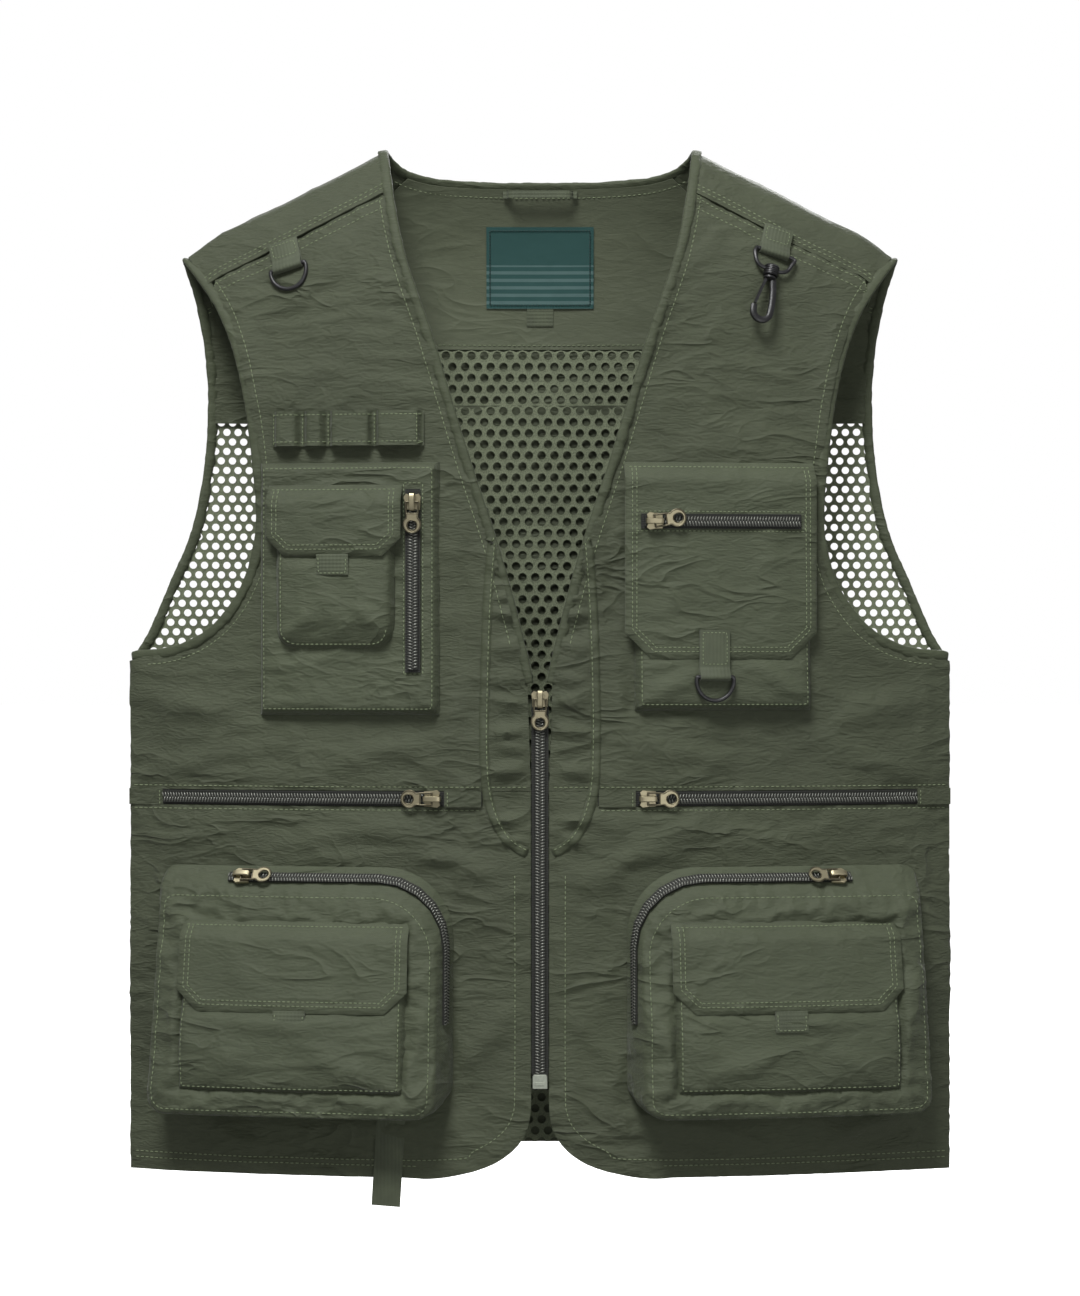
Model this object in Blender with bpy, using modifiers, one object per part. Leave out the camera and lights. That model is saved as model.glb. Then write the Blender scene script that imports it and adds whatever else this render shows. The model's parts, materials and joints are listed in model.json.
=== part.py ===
"""A sleeveless fishing vest, built piece by piece.

Every sewn piece is cut and built flat, as a pattern maker would: x runs across the vest, z is the height
above the hem, and -y stands off the cloth. wrap() then bends the flat solid round the body, which is a
lens of two arcs seen from above, closed over the shoulders. Hardware is built in small local frames that
sit on that same surface. Sizes are in millimetres; MM turns them into Blender's metres.
The frame's origin is the underside of the hang loop, +Z is up and the front of the vest faces -Y.
"""

import math

import bmesh
import bpy
from mathutils import Matrix, Vector

MM = 0.001

# Body: half width at the side seams, depths of the front and back arcs, and heights above the hem.
HALF_WIDTH = 275.0
FRONT_DEPTH = 55.0
BACK_DEPTH = 45.0
BODY_LENGTH = 679.0
SHOULDER_ROUND = 140.0
NECK_HALF = 103.0
BACK_NECK_DROP = 18.0
SHOULDER_TIP_INSET = 37.0
UNDERARM_HEIGHT = 345.0
UNDERARM_INSET = 6.0
V_BOTTOM = 325.0
FRONT_YOKE_DROP = 30.0
BACK_YOKE_HEIGHT = 510.0
BACK_CENTRE_HALF = 165.0
BACK_HEM = 12.0

# Cloth and clearances.
CLOTH = 1.2
GAP = 0.4
SEAM_GAP = 1.0
BINDING_RADIUS = 2.2
BINDING_SETBACK = BINDING_RADIUS + GAP
MESH_SETBACK = BINDING_SETBACK + 0.5
UNDERARM_SETBACK = BINDING_SETBACK + 3.0
LINING = 1.0
STATION = 27.0

# Hang loop and neck label, inside the back of the neck.
HANG_LOOP_HALF = 26.0
HANG_LOOP_STRIP = 2.0
HANG_LOOP_WIDTH = 5.0
HANG_LOOP_REACH = 7.0
HANG_LOOP_HEIGHT = 652.0
FACING_HEIGHT = 551.0
LABEL_HALF = 36.5
LABEL_TOP = 634.0
LABEL_LENGTH = 55.0
LABEL_THICK = 0.8

# Zips.
CHAIN = 6.7
CHAIN_LIFT = 1.4
TAPE = 1.2
MAIN_ZIP_TOP = 320.0
MAIN_ZIP_BOTTOM = 69.0
MAIN_ZIP_HALF = 5.6
ZIP_BOX_LENGTH = 10.0
WAIST_HEIGHT = 249.0
WAIST_WINDOW = 10.4
WAIST_INNER = 64.0
WAIST_OUTER_INSET = 25.0
WAIST_PATCH_INNER = 38.0
BAG_DEPTH = 7.6
BAG_BOTTOM = 96.0

# Zip slider and pull.
SLIDER_LENGTH = 11.0
SLIDER_WALL = 1.1
SLIDER_PLATE = 1.0
ARCH_LENGTH = 11.0
ARCH_WIDTH = 3.2
ARCH_WALL = 1.1
ARCH_HOLE = 2.0
PULL_THICK = 1.3
PULL_REACH = 14.8
PULL_RING_LONG = 5.4
PULL_RING_WIDE = 6.0
PULL_FRAME_HALF = 4.2
PULL_WINDOW_HALF = 2.5
PULL_WINDOW_REACH = 7.5
PULL_BAR = 0.7

# Right chest: tool loops over a backing pocket that carries a small pocket and a vertical zip.
CHEST_OUTER_INSET = 91.0
TOOL_LOOP_TOP = 504.0
TOOL_LOOP_WIDTH = 23.0
TOOL_LOOP_REACH = 7.0
TOOL_LOOP_WALL = 1.2
TOOL_LOOPS = (20.0, 17.0, 30.5, 32.5)
PANEL_POCKET_WIDTH = 118.0
PANEL_POCKET_TOP = 470.0
PANEL_POCKET_LENGTH = 166.0
POUCH_DEPTH = 7.6
SMALL_POUCH_INSET = 13.0
SMALL_POUCH_WIDTH = 77.0
SMALL_POUCH_BOTTOM = 346.0
SMALL_FLAP_TOP = 455.0
SMALL_FLAP_LENGTH = 47.0
SMALL_FLAP_OVERHANG = 5.0
SMALL_FLAP_CHAMFER = 12.0
CHEST_ZIP_FROM_INNER = 16.0
CHEST_ZIP_TOP = 450.0
CHEST_ZIP_BOTTOM = 334.0

# Left chest.
LEFT_FLAP_INNER = 55.0
LEFT_FLAP_WIDTH = 125.0
LEFT_FLAP_TOP = 470.0
LEFT_FLAP_LENGTH = 129.0
LEFT_FLAP_CHAMFER = 17.0
LEFT_POUCH_INNER = 62.0
LEFT_POUCH_WIDTH = 116.0
LEFT_POUCH_BOTTOM = 307.0
LEFT_ZIP_BELOW_TOP = 39.0
LEFT_ZIP_INNER = 67.0
LEFT_ZIP_OUTER = 167.0
LEFT_TAB_X = 112.5

# Flaps and their small grip tabs.
FLAP_CLOTH = 1.4
FLAP_RISE = 11.0
MOUTH_DROP = 14.0
GRIP_TAB_HALF = 10.5
GRIP_TAB_LENGTH = 13.0

# Cargo pockets: a base outline sewn to the panel and a smaller face held off it by the gusset.
CARGO_OUTER_INSET = 25.0
CARGO_WIDTH = 193.0
CARGO_TOP = 204.0
CARGO_BOTTOM = 50.0
CARGO_DEPTH_TOP = 14.0
CARGO_DEPTH_BOTTOM = 36.0
CARGO_FACE_DROP = 16.0
CARGO_FACE_SAG = 8.0
CARGO_FACE_INSET = 9.0
CARGO_FACE_OUTER_INSET = 3.0
CARGO_CORNER = 42.0
CARGO_WALL = 1.4
CARGO_ZIP_END = 98.0
PATCH_INNER = 84.0
PATCH_WIDTH = 144.0
PATCH_BOTTOM = 57.0
CARGO_FLAP_TOP = 169.0
CARGO_FLAP_LENGTH = 59.0
CARGO_FLAP_CHAMFER = 14.0

# Hardware.
WEB_WALL = 1.1
EYE_PLAY = 0.4
RING_WIRE = 1.3
RING_HALF = 11.9
RING_DROP = 15.5
TAB_WIDTH = 20.0
TAB_LENGTH = 19.0
SHOULDER_TAB_X = 166.0
SHOULDER_TAB_DROP = 48.0
SHOULDER_TILT = 17.0
HOOK_TAB_X = 154.0
HOOK_TAB_DROP = 45.0
BOSS_TOP = -10.9
BOSS_BOTTOM = -18.0
BOSS_RADIUS = 5.0
STEM_RADIUS = 1.6
STEM_HEAD_RADIUS = 3.2
HOOK_WIRE = 2.0
GATE_WIRE = 1.1
STRAP_X = 97.0
STRAP_WIDTH = 19.0
STRAP_TOP = 48.6
STRAP_LENGTH = 67.0
STRAP_THICK = 1.4
STRAP_TILT = 4.0

OLIVE = (0.075, 0.082, 0.048)
OLIVE_LIGHT = (0.10, 0.11, 0.065)
BRASS = (0.33, 0.27, 0.14)
BLACK = (0.02, 0.02, 0.024)
GUNMETAL = (0.05, 0.052, 0.045)
TEAL = (0.012, 0.07, 0.062)

FRONT, BACK = -1, 1


def arc_radius(depth):
    """Radius of the arc that rises by depth at the middle of the vest."""
    return (HALF_WIDTH**2 + depth**2) / (2 * depth)


def fold_points():
    """Shoulder fold line as (x, height), from the neck point to the tip."""
    tip = HALF_WIDTH - SHOULDER_TIP_INSET
    span = tip - NECK_HALF
    return [
        (60.0, BODY_LENGTH + 11.0),
        (NECK_HALF, BODY_LENGTH),
        (NECK_HALF + 0.5 * span, BODY_LENGTH - 34.0),
        (NECK_HALF + 0.82 * span, BODY_LENGTH - 54.0),
        (tip, BODY_LENGTH - 72.0),
    ]


def fold_height(x):
    """Height of the shoulder fold above the hem at x."""
    points = fold_points()
    x = abs(x)
    if x <= points[0][0]:
        return points[0][1]
    for (x0, z0), (x1, z1) in zip(points, points[1:]):
        if x <= x1:
            return z0 + (z1 - z0) * (x - x0) / (x1 - x0)
    return points[-1][1]


def x_stations():
    """Where flat pieces are creased along x so that they follow the arcs: the fold's corners and even steps."""
    corners = [0.0] + [x for x, _ in fold_points()] + [HALF_WIDTH - SEAM_GAP]
    found = [0.0]
    for low, high in zip(corners, corners[1:]):
        steps = math.ceil((high - low) / STATION)
        found += [low + (high - low) * k / steps for k in range(1, steps + 1)]
    return sorted({-x for x in found} | set(found))


def drop_stations():
    """Distances below the fold where pieces are creased so that they follow the round of the shoulder."""
    return [SHOULDER_ROUND * (1 - math.cos(math.radians(a))) for a in range(10, 100, 10)]


def on_body(x, run, lift):
    """Point on the vest: run is the distance from the shoulder fold, less than 0 in front and more behind."""
    depth = FRONT_DEPTH if run < 0 else BACK_DEPTH
    side = FRONT if run < 0 else BACK
    radius = arc_radius(depth)
    turn = math.acos(1 - min(abs(run), SHOULDER_ROUND) / SHOULDER_ROUND)
    swing = math.asin(x / radius)
    fall = math.sin(turn)
    point = Vector((x, side * (radius * math.cos(swing) - (radius - depth)) * fall, fold_height(x) - abs(run)))
    away = Vector((math.sin(swing) * fall, side * math.cos(swing) * fall, math.cos(turn) * depth / SHOULDER_ROUND))
    return point + away.normalized() * lift


def surface_frame(x, height, lift, side=FRONT):
    """Local frame on the vest: local X runs towards +x, local Y up the cloth and local Z out of it."""
    step = 0.5

    def at(dx, dz):
        return on_body(x + dx, side * (fold_height(x + dx) - height - dz), lift)

    point = at(0.0, 0.0)
    up = (at(0.0, step) - at(0.0, -step)).normalized()
    across = (at(step, 0.0) - at(-step, 0.0)).normalized() * -side
    out = across.cross(up).normalized()
    up = out.cross(across)
    frame = Matrix((across, up, out)).transposed().to_4x4()
    frame.translation = point
    return frame


HANG_SEAT = on_body(
    HANG_LOOP_HALF,
    fold_height(HANG_LOOP_HALF) - HANG_LOOP_HEIGHT - HANG_LOOP_WIDTH,
    -(GAP + LINING + GAP),
).y
HANG_POINT = Vector((0.0, HANG_SEAT - HANG_LOOP_REACH + 0.5 * HANG_LOOP_STRIP, HANG_LOOP_HEIGHT))


def to_world(frame):
    """Places a local frame, in millimetres above the hem, in the vest's own frame in metres."""
    placed = frame.copy()
    placed.translation = (frame.translation - HANG_POINT) * MM
    return placed


def clear_scene():
    """Empties the scene and makes the vest's collection and the cutters' collection."""
    for obj in list(bpy.data.objects):
        bpy.data.objects.remove(obj)
    made = []
    for name in ("fishing_vest", "cutters"):
        collection = bpy.data.collections.new(name)
        bpy.context.scene.collection.children.link(collection)
        made.append(collection)
    return made


VEST, CUTTERS = clear_scene()


def finish(obj, colour, roughness=0.85, metallic=0.0):
    """Gives an object its own Principled material."""
    material = bpy.data.materials.new(obj.name)
    material.use_nodes = True
    shader = material.node_tree.nodes["Principled BSDF"]
    shader.inputs["Base Color"].default_value = (*colour, 1.0)
    shader.inputs["Roughness"].default_value = roughness
    shader.inputs["Metallic"].default_value = metallic
    obj.data.materials.clear()
    obj.data.materials.append(material)


def face_out(shape):
    """Turns every face of a closed shape outwards."""
    bmesh.ops.recalc_face_normals(shape, faces=shape.faces[:])
    if shape.calc_volume(signed=True) < 0:
        bmesh.ops.reverse_faces(shape, faces=shape.faces[:])


def add_solid(name, shape, colour, frame=None, **surface):
    """Adds a bmesh as a node. With a frame the shape is local to it, without one it is on the body."""
    face_out(shape)
    bmesh.ops.scale(shape, vec=(MM, MM, MM), verts=shape.verts[:])
    if frame is None:
        frame = Matrix.Identity(4)
    mesh = bpy.data.meshes.new(name)
    shape.to_mesh(mesh)
    shape.free()
    obj = bpy.data.objects.new(name, mesh)
    obj.matrix_world = to_world(frame)
    VEST.objects.link(obj)
    finish(obj, colour, **surface)
    return obj


def about(shape, frame):
    """Moves a shape from the body's frame into a joint's local frame, for a piece that turns there."""
    bmesh.ops.transform(shape, matrix=frame.inverted(), verts=shape.verts[:])
    return shape


def crease(shape, axis, places):
    """Cuts edges across a shape at each place along an axis, without opening it."""
    normal = Vector((0, 0, 0))
    normal[axis] = 1.0
    for place in places:
        parts = shape.verts[:] + shape.edges[:] + shape.faces[:]
        bmesh.ops.bisect_plane(shape, geom=parts, dist=0.001, plane_co=normal * place, plane_no=normal)


def wrap(shape, side=FRONT, over=False):
    """Bends a flat solid round the body. Over the shoulder, z already holds the run from the fold."""
    crease(shape, 0, x_stations())
    if not over:
        for vert in shape.verts:
            vert.co.z = side * (fold_height(vert.co.x) - vert.co.z)
    drops = drop_stations()
    crease(shape, 2, [-drop for drop in drops] + [0.0] + drops)
    bmesh.ops.triangulate(shape, faces=shape.faces[:], quad_method="SHORT_EDGE", ngon_method="EAR_CLIP")
    for vert in shape.verts:
        vert.co = on_body(vert.co.x, vert.co.z, -vert.co.y)
    return shape


def value_at(size, x, z):
    """A size that is either one number or a rule of x and z."""
    return size(x, z) if callable(size) else size


def flat_face(outline, cuts=()):
    """One flat face from (x, z) points that run so that it faces -y, creased at the heights in cuts."""
    area = sum(x0 * z1 - x1 * z0 for (x0, z0), (x1, z1) in zip(outline, outline[1:] + outline[:1]))
    points = outline if area > 0 else outline[::-1]
    shape = bmesh.new()
    shape.faces.new([shape.verts.new((x, 0.0, z)) for x, z in points])
    crease(shape, 2, cuts)
    return shape


def prism(outline, low, high, cuts=()):
    """Flat solid of an outline between two lifts off the cloth."""
    shape = flat_face(outline, cuts)
    raised = bmesh.ops.extrude_face_region(shape, geom=shape.faces[:])["geom"]
    top = [item for item in raised if isinstance(item, bmesh.types.BMVert)]
    top_set = set(top)
    for vert in shape.verts:
        rule = high if vert in top_set else low
        vert.co.y = -value_at(rule, vert.co.x, vert.co.z)
    return shape


def evaluated(shape, add_modifiers):
    """Runs a shape through modifiers and returns the result as a bmesh."""
    mesh = bpy.data.meshes.new("part")
    shape.to_mesh(mesh)
    shape.free()
    obj = bpy.data.objects.new("part", mesh)
    CUTTERS.objects.link(obj)
    add_modifiers(obj)
    result = bmesh.new()
    result.from_object(obj, bpy.context.evaluated_depsgraph_get())
    bpy.data.objects.remove(obj)
    bpy.data.meshes.remove(mesh)
    return result


def combine(shape, other, operation):
    """Boolean of two closed shapes, which are in millimetres."""
    mesh = bpy.data.meshes.new("other")
    face_out(other)
    face_out(shape)
    other.to_mesh(mesh)
    other.free()
    cutter = bpy.data.objects.new("other", mesh)
    cutter.hide_render = True
    cutter.display_type = "WIRE"
    CUTTERS.objects.link(cutter)

    def add_boolean(obj):
        boolean = obj.modifiers.new("combine", "BOOLEAN")
        boolean.operation = operation
        boolean.object = cutter

    result = evaluated(shape, add_boolean)
    bpy.data.objects.remove(cutter)
    bpy.data.meshes.remove(mesh)
    return result


def cup(outline, base, depth, wall, mouth=None, foot=None, cuts=()):
    """Shell with an open back: a face at its depth and walls down to base, open above the height mouth.

    foot moves the walls' lower edge, so that they can slope.
    """
    shape = flat_face(outline, cuts)
    rim = [edge for edge in shape.edges if edge.is_boundary]
    if mouth is not None:
        rim = [edge for edge in rim if min(vert.co.z for vert in edge.verts) < mouth - GAP]
    for vert in shape.verts:
        vert.co.y = -value_at(depth, vert.co.x, vert.co.z)
    lowered = bmesh.ops.extrude_edge_only(shape, edges=rim)["geom"]
    for vert in [item for item in lowered if isinstance(item, bmesh.types.BMVert)]:
        x, z = vert.co.x, vert.co.z
        vert.co.y = -value_at(base, x, z)
        if foot is not None:
            vert.co.x, vert.co.z = foot(x, z)

    def add_solidify(obj):
        solidify = obj.modifiers.new("wall", "SOLIDIFY")
        solidify.thickness = wall
        solidify.offset = -1.0
        solidify.use_even_offset = True

    shell = evaluated(shape, add_solidify)
    for vert in shell.verts:
        floor = value_at(base, vert.co.x, vert.co.z)
        vert.co.y = -max(-vert.co.y, floor) if wall > 0 else -min(-vert.co.y, floor)
    return shell


def mirrored(outline):
    """The same outline on the wearer's right."""
    return [(-x, z) for x, z in outline]


def beside(points, distance):
    """A polyline moved sideways by distance, to its left as it runs."""
    moved = []
    for k, (x, z) in enumerate(points):
        x0, z0 = points[max(k - 1, 0)]
        x1, z1 = points[min(k + 1, len(points) - 1)]
        along = Vector((x1 - x0, z1 - z0)).normalized()
        moved.append((x - along.y * distance, z + along.x * distance))
    return moved


def smooth_path(points, step):
    """Points of a Catmull-Rom curve through the given points, about one every step."""
    vectors = [Vector(point) for point in points]
    path = []
    for k in range(len(vectors) - 1):
        before = vectors[max(k - 1, 0)]
        start, end = vectors[k], vectors[k + 1]
        after = vectors[min(k + 2, len(vectors) - 1)]
        count = max(1, round((end - start).length / step))
        for j in range(count):
            t = j / count
            path.append(
                0.5
                * (
                    2 * start
                    + (end - before) * t
                    + (2 * before - 5 * start + 4 * end - after) * t**2
                    + (3 * start - before - 3 * end + after) * t**3
                )
            )
    path.append(vectors[-1])
    return path


def tube(name, points, radius, colour, frame=None, cyclic=False, sides=1, **surface):
    """A round bar along points, as a curve object with closed ends."""
    if frame is None:
        frame = Matrix.Identity(4)
    curve = bpy.data.curves.new(name, "CURVE")
    curve.dimensions = "3D"
    curve.bevel_depth = radius * MM
    curve.bevel_resolution = sides
    curve.use_fill_caps = True
    spline = curve.splines.new("POLY")
    spline.points.add(len(points) - 1)
    for point, place in zip(spline.points, points):
        point.co = (*(Vector(place) * MM), 1.0)
    spline.use_cyclic_u = cyclic
    obj = bpy.data.objects.new(name, curve)
    obj.matrix_world = to_world(frame)
    VEST.objects.link(obj)
    finish(obj, colour, **surface)
    return obj


def plate(name, loops, thickness, colour, frame, **surface):
    """A flat plate from 2D outlines, the later ones holes, centred on its frame's local XY plane."""
    curve = bpy.data.curves.new(name, "CURVE")
    curve.dimensions = "2D"
    curve.fill_mode = "BOTH"
    curve.extrude = 0.5 * thickness * MM
    for loop in loops:
        spline = curve.splines.new("POLY")
        spline.points.add(len(loop) - 1)
        for point, (x, y) in zip(spline.points, loop):
            point.co = (x * MM, y * MM, 0.0, 1.0)
        spline.use_cyclic_u = True
    obj = bpy.data.objects.new(name, curve)
    obj.matrix_world = to_world(frame)
    VEST.objects.link(obj)
    finish(obj, colour, **surface)
    return obj


def arc(centre, radius, start, end, steps, squash=1.0):
    """Points of an arc, with angles in degrees. squash scales its height."""
    turns = [math.radians(start + (end - start) * k / steps) for k in range(steps + 1)]
    return [(centre[0] + radius * math.cos(a), centre[1] + squash * radius * math.sin(a)) for a in turns]


def mesh_of(obj):
    """A curve object's shape as a bmesh in millimetres and in the object's own frame, and the object removed."""
    bpy.context.view_layer.update()
    graph = bpy.context.evaluated_depsgraph_get()
    mesh = bpy.data.meshes.new_from_object(obj.evaluated_get(graph))
    shape = bmesh.new()
    shape.from_mesh(mesh)
    bmesh.ops.scale(shape, vec=(1 / MM,) * 3, verts=shape.verts[:])
    bmesh.ops.remove_doubles(shape, verts=shape.verts[:], dist=0.001)
    bpy.data.meshes.remove(mesh)
    bpy.data.objects.remove(obj)
    return shape


# Edges of the body, as (x, height) on the wearer's left.


def v_edge():
    """Front neck edge, from the neck point down to the top of the main zip."""
    rise = BODY_LENGTH - V_BOTTOM
    shares = ((1.0, 1.0), (0.885, 0.815), (0.67, 0.635), (0.45, 0.435), (0.225, 0.245), (0.06, 0.075), (0.0, 0.0))
    foot = MAIN_ZIP_HALF
    return [(foot + (NECK_HALF - foot) * across, V_BOTTOM + rise * up) for across, up in shares]


def back_neck_edge():
    """Back neck edge, from the neck point to the centre."""
    shares = ((1.0, 0.0), (0.91, 0.5), (0.72, 0.83), (0.39, 0.97), (0.0, 1.0))
    return [(NECK_HALF * across, BODY_LENGTH - BACK_NECK_DROP * down) for across, down in shares]


def armhole_edge(shares):
    """An armhole edge from the shoulder tip to the underarm, from shares of the armhole's height and the
    distance that each point lies inside the side seam."""
    tip = fold_height(HALF_WIDTH)
    return [(HALF_WIDTH - inset, UNDERARM_HEIGHT + (tip - UNDERARM_HEIGHT) * up) for inset, up in shares]


def front_armhole():
    """Front armhole edge, which cuts further in than the back one."""
    return armhole_edge(
        ((37, 1.0), (46, 0.96), (61, 0.875), (71, 0.785), (79, 0.67), (85, 0.515), (88.5, 0.35))
        + ((85.5, 0.245), (76, 0.15), (57, 0.06), (31, 0.01), (UNDERARM_INSET, 0.0))
    )


def back_armhole():
    """Back armhole edge."""
    return armhole_edge(
        ((37, 1.0), (45, 0.9), (51, 0.77), (53, 0.62), (50, 0.465), (42, 0.31), (27, 0.17), (14, 0.05), (UNDERARM_INSET, 0.0))
    )


def smooth_edge(points, step=22.0):
    """A smooth version of an edge, as plain (x, z) pairs."""
    return [tuple(point) for point in smooth_path(points, step)]


def below_fold(drop, low, high):
    """Points a fixed distance below the shoulder fold, between two x values."""
    corners = [x for x, _ in fold_points() if low < x < high]
    return [(x, fold_height(x) - drop) for x in [low, *corners, high]]


def split_at(edge, height):
    """The parts of an edge above and below a height, which both hold the point at that height."""
    above = [point for point in edge if point[1] > height]
    below = [point for point in edge if point[1] <= height]
    (x0, z0), (x1, z1) = above[-1], below[0]
    meeting = (x0 + (x1 - x0) * (height - z0) / (z1 - z0), height)
    return above + [meeting], [meeting] + below


def x_at_drop(edge, drop):
    """Where an edge that starts on the fold first lies drop below it."""
    for (x0, z0), (x1, z1) in zip(edge, edge[1:]):
        d0, d1 = fold_height(x0) - z0, fold_height(x1) - z1
        if d0 <= drop <= d1:
            return x0 + (x1 - x0) * (drop - d0) / (d1 - d0)
    return edge[-1][0]


def past_drop(edge, drop):
    """The points of an edge that lie more than drop below the fold."""
    return [(x, z) for x, z in edge if fold_height(x) - z > drop]


def build_fronts():
    """Upper and lower fronts on each side, with the waist zip's window between them."""
    neck = beside(smooth_edge(v_edge()), BINDING_SETBACK)
    arm = beside(smooth_edge(front_armhole()), -BINDING_SETBACK)
    side = HALF_WIDTH - SEAM_GAP
    arm = [(x, z) for x, z in arm if x < side - 2 * BINDING_SETBACK]
    seam = FRONT_YOKE_DROP + GAP
    top = below_fold(seam, x_at_drop(neck, seam), x_at_drop(arm, seam))
    window_top = WAIST_HEIGHT + 0.5 * WAIST_WINDOW
    window_bottom = WAIST_HEIGHT - 0.5 * WAIST_WINDOW
    centre = MAIN_ZIP_HALF + GAP
    neck = [(max(x, centre), z) for x, z in past_drop(neck, seam)]
    upper = top + past_drop(arm, seam) + [(side, UNDERARM_HEIGHT - UNDERARM_SETBACK)]
    upper += [(side, window_top), (centre, window_top)] + neck[::-1]
    lower = [(side, window_bottom), (side, 0.0), (66.0, 0.0), (36.0, 7.0), (18.0, 18.0), (9.0, 31.0)]
    lower += [(centre, 46.0), (centre, window_top - GAP)]
    lower += [(WAIST_PATCH_INNER - GAP, window_top - GAP), (WAIST_PATCH_INNER - GAP, window_bottom)]
    for name, outline in (("upper", upper), ("lower", lower)):
        add_solid(f"left_{name}_front", wrap(prism(outline, 0.0, CLOTH)), OLIVE)
        add_solid(f"right_{name}_front", wrap(prism(mirrored(outline), 0.0, CLOTH)), OLIVE)


def build_yoke():
    """Back yoke in one piece over both shoulders, drawn as x and the run from the fold."""
    neck = beside(smooth_edge(v_edge()), BINDING_SETBACK)
    arm = beside(smooth_edge(front_armhole()), -BINDING_SETBACK)
    back_arm = beside(smooth_edge(back_armhole()), -BINDING_SETBACK)
    back_neck = beside(smooth_edge(back_neck_edge()), BINDING_SETBACK)
    drop = FRONT_YOKE_DROP
    yoke_edge = BACK_YOKE_HEIGHT
    back_arm_above, _ = split_at(back_arm, yoke_edge)
    front_inner = x_at_drop(neck, drop)
    front_outer = x_at_drop(arm, drop)
    shoulder_neck = NECK_HALF + BINDING_SETBACK
    shoulder_tip = HALF_WIDTH - SHOULDER_TIP_INSET - BINDING_SETBACK
    half = [(x, fold_height(x) - z) for x, z in back_neck[::-1] if x < shoulder_neck - BINDING_SETBACK]
    half.append((shoulder_neck, 0.0))
    half += [(x, -drop) for x, _ in below_fold(drop, front_inner, front_outer)]
    half.append((shoulder_tip, 0.0))
    half += [(x, fold_height(x) - z) for x, z in back_arm_above[1:]]
    corners = [x for x in x_stations() if 0 <= x < half[-1][0]]
    half += [(x, fold_height(x) - yoke_edge) for x in corners[::-1]]
    outline = [point for point in half if point[0] > 0.001]
    outline = [half[0]] + outline + [half[-1]] + [(-x, run) for x, run in outline[::-1]]
    add_solid("back_yoke", wrap(prism(outline, 0.0, CLOTH), over=True), OLIVE)


def build_back():
    """Centre back, open mesh side panels, the mesh lining and the neck facing inside it."""
    top = BACK_YOKE_HEIGHT - GAP
    _, arm = split_at(beside(smooth_edge(back_armhole()), -MESH_SETBACK), top)
    side = HALF_WIDTH - SEAM_GAP
    inner = BACK_CENTRE_HALF + GAP
    arm = [(x, z) for x, z in arm if x < side - 2 * BINDING_SETBACK]
    panel = [(inner, top)] + arm + [(side, UNDERARM_HEIGHT - UNDERARM_SETBACK), (side, 0.0), (inner, 0.0)]
    add_solid("left_back_mesh", wrap(prism(panel, 0.0, CLOTH), BACK), OLIVE_LIGHT)
    add_solid("right_back_mesh", wrap(prism(mirrored(panel), 0.0, CLOTH), BACK), OLIVE_LIGHT)
    half = BACK_CENTRE_HALF
    centre = [(-half, 0.0), (half, 0.0), (half, top), (-half, top)]
    add_solid("back_panel", wrap(prism(centre, 0.0, CLOTH), BACK), OLIVE)
    low, high = -(GAP + LINING), -GAP
    half -= 2 * GAP
    lining = [(-half, BACK_HEM), (half, BACK_HEM), (half, FACING_HEIGHT - GAP), (-half, FACING_HEIGHT - GAP)]
    add_solid("back_mesh_lining", wrap(prism(lining, low, high), BACK), OLIVE_LIGHT)
    neck = [point for point in beside(smooth_edge(back_neck_edge()), BINDING_SETBACK) if point[0] > 0.001]
    neck = [(x, z) for x, z in neck if x < NECK_HALF * 0.92]
    edge_x = NECK_HALF * 1.1
    facing = [(edge_x, FACING_HEIGHT), (edge_x, neck[0][1] - 22.0)] + neck
    middle = (0.0, BODY_LENGTH - BACK_NECK_DROP - BINDING_SETBACK)
    facing = facing + [middle] + mirrored(facing)[::-1]
    add_solid("neck_facing", wrap(prism(facing, low, high), BACK), OLIVE)


def build_bindings():
    """Round bindings along the neck edge and both armholes."""
    mid = 0.5 * CLOTH
    front = [(x, -(fold_height(x) - z)) for x, z in smooth_edge(v_edge())]
    back = [(x, fold_height(x) - z) for x, z in smooth_edge(back_neck_edge())]
    half = [on_body(x, run, mid) for x, run in front[::-1] + back[1:]]
    path = half + [Vector((-p.x, p.y, p.z)) for p in half[-2::-1]]
    tube("neck_binding", path, BINDING_RADIUS, OLIVE_LIGHT)
    front = [(x, -(fold_height(x) - z)) for x, z in smooth_edge(front_armhole())]
    back = [(x, fold_height(x) - z) for x, z in smooth_edge(back_armhole())]
    turn = Vector((HALF_WIDTH - 0.4 * UNDERARM_INSET, 0.0, UNDERARM_HEIGHT - 1.0))
    ring = [on_body(x, run, mid) for x, run in front] + [turn]
    ring += [on_body(x, run, mid) for x, run in back[:0:-1]]
    for name, sign in (("left", 1), ("right", -1)):
        path = [(sign * p.x, p.y, p.z) for p in ring]
        tube(f"{name}_armhole_binding", path, BINDING_RADIUS, OLIVE_LIGHT, cyclic=True)


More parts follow.
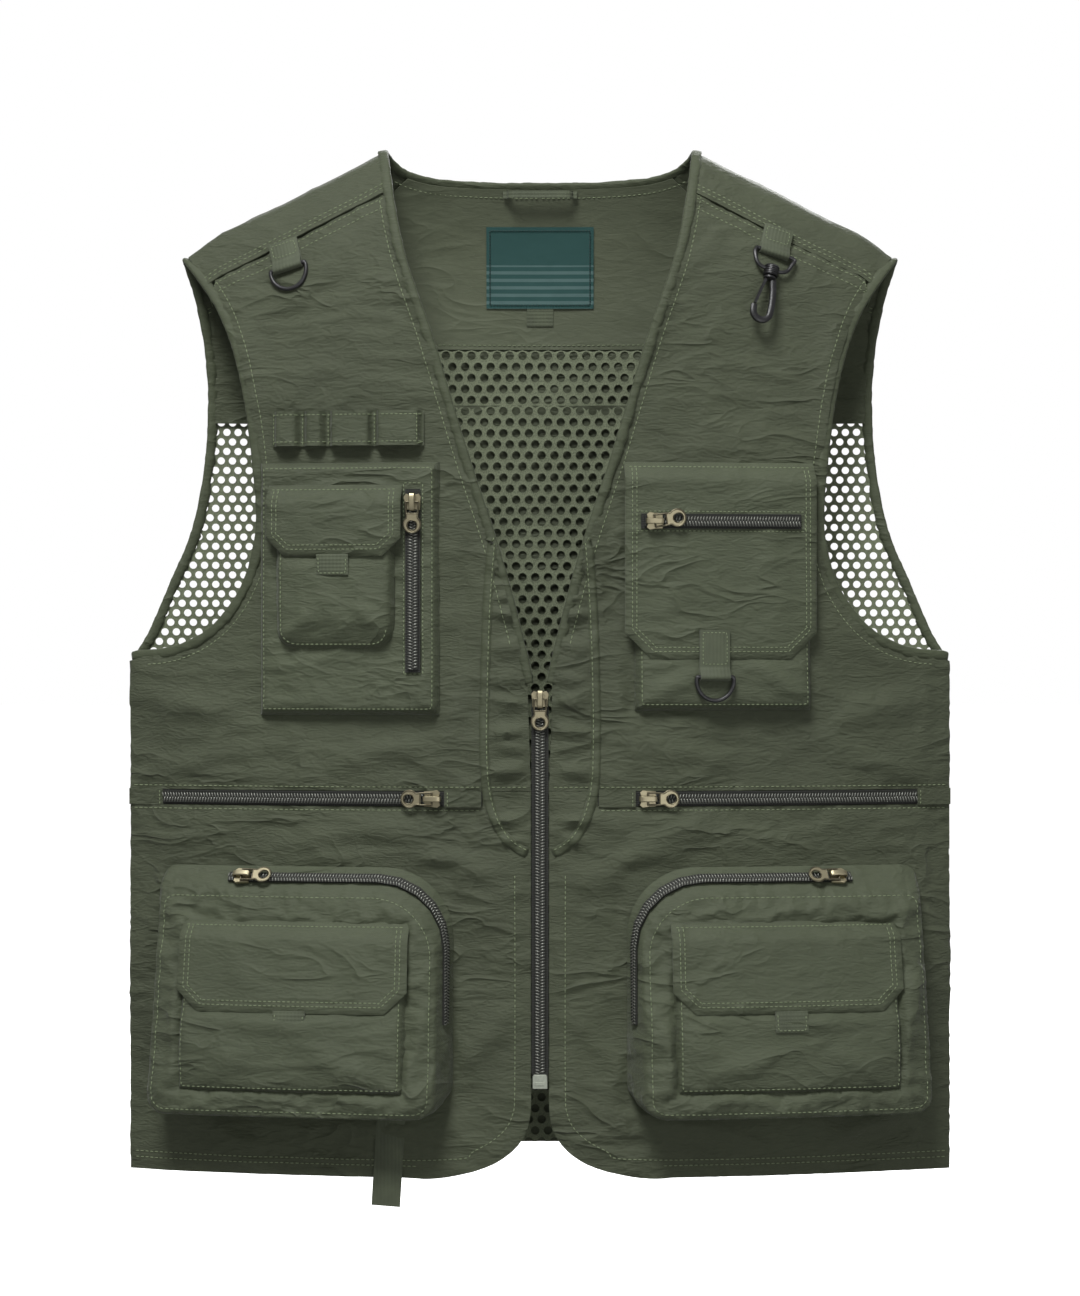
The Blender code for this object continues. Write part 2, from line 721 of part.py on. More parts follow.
def build_neck():
    """Hang loop, an arched strip that stands off the facing, and the label patch under it."""
    seat = -(GAP + LINING + GAP)
    strip, reach, half = HANG_LOOP_STRIP, HANG_LOOP_REACH, HANG_LOOP_HALF
    outer = [(half, 0.0), (half - 6.0, 0.0), (half - 8.0, reach - strip), (-half + 8.0, reach - strip)]
    outer += [(-half + 6.0, 0.0), (-half, 0.0), (-half, strip), (-half + 4.5, strip)]
    outer += [(-half + 6.5, reach), (half - 6.5, reach), (half - 4.5, strip), (half, strip)]
    frame = Matrix.Translation((0.0, HANG_SEAT, HANG_LOOP_HEIGHT + 0.5 * HANG_LOOP_WIDTH))
    loop = [(x, -y) for x, y in outer]
    plate("hang_loop", [loop], HANG_LOOP_WIDTH, OLIVE_LIGHT, frame)
    bottom = LABEL_TOP - LABEL_LENGTH
    outline = [(-LABEL_HALF, bottom), (LABEL_HALF, bottom), (LABEL_HALF, LABEL_TOP), (-LABEL_HALF, LABEL_TOP)]
    add_solid("neck_label", wrap(prism(outline, seat - LABEL_THICK, seat), BACK), TEAL)


def zip_strip(low_x, high_x, low_z, high_z, base, chain_box):
    """Flat zip: a tape with its closed teeth raised along the middle."""
    outline = [(low_x, low_z), (high_x, low_z), (high_x, high_z), (low_x, high_z)]
    tape = prism(outline, base, base + TAPE)
    cx0, cx1, cz0, cz1 = chain_box
    chain = prism([(cx0, cz0), (cx1, cz0), (cx1, cz1), (cx0, cz1)], base + 0.5 * TAPE, base + TAPE + CHAIN_LIFT)
    return combine(tape, chain, "UNION")


def slider_shape():
    """Zip slider that rides over the closed teeth: a channel plate with an arch on it for the pull.

    Local Y is the way of travel, local Z is out of the zip, and z = 0 is the tape's surface.
    """
    channel = 0.5 * CHAIN + GAP
    half = channel + SLIDER_WALL
    roof = CHAIN_LIFT + GAP
    top = roof + SLIDER_PLATE
    section = [(-half, GAP), (-half, top), (half, top), (half, GAP)]
    section += [(channel, GAP), (channel, roof), (-channel, roof), (-channel, GAP)]
    body = extruded(section, "Y", SLIDER_LENGTH)
    hole = 0.5 * ARCH_LENGTH - ARCH_WALL
    sink = 0.5 * SLIDER_PLATE
    peak = top + ARCH_HOLE + ARCH_WALL
    side = [(-0.5 * ARCH_LENGTH, top - sink), (-hole, top - sink), (-hole, top + ARCH_HOLE)]
    side += [(hole, top + ARCH_HOLE), (hole, top - sink), (0.5 * ARCH_LENGTH, top - sink)]
    side += [(0.5 * ARCH_LENGTH, peak - ARCH_WALL), (hole, peak), (-hole, peak)]
    side.append((-0.5 * ARCH_LENGTH, peak - ARCH_WALL))
    return combine(body, extruded(side, "X", ARCH_WIDTH), "UNION")


def extruded(section, axis, length):
    """Closed bar of a section, centred and running along local X (section is y, z) or Y (section is x, z)."""
    shape = bmesh.new()
    if axis == "X":
        points = [(-0.5 * length, a, b) for a, b in section]
        run = (length, 0, 0)
    else:
        points = [(a, -0.5 * length, b) for a, b in section]
        run = (0, length, 0)
    face = shape.faces.new([shape.verts.new(point) for point in points])
    raised = bmesh.ops.extrude_face_region(shape, geom=[face])["geom"]
    bmesh.ops.translate(shape, vec=run, verts=[item for item in raised if isinstance(item, bmesh.types.BMVert)])
    return shape


def pull_loops():
    """Pull outline and its two holes. The cross bar at y = 0 lies under the slider's arch."""
    frame, ring = PULL_FRAME_HALF, PULL_RING_WIDE
    outline = [(frame, PULL_BAR), (-frame, PULL_BAR), (-frame, -PULL_WINDOW_REACH)]
    outline += [(-0.9 * frame, -PULL_WINDOW_REACH - 1.6)]
    outline += arc((0.0, -PULL_REACH), ring, 150, 390, 9, PULL_RING_LONG / ring)
    outline += [(0.9 * frame, -PULL_WINDOW_REACH - 1.6), (frame, -PULL_WINDOW_REACH)]
    window = [(PULL_WINDOW_HALF, -PULL_BAR), (-PULL_WINDOW_HALF, -PULL_BAR)]
    window += [(-PULL_WINDOW_HALF, -PULL_WINDOW_REACH), (PULL_WINDOW_HALF, -PULL_WINDOW_REACH)]
    hole = arc((0.0, -PULL_REACH - 0.4), ring - 2.0, 0, 330, 11, 0.75)
    return [outline, window, hole]


SLIDER_TOP = CHAIN_LIFT + GAP + SLIDER_PLATE
PULL_AXIS_LIFT = SLIDER_TOP + 0.5 * ARCH_HOLE
slider_mesh = None


def add_slider(name, frame):
    """One slider and its pull, on a frame whose local Y is the way of travel. All share their meshes."""
    global slider_mesh
    if slider_mesh is None:
        shape = slider_shape()
        face_out(shape)
        bmesh.ops.scale(shape, vec=(MM, MM, MM), verts=shape.verts[:])
        slider_mesh = bpy.data.meshes.new("zip_slider")
        shape.to_mesh(slider_mesh)
        shape.free()
    obj = bpy.data.objects.new(f"{name}_slider", slider_mesh.copy())
    obj.matrix_world = to_world(frame)
    VEST.objects.link(obj)
    finish(obj, BRASS, roughness=0.4, metallic=1.0)
    pivot = frame @ Matrix.Translation((0.0, 0.0, PULL_AXIS_LIFT))
    plate(f"{name}_pull", pull_loops(), PULL_THICK, BRASS, pivot, roughness=0.4, metallic=1.0)


def turned(frame, degrees):
    """A frame turned about its own outward axis."""
    return frame @ Matrix.Rotation(math.radians(degrees), 4, "Z")


def build_main_zip():
    """Main zip: a tape on each side with half the closed teeth, the bottom box and the slider at the top."""
    inner, low = 0.15, MAIN_ZIP_BOTTOM
    half, bottom = MAIN_ZIP_HALF - GAP, MAIN_ZIP_BOTTOM - ZIP_BOX_LENGTH
    for side, sign in (("left", 1), ("right", -1)):
        edges = sorted((sign * inner, sign * MAIN_ZIP_HALF))
        chain = sorted((sign * inner, sign * 0.5 * CHAIN))
        shape = zip_strip(*edges, low, MAIN_ZIP_TOP, 0.0, (*chain, low, MAIN_ZIP_TOP))
        if sign > 0:
            top = low - GAP
            outline = [(-half, bottom), (half, bottom), (half, low + 1.0), (1.0, low + 1.0), (1.0, top), (-half, top)]
            shape = combine(shape, prism(outline, -0.2, TAPE + CHAIN_LIFT + 0.3), "UNION")
        add_solid(f"{side}_main_zip", wrap(shape), GUNMETAL, roughness=0.5)
    stand = MAIN_ZIP_TOP - 0.5 * SLIDER_LENGTH
    add_slider("main", surface_frame(0.0, stand, TAPE))


def build_waist():
    """Waist zips in the seam between the fronts, and the inner bags that they open into."""
    side = HALF_WIDTH - SEAM_GAP
    outer = HALF_WIDTH - WAIST_OUTER_INSET
    low = WAIST_HEIGHT - 0.5 * WAIST_WINDOW + GAP
    high = WAIST_HEIGHT + 0.5 * WAIST_WINDOW - GAP
    for name, sign in (("left", 1), ("right", -1)):
        tape = sorted((sign * WAIST_PATCH_INNER, sign * side))
        chain = sorted((sign * WAIST_INNER, sign * outer))
        chain_box = (*chain, WAIST_HEIGHT - 0.5 * CHAIN, WAIST_HEIGHT + 0.5 * CHAIN)
        add_solid(f"{name}_waist_zip", wrap(zip_strip(*tape, low, high, 0.0, chain_box)), GUNMETAL, roughness=0.5)
        stand = sign * (WAIST_INNER + 0.5 * SLIDER_LENGTH + 1.0)
        add_slider(f"{name}_waist", turned(surface_frame(stand, WAIST_HEIGHT, TAPE), 90 * sign))
        inner_x, outer_x = sorted((sign * (WAIST_INNER - 4.0), sign * (outer + 4.0)))
        outline = [(inner_x, BAG_BOTTOM), (outer_x, BAG_BOTTOM)]
        outline += [(outer_x, WAIST_HEIGHT + 8.0), (inner_x, WAIST_HEIGHT + 8.0)]
        bag = cup(outline, -GAP, -BAG_DEPTH, -LINING)
        add_solid(f"{name}_waist_bag", wrap(bag), OLIVE_LIGHT)


def chamfered(low_x, high_x, bottom, top, chamfer):
    """Flap outline with its lower corners cut off."""
    points = [(low_x, top), (low_x, bottom + chamfer), (low_x + chamfer, bottom)]
    return points + [(high_x - chamfer, bottom), (high_x, bottom + chamfer), (high_x, top)]


def flap_rules(top, under, pouch_lift):
    """Lifts of a flap's inner and outer sides: it starts close to what it is sewn to and rises over the pouch."""

    def inner(x, z):
        share = min((top - z) / FLAP_RISE, 1.0)
        return value_at(under, x, z) + GAP + share * (pouch_lift + GAP - 0.5 * GAP)

    def outer(x, z):
        return inner(x, z) + FLAP_CLOTH

    return inner, outer


def add_flap(name, low_x, high_x, top, length, chamfer, under, grip=True):
    """A pocket flap that turns at its sewn top edge, with a grip tab under its lower edge. Returns its joint frame."""
    bottom = top - length
    inner, outer = flap_rules(top, under, POUCH_DEPTH)
    outline = chamfered(low_x, high_x, bottom, top, chamfer)
    if grip:
        middle = 0.5 * (low_x + high_x)
        left, right = middle - GRIP_TAB_HALF, middle + GRIP_TAB_HALF
        tab = [(left, bottom), (left, bottom - GRIP_TAB_LENGTH), (right, bottom - GRIP_TAB_LENGTH), (right, bottom)]
        outline = outline[:3] + tab + outline[3:]
    shape = wrap(prism(outline, inner, outer, cuts=[top - FLAP_RISE]))
    middle = 0.5 * (low_x + high_x)
    hinge = surface_frame(middle, top, inner(middle, top) + 0.5 * FLAP_CLOTH)
    add_solid(name, about(shape, hinge), OLIVE, hinge)


def build_right_chest():
    """Tool loops, backing pocket, small pocket with its flap, and the vertical zip."""
    outer = -(HALF_WIDTH - CHEST_OUTER_INSET)
    seat = CLOTH + GAP
    wall, reach = TOOL_LOOP_WALL, TOOL_LOOP_REACH
    start = outer + 8.0
    over, under = [(start, wall)], [(start, 0.0)]
    x = start
    for width in TOOL_LOOPS:
        ends = (x + 1.2, x + 3.6, x + width - 3.6, x + width - 1.2)
        under += [(ends[0] + wall, 0.0), (ends[1] + wall, reach - wall), (ends[2] - wall, reach - wall)]
        under += [(ends[3] - wall, 0.0)]
        over += [(ends[0], wall), (ends[1], reach), (ends[2], reach), (ends[3], wall)]
        x += width
    over.append((x, wall))
    under.append((x, 0.0))
    shape = bmesh.new()
    low = TOOL_LOOP_TOP - TOOL_LOOP_WIDTH
    points = [(px, -(seat + lift), low) for px, lift in over + under[::-1]]
    face = shape.faces.new([shape.verts.new(point) for point in points])
    raised = bmesh.ops.extrude_face_region(shape, geom=[face])["geom"]
    lifted = [item for item in raised if isinstance(item, bmesh.types.BMVert)]
    bmesh.ops.translate(shape, vec=(0, 0, TOOL_LOOP_WIDTH), verts=lifted)
    add_solid("right_tool_loops", wrap(shape), OLIVE_LIGHT)

    inner = outer + PANEL_POCKET_WIDTH
    bottom = PANEL_POCKET_TOP - PANEL_POCKET_LENGTH
    outline = [(outer, bottom), (inner, bottom), (inner, PANEL_POCKET_TOP), (outer, PANEL_POCKET_TOP)]
    face_lift = seat + POUCH_DEPTH
    add_solid("right_chest_panel", wrap(cup(outline, seat, face_lift, CLOTH)), OLIVE)

    low_x = outer + SMALL_POUCH_INSET
    high_x = low_x + SMALL_POUCH_WIDTH
    mouth = SMALL_FLAP_TOP - MOUTH_DROP
    outline = [(low_x, mouth), (low_x, SMALL_POUCH_BOTTOM + 13.0), (low_x + 13.0, SMALL_POUCH_BOTTOM)]
    outline += [(high_x - 13.0, SMALL_POUCH_BOTTOM), (high_x, SMALL_POUCH_BOTTOM + 13.0), (high_x, mouth)]
    base = face_lift + GAP
    pouch = cup(outline, base, base + POUCH_DEPTH, CLOTH, mouth=mouth)
    add_solid("right_chest_pocket", wrap(pouch), OLIVE)
    flap_low, flap_high = low_x - SMALL_FLAP_OVERHANG, high_x + SMALL_FLAP_OVERHANG
    add_flap("right_chest_flap", flap_low, flap_high, SMALL_FLAP_TOP, SMALL_FLAP_LENGTH, SMALL_FLAP_CHAMFER, face_lift)

    x = inner - CHEST_ZIP_FROM_INNER
    half = 0.5 * CHAIN
    box = (x - half, x + half, CHEST_ZIP_BOTTOM, CHEST_ZIP_TOP)
    tape = (x - half - 1.5, x + half + 1.5, CHEST_ZIP_BOTTOM - 2.0, CHEST_ZIP_TOP + 2.0)
    add_solid("right_chest_zip", wrap(zip_strip(*tape, base, box)), GUNMETAL, roughness=0.5)
    stand = CHEST_ZIP_TOP - 0.5 * SLIDER_LENGTH - 1.0
    add_slider("right_chest", surface_frame(x, stand, base + TAPE))


def build_left_chest():
    """Open pouch under a large flap that carries its own zip, a webbing tab and a D-ring."""
    seat = CLOTH + GAP
    low_x, high_x = LEFT_POUCH_INNER, LEFT_POUCH_INNER + LEFT_POUCH_WIDTH
    mouth = LEFT_FLAP_TOP - MOUTH_DROP
    bottom = LEFT_POUCH_BOTTOM
    outline = [(low_x, bottom), (high_x, bottom), (high_x, mouth), (low_x, mouth)]
    add_solid("left_chest_pocket", wrap(cup(outline, seat, seat + POUCH_DEPTH, CLOTH, mouth=mouth)), OLIVE)

    top = LEFT_FLAP_TOP
    low_x, high_x = LEFT_FLAP_INNER, LEFT_FLAP_INNER + LEFT_FLAP_WIDTH
    add_flap("left_chest_flap", low_x, high_x, top, LEFT_FLAP_LENGTH, LEFT_FLAP_CHAMFER, CLOTH, grip=False)
    _, outer = flap_rules(top, CLOTH, POUCH_DEPTH)
    lift = outer(0.0, top - LEFT_FLAP_LENGTH)
    base = lift + GAP
    height = top - LEFT_ZIP_BELOW_TOP
    half = 0.5 * CHAIN
    box = (LEFT_ZIP_INNER, LEFT_ZIP_OUTER, height - half, height + half)
    tape = (LEFT_ZIP_INNER - 2.0, LEFT_ZIP_OUTER + 2.0, height - half - 1.5, height + half + 1.5)
    add_solid("left_chest_zip", wrap(zip_strip(*tape, base, box)), GUNMETAL, roughness=0.5)
    stand = LEFT_ZIP_INNER + 0.5 * SLIDER_LENGTH + 1.0
    add_slider("left_chest", turned(surface_frame(stand, height, base + TAPE), 90))
    eye = surface_frame(LEFT_TAB_X, top - LEFT_FLAP_LENGTH - 12.0, base)
    add_tab("left_chest_tab", eye, 31.0)
    add_ring("left_chest_dring", eye)


def eye_lift():
    """Height of a webbing tab's eye above its seat."""
    return RING_WIRE + EYE_PLAY + WEB_WALL


def add_tab(name, seat, length):
    """Webbing tab: two layers sewn together, opening into an eye round a bar at y = 0 of the seat's frame."""
    radius = eye_lift()
    hole = RING_WIRE + EYE_PLAY
    outline = [(length, 0.0)] + arc((0.0, radius), radius, 270, 90, 8)
    outline += [(1.6 * radius, 2 * WEB_WALL), (length, 2 * WEB_WALL)]
    eye = arc((0.0, radius), hole, 0, 330, 11)
    across, up, out = (seat.to_3x3().col[k] for k in range(3))
    frame = Matrix((up, out, across)).transposed().to_4x4()
    frame.translation = seat.translation
    plate(name, [outline, eye], TAB_WIDTH, OLIVE_LIGHT, frame)


def add_ring(name, seat):
    """D-ring whose straight bar lies in a tab's eye."""
    path = [(-RING_HALF, 0.0), (RING_HALF, 0.0)]
    path += arc((0.0, -2.0), RING_HALF + 0.6, 0, -180, 8, (RING_DROP - 2.0) / (RING_HALF + 0.6))
    pivot = seat @ Matrix.Translation((0.0, 0.0, eye_lift()))
    tube(name, [(x, y, 0.0) for x, y in path], RING_WIRE, BLACK, pivot, cyclic=True, roughness=0.35)


def cargo_face_lift(x, z):
    """Depth of a cargo pocket's face, which leans out towards the bottom."""
    low, high = CARGO_BOTTOM - CARGO_FACE_SAG, CARGO_TOP - CARGO_FACE_DROP
    share = (high - z) / (high - low)
    return CARGO_DEPTH_TOP + (CARGO_DEPTH_BOTTOM - CARGO_DEPTH_TOP) * share


def cargo_outline(sign):
    """Face outline of a cargo pocket with a large round corner at its top centre side."""
    outer = HALF_WIDTH - CARGO_OUTER_INSET - CARGO_FACE_OUTER_INSET
    inner = HALF_WIDTH - CARGO_OUTER_INSET - CARGO_WIDTH + CARGO_FACE_INSET
    low, high = CARGO_BOTTOM - CARGO_FACE_SAG, CARGO_TOP - CARGO_FACE_DROP
    corner = arc((inner + CARGO_CORNER, high - CARGO_CORNER), CARGO_CORNER, 90, 180, 5)
    points = [(outer, low + 10.0), (outer, high - 8.0), (outer - 8.0, high)] + corner
    points += [(inner, low + 10.0), (inner + 10.0, low), (outer - 10.0, low)]
    return [(sign * x, z) for x, z in points]


def cargo_cuts():
    """Heights at which a cargo pocket is creased, so that its twisted gusset and the zip on it agree."""
    top = CARGO_TOP - CARGO_FACE_DROP - CARGO_CORNER
    return [CARGO_ZIP_END + (top - CARGO_ZIP_END) * k / 3 for k in range(3)]


def cargo_foot(sign):
    """Rule that moves a face point to the pocket's sewn base outline."""
    outer = HALF_WIDTH - CARGO_OUTER_INSET
    face_outer = outer - CARGO_FACE_OUTER_INSET
    inner = outer - CARGO_WIDTH
    face_inner = inner + CARGO_FACE_INSET
    low, high = CARGO_BOTTOM - CARGO_FACE_SAG, CARGO_TOP - CARGO_FACE_DROP

    def move(x, z):
        share = (abs(x) - face_inner) / (face_outer - face_inner)
        rise = (z - low) / (high - low)
        return sign * (inner + (outer - inner) * share), CARGO_BOTTOM + (CARGO_TOP - CARGO_BOTTOM) * rise

    return move


def gusset_point(sign, x, z, seat):
    """Middle of the gusset at a face point, its way across towards the face, in flat coordinates."""
    face = Vector((x, -cargo_face_lift(x, z), z))
    foot_x, foot_z = cargo_foot(sign)(x, z)
    foot = Vector((foot_x, -seat, foot_z))
    return 0.5 * (face + foot), (face - foot).normalized()


def cargo_zip_shape(sign, seat):
    """Zip strip along the gusset: over the top, round the corner and down the centre side."""
    outline = cargo_outline(sign)
    path = [outline[2]] + outline[3:9]
    path += [(outline[9][0], z) for z in cargo_cuts()[::-1]]
    start = path[0]
    path[0] = (start[0] - sign * 36.0, start[1])
    rings = []
    half, low, high = 0.5 * CHAIN, GAP, GAP + TAPE + 0.5 * CHAIN_LIFT
    for k, (x, z) in enumerate(path):
        middle, across = gusset_point(sign, x, z, seat)
        before = gusset_point(sign, *path[max(k - 1, 0)], seat)[0]
        after = gusset_point(sign, *path[min(k + 1, len(path) - 1)], seat)[0]
        along = (after - before).normalized()
        out = along.cross(across) * sign
        out.normalize()
        corners = ((-half, low), (half, low), (half, high), (-half, high))
        rings.append([middle + across * a + out * b for a, b in corners])
    shape = bmesh.new()
    loops = [[shape.verts.new(point) for point in ring] for ring in rings]
    for first, second in zip(loops, loops[1:]):
        for k in range(4):
            shape.faces.new((first[k], first[(k + 1) % 4], second[(k + 1) % 4], second[k]))
    shape.faces.new(loops[0])
    shape.faces.new(loops[-1][::-1])
    return shape


def cargo_slider_frame(sign, seat):
    """Frame of a cargo slider, at the outer end of the straight top run, tilted with the gusset."""
    outline = cargo_outline(sign)
    x, z = outline[2][0] - sign * 45.0, outline[2][1]
    middle, across = gusset_point(sign, x, z, seat)
    base = surface_frame(middle.x, middle.z, -middle.y)
    lean = math.atan2(-across.y, -across.z)
    tape_top = GAP + TAPE - 0.5 * CHAIN_LIFT
    tilted = base @ Matrix.Rotation(-lean, 4, "X") @ Matrix.Translation((0.0, 0.0, tape_top))
    return turned(tilted, -90 * sign)


def build_cargo():
    """Cargo pockets with their zips, the patch pockets on their faces and the flaps over those."""
    seat = CLOTH + GAP
    for name, sign in (("left", 1), ("right", -1)):
        shell = cup(cargo_outline(sign), seat, cargo_face_lift, CARGO_WALL, foot=cargo_foot(sign), cuts=cargo_cuts())
        add_solid(f"{name}_cargo_pocket", wrap(shell), OLIVE)
        add_solid(f"{name}_cargo_zip", wrap(cargo_zip_shape(sign, seat)), GUNMETAL, roughness=0.5)
        add_slider(f"{name}_cargo", cargo_slider_frame(sign, seat))
        low_x, high_x = sorted((sign * PATCH_INNER, sign * (PATCH_INNER + PATCH_WIDTH)))
        mouth = CARGO_FLAP_TOP - MOUTH_DROP
        outline = [(low_x, PATCH_BOTTOM), (high_x, PATCH_BOTTOM), (high_x, mouth), (low_x, mouth)]

        def base(x, z):
            return cargo_face_lift(x, z) + GAP

        def depth(x, z):
            return base(x, z) + POUCH_DEPTH

        add_solid(f"{name}_cargo_patch", wrap(cup(outline, base, depth, CLOTH, mouth=mouth)), OLIVE)
        size = (CARGO_FLAP_TOP, CARGO_FLAP_LENGTH, CARGO_FLAP_CHAMFER)
        add_flap(f"{name}_cargo_flap", low_x - 1.0, high_x + 1.0, *size, cargo_face_lift)


def build_shoulders():
    """Webbing tabs sewn into the front yoke seams: a D-ring on the right, a swivel snap hook on the left."""
    seat_lift = CLOTH + GAP
    x = -SHOULDER_TAB_X
    seat = turned(surface_frame(x, fold_height(x) - SHOULDER_TAB_DROP, seat_lift), SHOULDER_TILT)
    add_tab("right_shoulder_tab", seat, TAB_LENGTH)
    add_ring("right_shoulder_dring", seat)
    x = HOOK_TAB_X
    seat = turned(surface_frame(x, fold_height(x) - HOOK_TAB_DROP, seat_lift), -SHOULDER_TILT)
    add_tab("left_shoulder_tab", seat, TAB_LENGTH)
    build_hook(seat)


def turned_solid(profile, steps=16):
    """Closed round solid about local Y from (radius, y) points."""
    shape = bmesh.new()
    points = [shape.verts.new((radius, y, 0.0)) for radius, y in profile]
    edges = [shape.edges.new(pair) for pair in zip(points, points[1:] + points[:1])]
    bmesh.ops.spin(
        shape,
        geom=points + edges,
        cent=(0, 0, 0),
        axis=(0, 1, 0),
        angle=2 * math.pi,
        steps=steps,
        use_merge=True,
    )
    bmesh.ops.remove_doubles(shape, verts=shape.verts[:], dist=0.001)
    return shape


def build_hook(seat):
    """Swivel frame in the tab's eye, the snap hook turning in its boss, and the hook's gate."""
    pivot = seat @ Matrix.Translation((0.0, 0.0, eye_lift()))
    sole = RING_WIRE + 0.5
    ring = [(-12.4, 0.0), (12.4, 0.0), (13.2, -5.0), (8.0, BOSS_TOP - sole), (-8.0, BOSS_TOP - sole), (-13.2, -5.0)]
    ring = [(px, py, 2.2 * min(1.0, -py / 8.0)) for px, py in ring]
    bar = mesh_of(tube("bar", ring, RING_WIRE, BLACK, cyclic=True))
    boss = turned_solid([(0.0, BOSS_TOP), (BOSS_RADIUS, BOSS_TOP), (BOSS_RADIUS, BOSS_BOTTOM), (0.0, BOSS_BOTTOM)])
    raise_boss = Matrix.Translation((0.0, 0.0, 2.2))
    bmesh.ops.transform(boss, matrix=raise_boss, verts=boss.verts[:])
    frame_shape = combine(bar, boss, "UNION")
    bore_radius = STEM_RADIUS + GAP
    bore = turned_solid([(0.0, 0.0), (bore_radius, 0.0), (bore_radius, -30.0), (0.0, -30.0)])
    bmesh.ops.transform(bore, matrix=raise_boss, verts=bore.verts[:])
    add_solid("hook_frame", combine(frame_shape, bore, "DIFFERENCE"), BLACK, pivot, roughness=0.35)

    swivel = pivot @ raise_boss
    head_low = BOSS_TOP + GAP
    collar_top, collar_bottom = BOSS_BOTTOM - GAP, BOSS_BOTTOM - 2.4
    stem = [(0.0, head_low + 1.6), (STEM_HEAD_RADIUS, head_low + 1.6), (STEM_HEAD_RADIUS, head_low)]
    stem += [(STEM_RADIUS, head_low), (STEM_RADIUS, collar_top), (4.2, collar_top), (4.2, collar_bottom)]
    stem.append((0.0, collar_bottom))
    spine = [(2.4, collar_bottom + 1.0), (4.4, -30.0), (5.2, -42.0)]
    spine += [(-0.6 + 5.8 * math.cos(a), -44.0 + 5.8 * math.sin(a)) for a in (math.radians(-25 * k) for k in range(8))][1:]
    spine.append((-6.6, -40.6))
    wire = mesh_of(tube("wire", [(px, py, 0.0) for px, py in spine], HOOK_WIRE, BLACK, sides=2))
    hook = combine(turned_solid(stem), wire, "UNION")
    add_solid("snap_hook", hook, BLACK, swivel, roughness=0.35)
    gate_top = (-2.6, collar_bottom - 0.8)
    gate_end = (-6.3, -39.6)
    hinge = swivel @ Matrix.Translation((gate_top[0], gate_top[1] - 1.0, 0.0))
    path = [(0.0, 1.0, 0.0), (gate_end[0] - gate_top[0], gate_end[1] - gate_top[1] + 1.0, 0.0)]
    tube("hook_gate", path, GATE_WIRE, BLACK, hinge, roughness=0.35)


def build_strap():
    """Webbing strap that hangs from under the right cargo pocket past the hem."""
    seat = surface_frame(-STRAP_X, STRAP_TOP, CLOTH + GAP + 0.5 * STRAP_THICK)
    half = 0.5 * STRAP_WIDTH
    lean = STRAP_TILT
    outline = [(-half, 0.0), (-half - lean, -STRAP_LENGTH), (half - lean, -STRAP_LENGTH), (half, 0.0)]
    plate("strap", [outline], STRAP_THICK, OLIVE_LIGHT, seat)


build_fronts()
build_yoke()
build_back()
build_bindings()
build_neck()
build_main_zip()
build_waist()
build_right_chest()
build_left_chest()
build_cargo()
build_shoulders()
build_strap()
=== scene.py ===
"""Looks of a fishing vest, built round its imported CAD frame. Lengths are in millimetres above the hem, and are
turned into the frame's metres where a mesh is made."""

import json
import logging
import math
from dataclasses import dataclass, field
from enum import Enum
from typing import Callable, Iterable, Optional, Sequence, Union

import bpy
import numpy as np
from mathutils import Matrix, Vector
from mathutils.bvhtree import BVHTree
from mathutils.geometry import delaunay_2d_cdt


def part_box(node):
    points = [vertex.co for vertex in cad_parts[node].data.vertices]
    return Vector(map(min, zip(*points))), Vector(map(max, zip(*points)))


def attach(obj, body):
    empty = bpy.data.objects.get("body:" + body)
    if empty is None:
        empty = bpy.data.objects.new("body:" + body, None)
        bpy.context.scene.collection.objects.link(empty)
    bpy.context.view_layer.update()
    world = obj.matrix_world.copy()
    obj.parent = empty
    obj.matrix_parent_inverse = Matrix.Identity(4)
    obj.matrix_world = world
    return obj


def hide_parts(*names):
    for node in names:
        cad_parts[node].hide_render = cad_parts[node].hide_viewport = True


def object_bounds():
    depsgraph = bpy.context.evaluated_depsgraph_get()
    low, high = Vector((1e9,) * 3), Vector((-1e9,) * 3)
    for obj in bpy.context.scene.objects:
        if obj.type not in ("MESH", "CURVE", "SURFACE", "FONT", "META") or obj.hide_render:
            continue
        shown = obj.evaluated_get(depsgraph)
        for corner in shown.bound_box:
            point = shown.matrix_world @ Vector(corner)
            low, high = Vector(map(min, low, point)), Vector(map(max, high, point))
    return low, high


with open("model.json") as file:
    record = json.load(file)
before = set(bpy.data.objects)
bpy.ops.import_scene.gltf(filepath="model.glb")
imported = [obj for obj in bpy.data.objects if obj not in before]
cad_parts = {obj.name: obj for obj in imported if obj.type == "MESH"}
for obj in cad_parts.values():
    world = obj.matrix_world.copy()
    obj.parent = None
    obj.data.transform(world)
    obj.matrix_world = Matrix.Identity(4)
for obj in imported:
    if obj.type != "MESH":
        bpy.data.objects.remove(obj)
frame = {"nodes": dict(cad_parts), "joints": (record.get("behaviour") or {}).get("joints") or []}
CAD_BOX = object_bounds()

LOG = logging.getLogger("fishing_vest")
MM = 0.001
Outline = list[tuple[float, float]]
Rule = Callable[[np.ndarray, np.ndarray], np.ndarray]


class Side(Enum):
    """Which face of the vest a flat piece lies on."""

    FRONT = -1
    BACK = 1
    OVER = 0


class Hand(Enum):
    """The wearer's left or right."""

    LEFT = 1
    RIGHT = -1

    @property
    def word(self) -> str:
        """The word that names start with."""
        return self.name.lower()

    def turn(self, outline: Outline) -> Outline:
        """Puts an outline of the left side on this side."""
        return [(self.value * x, z) for x, z in outline]


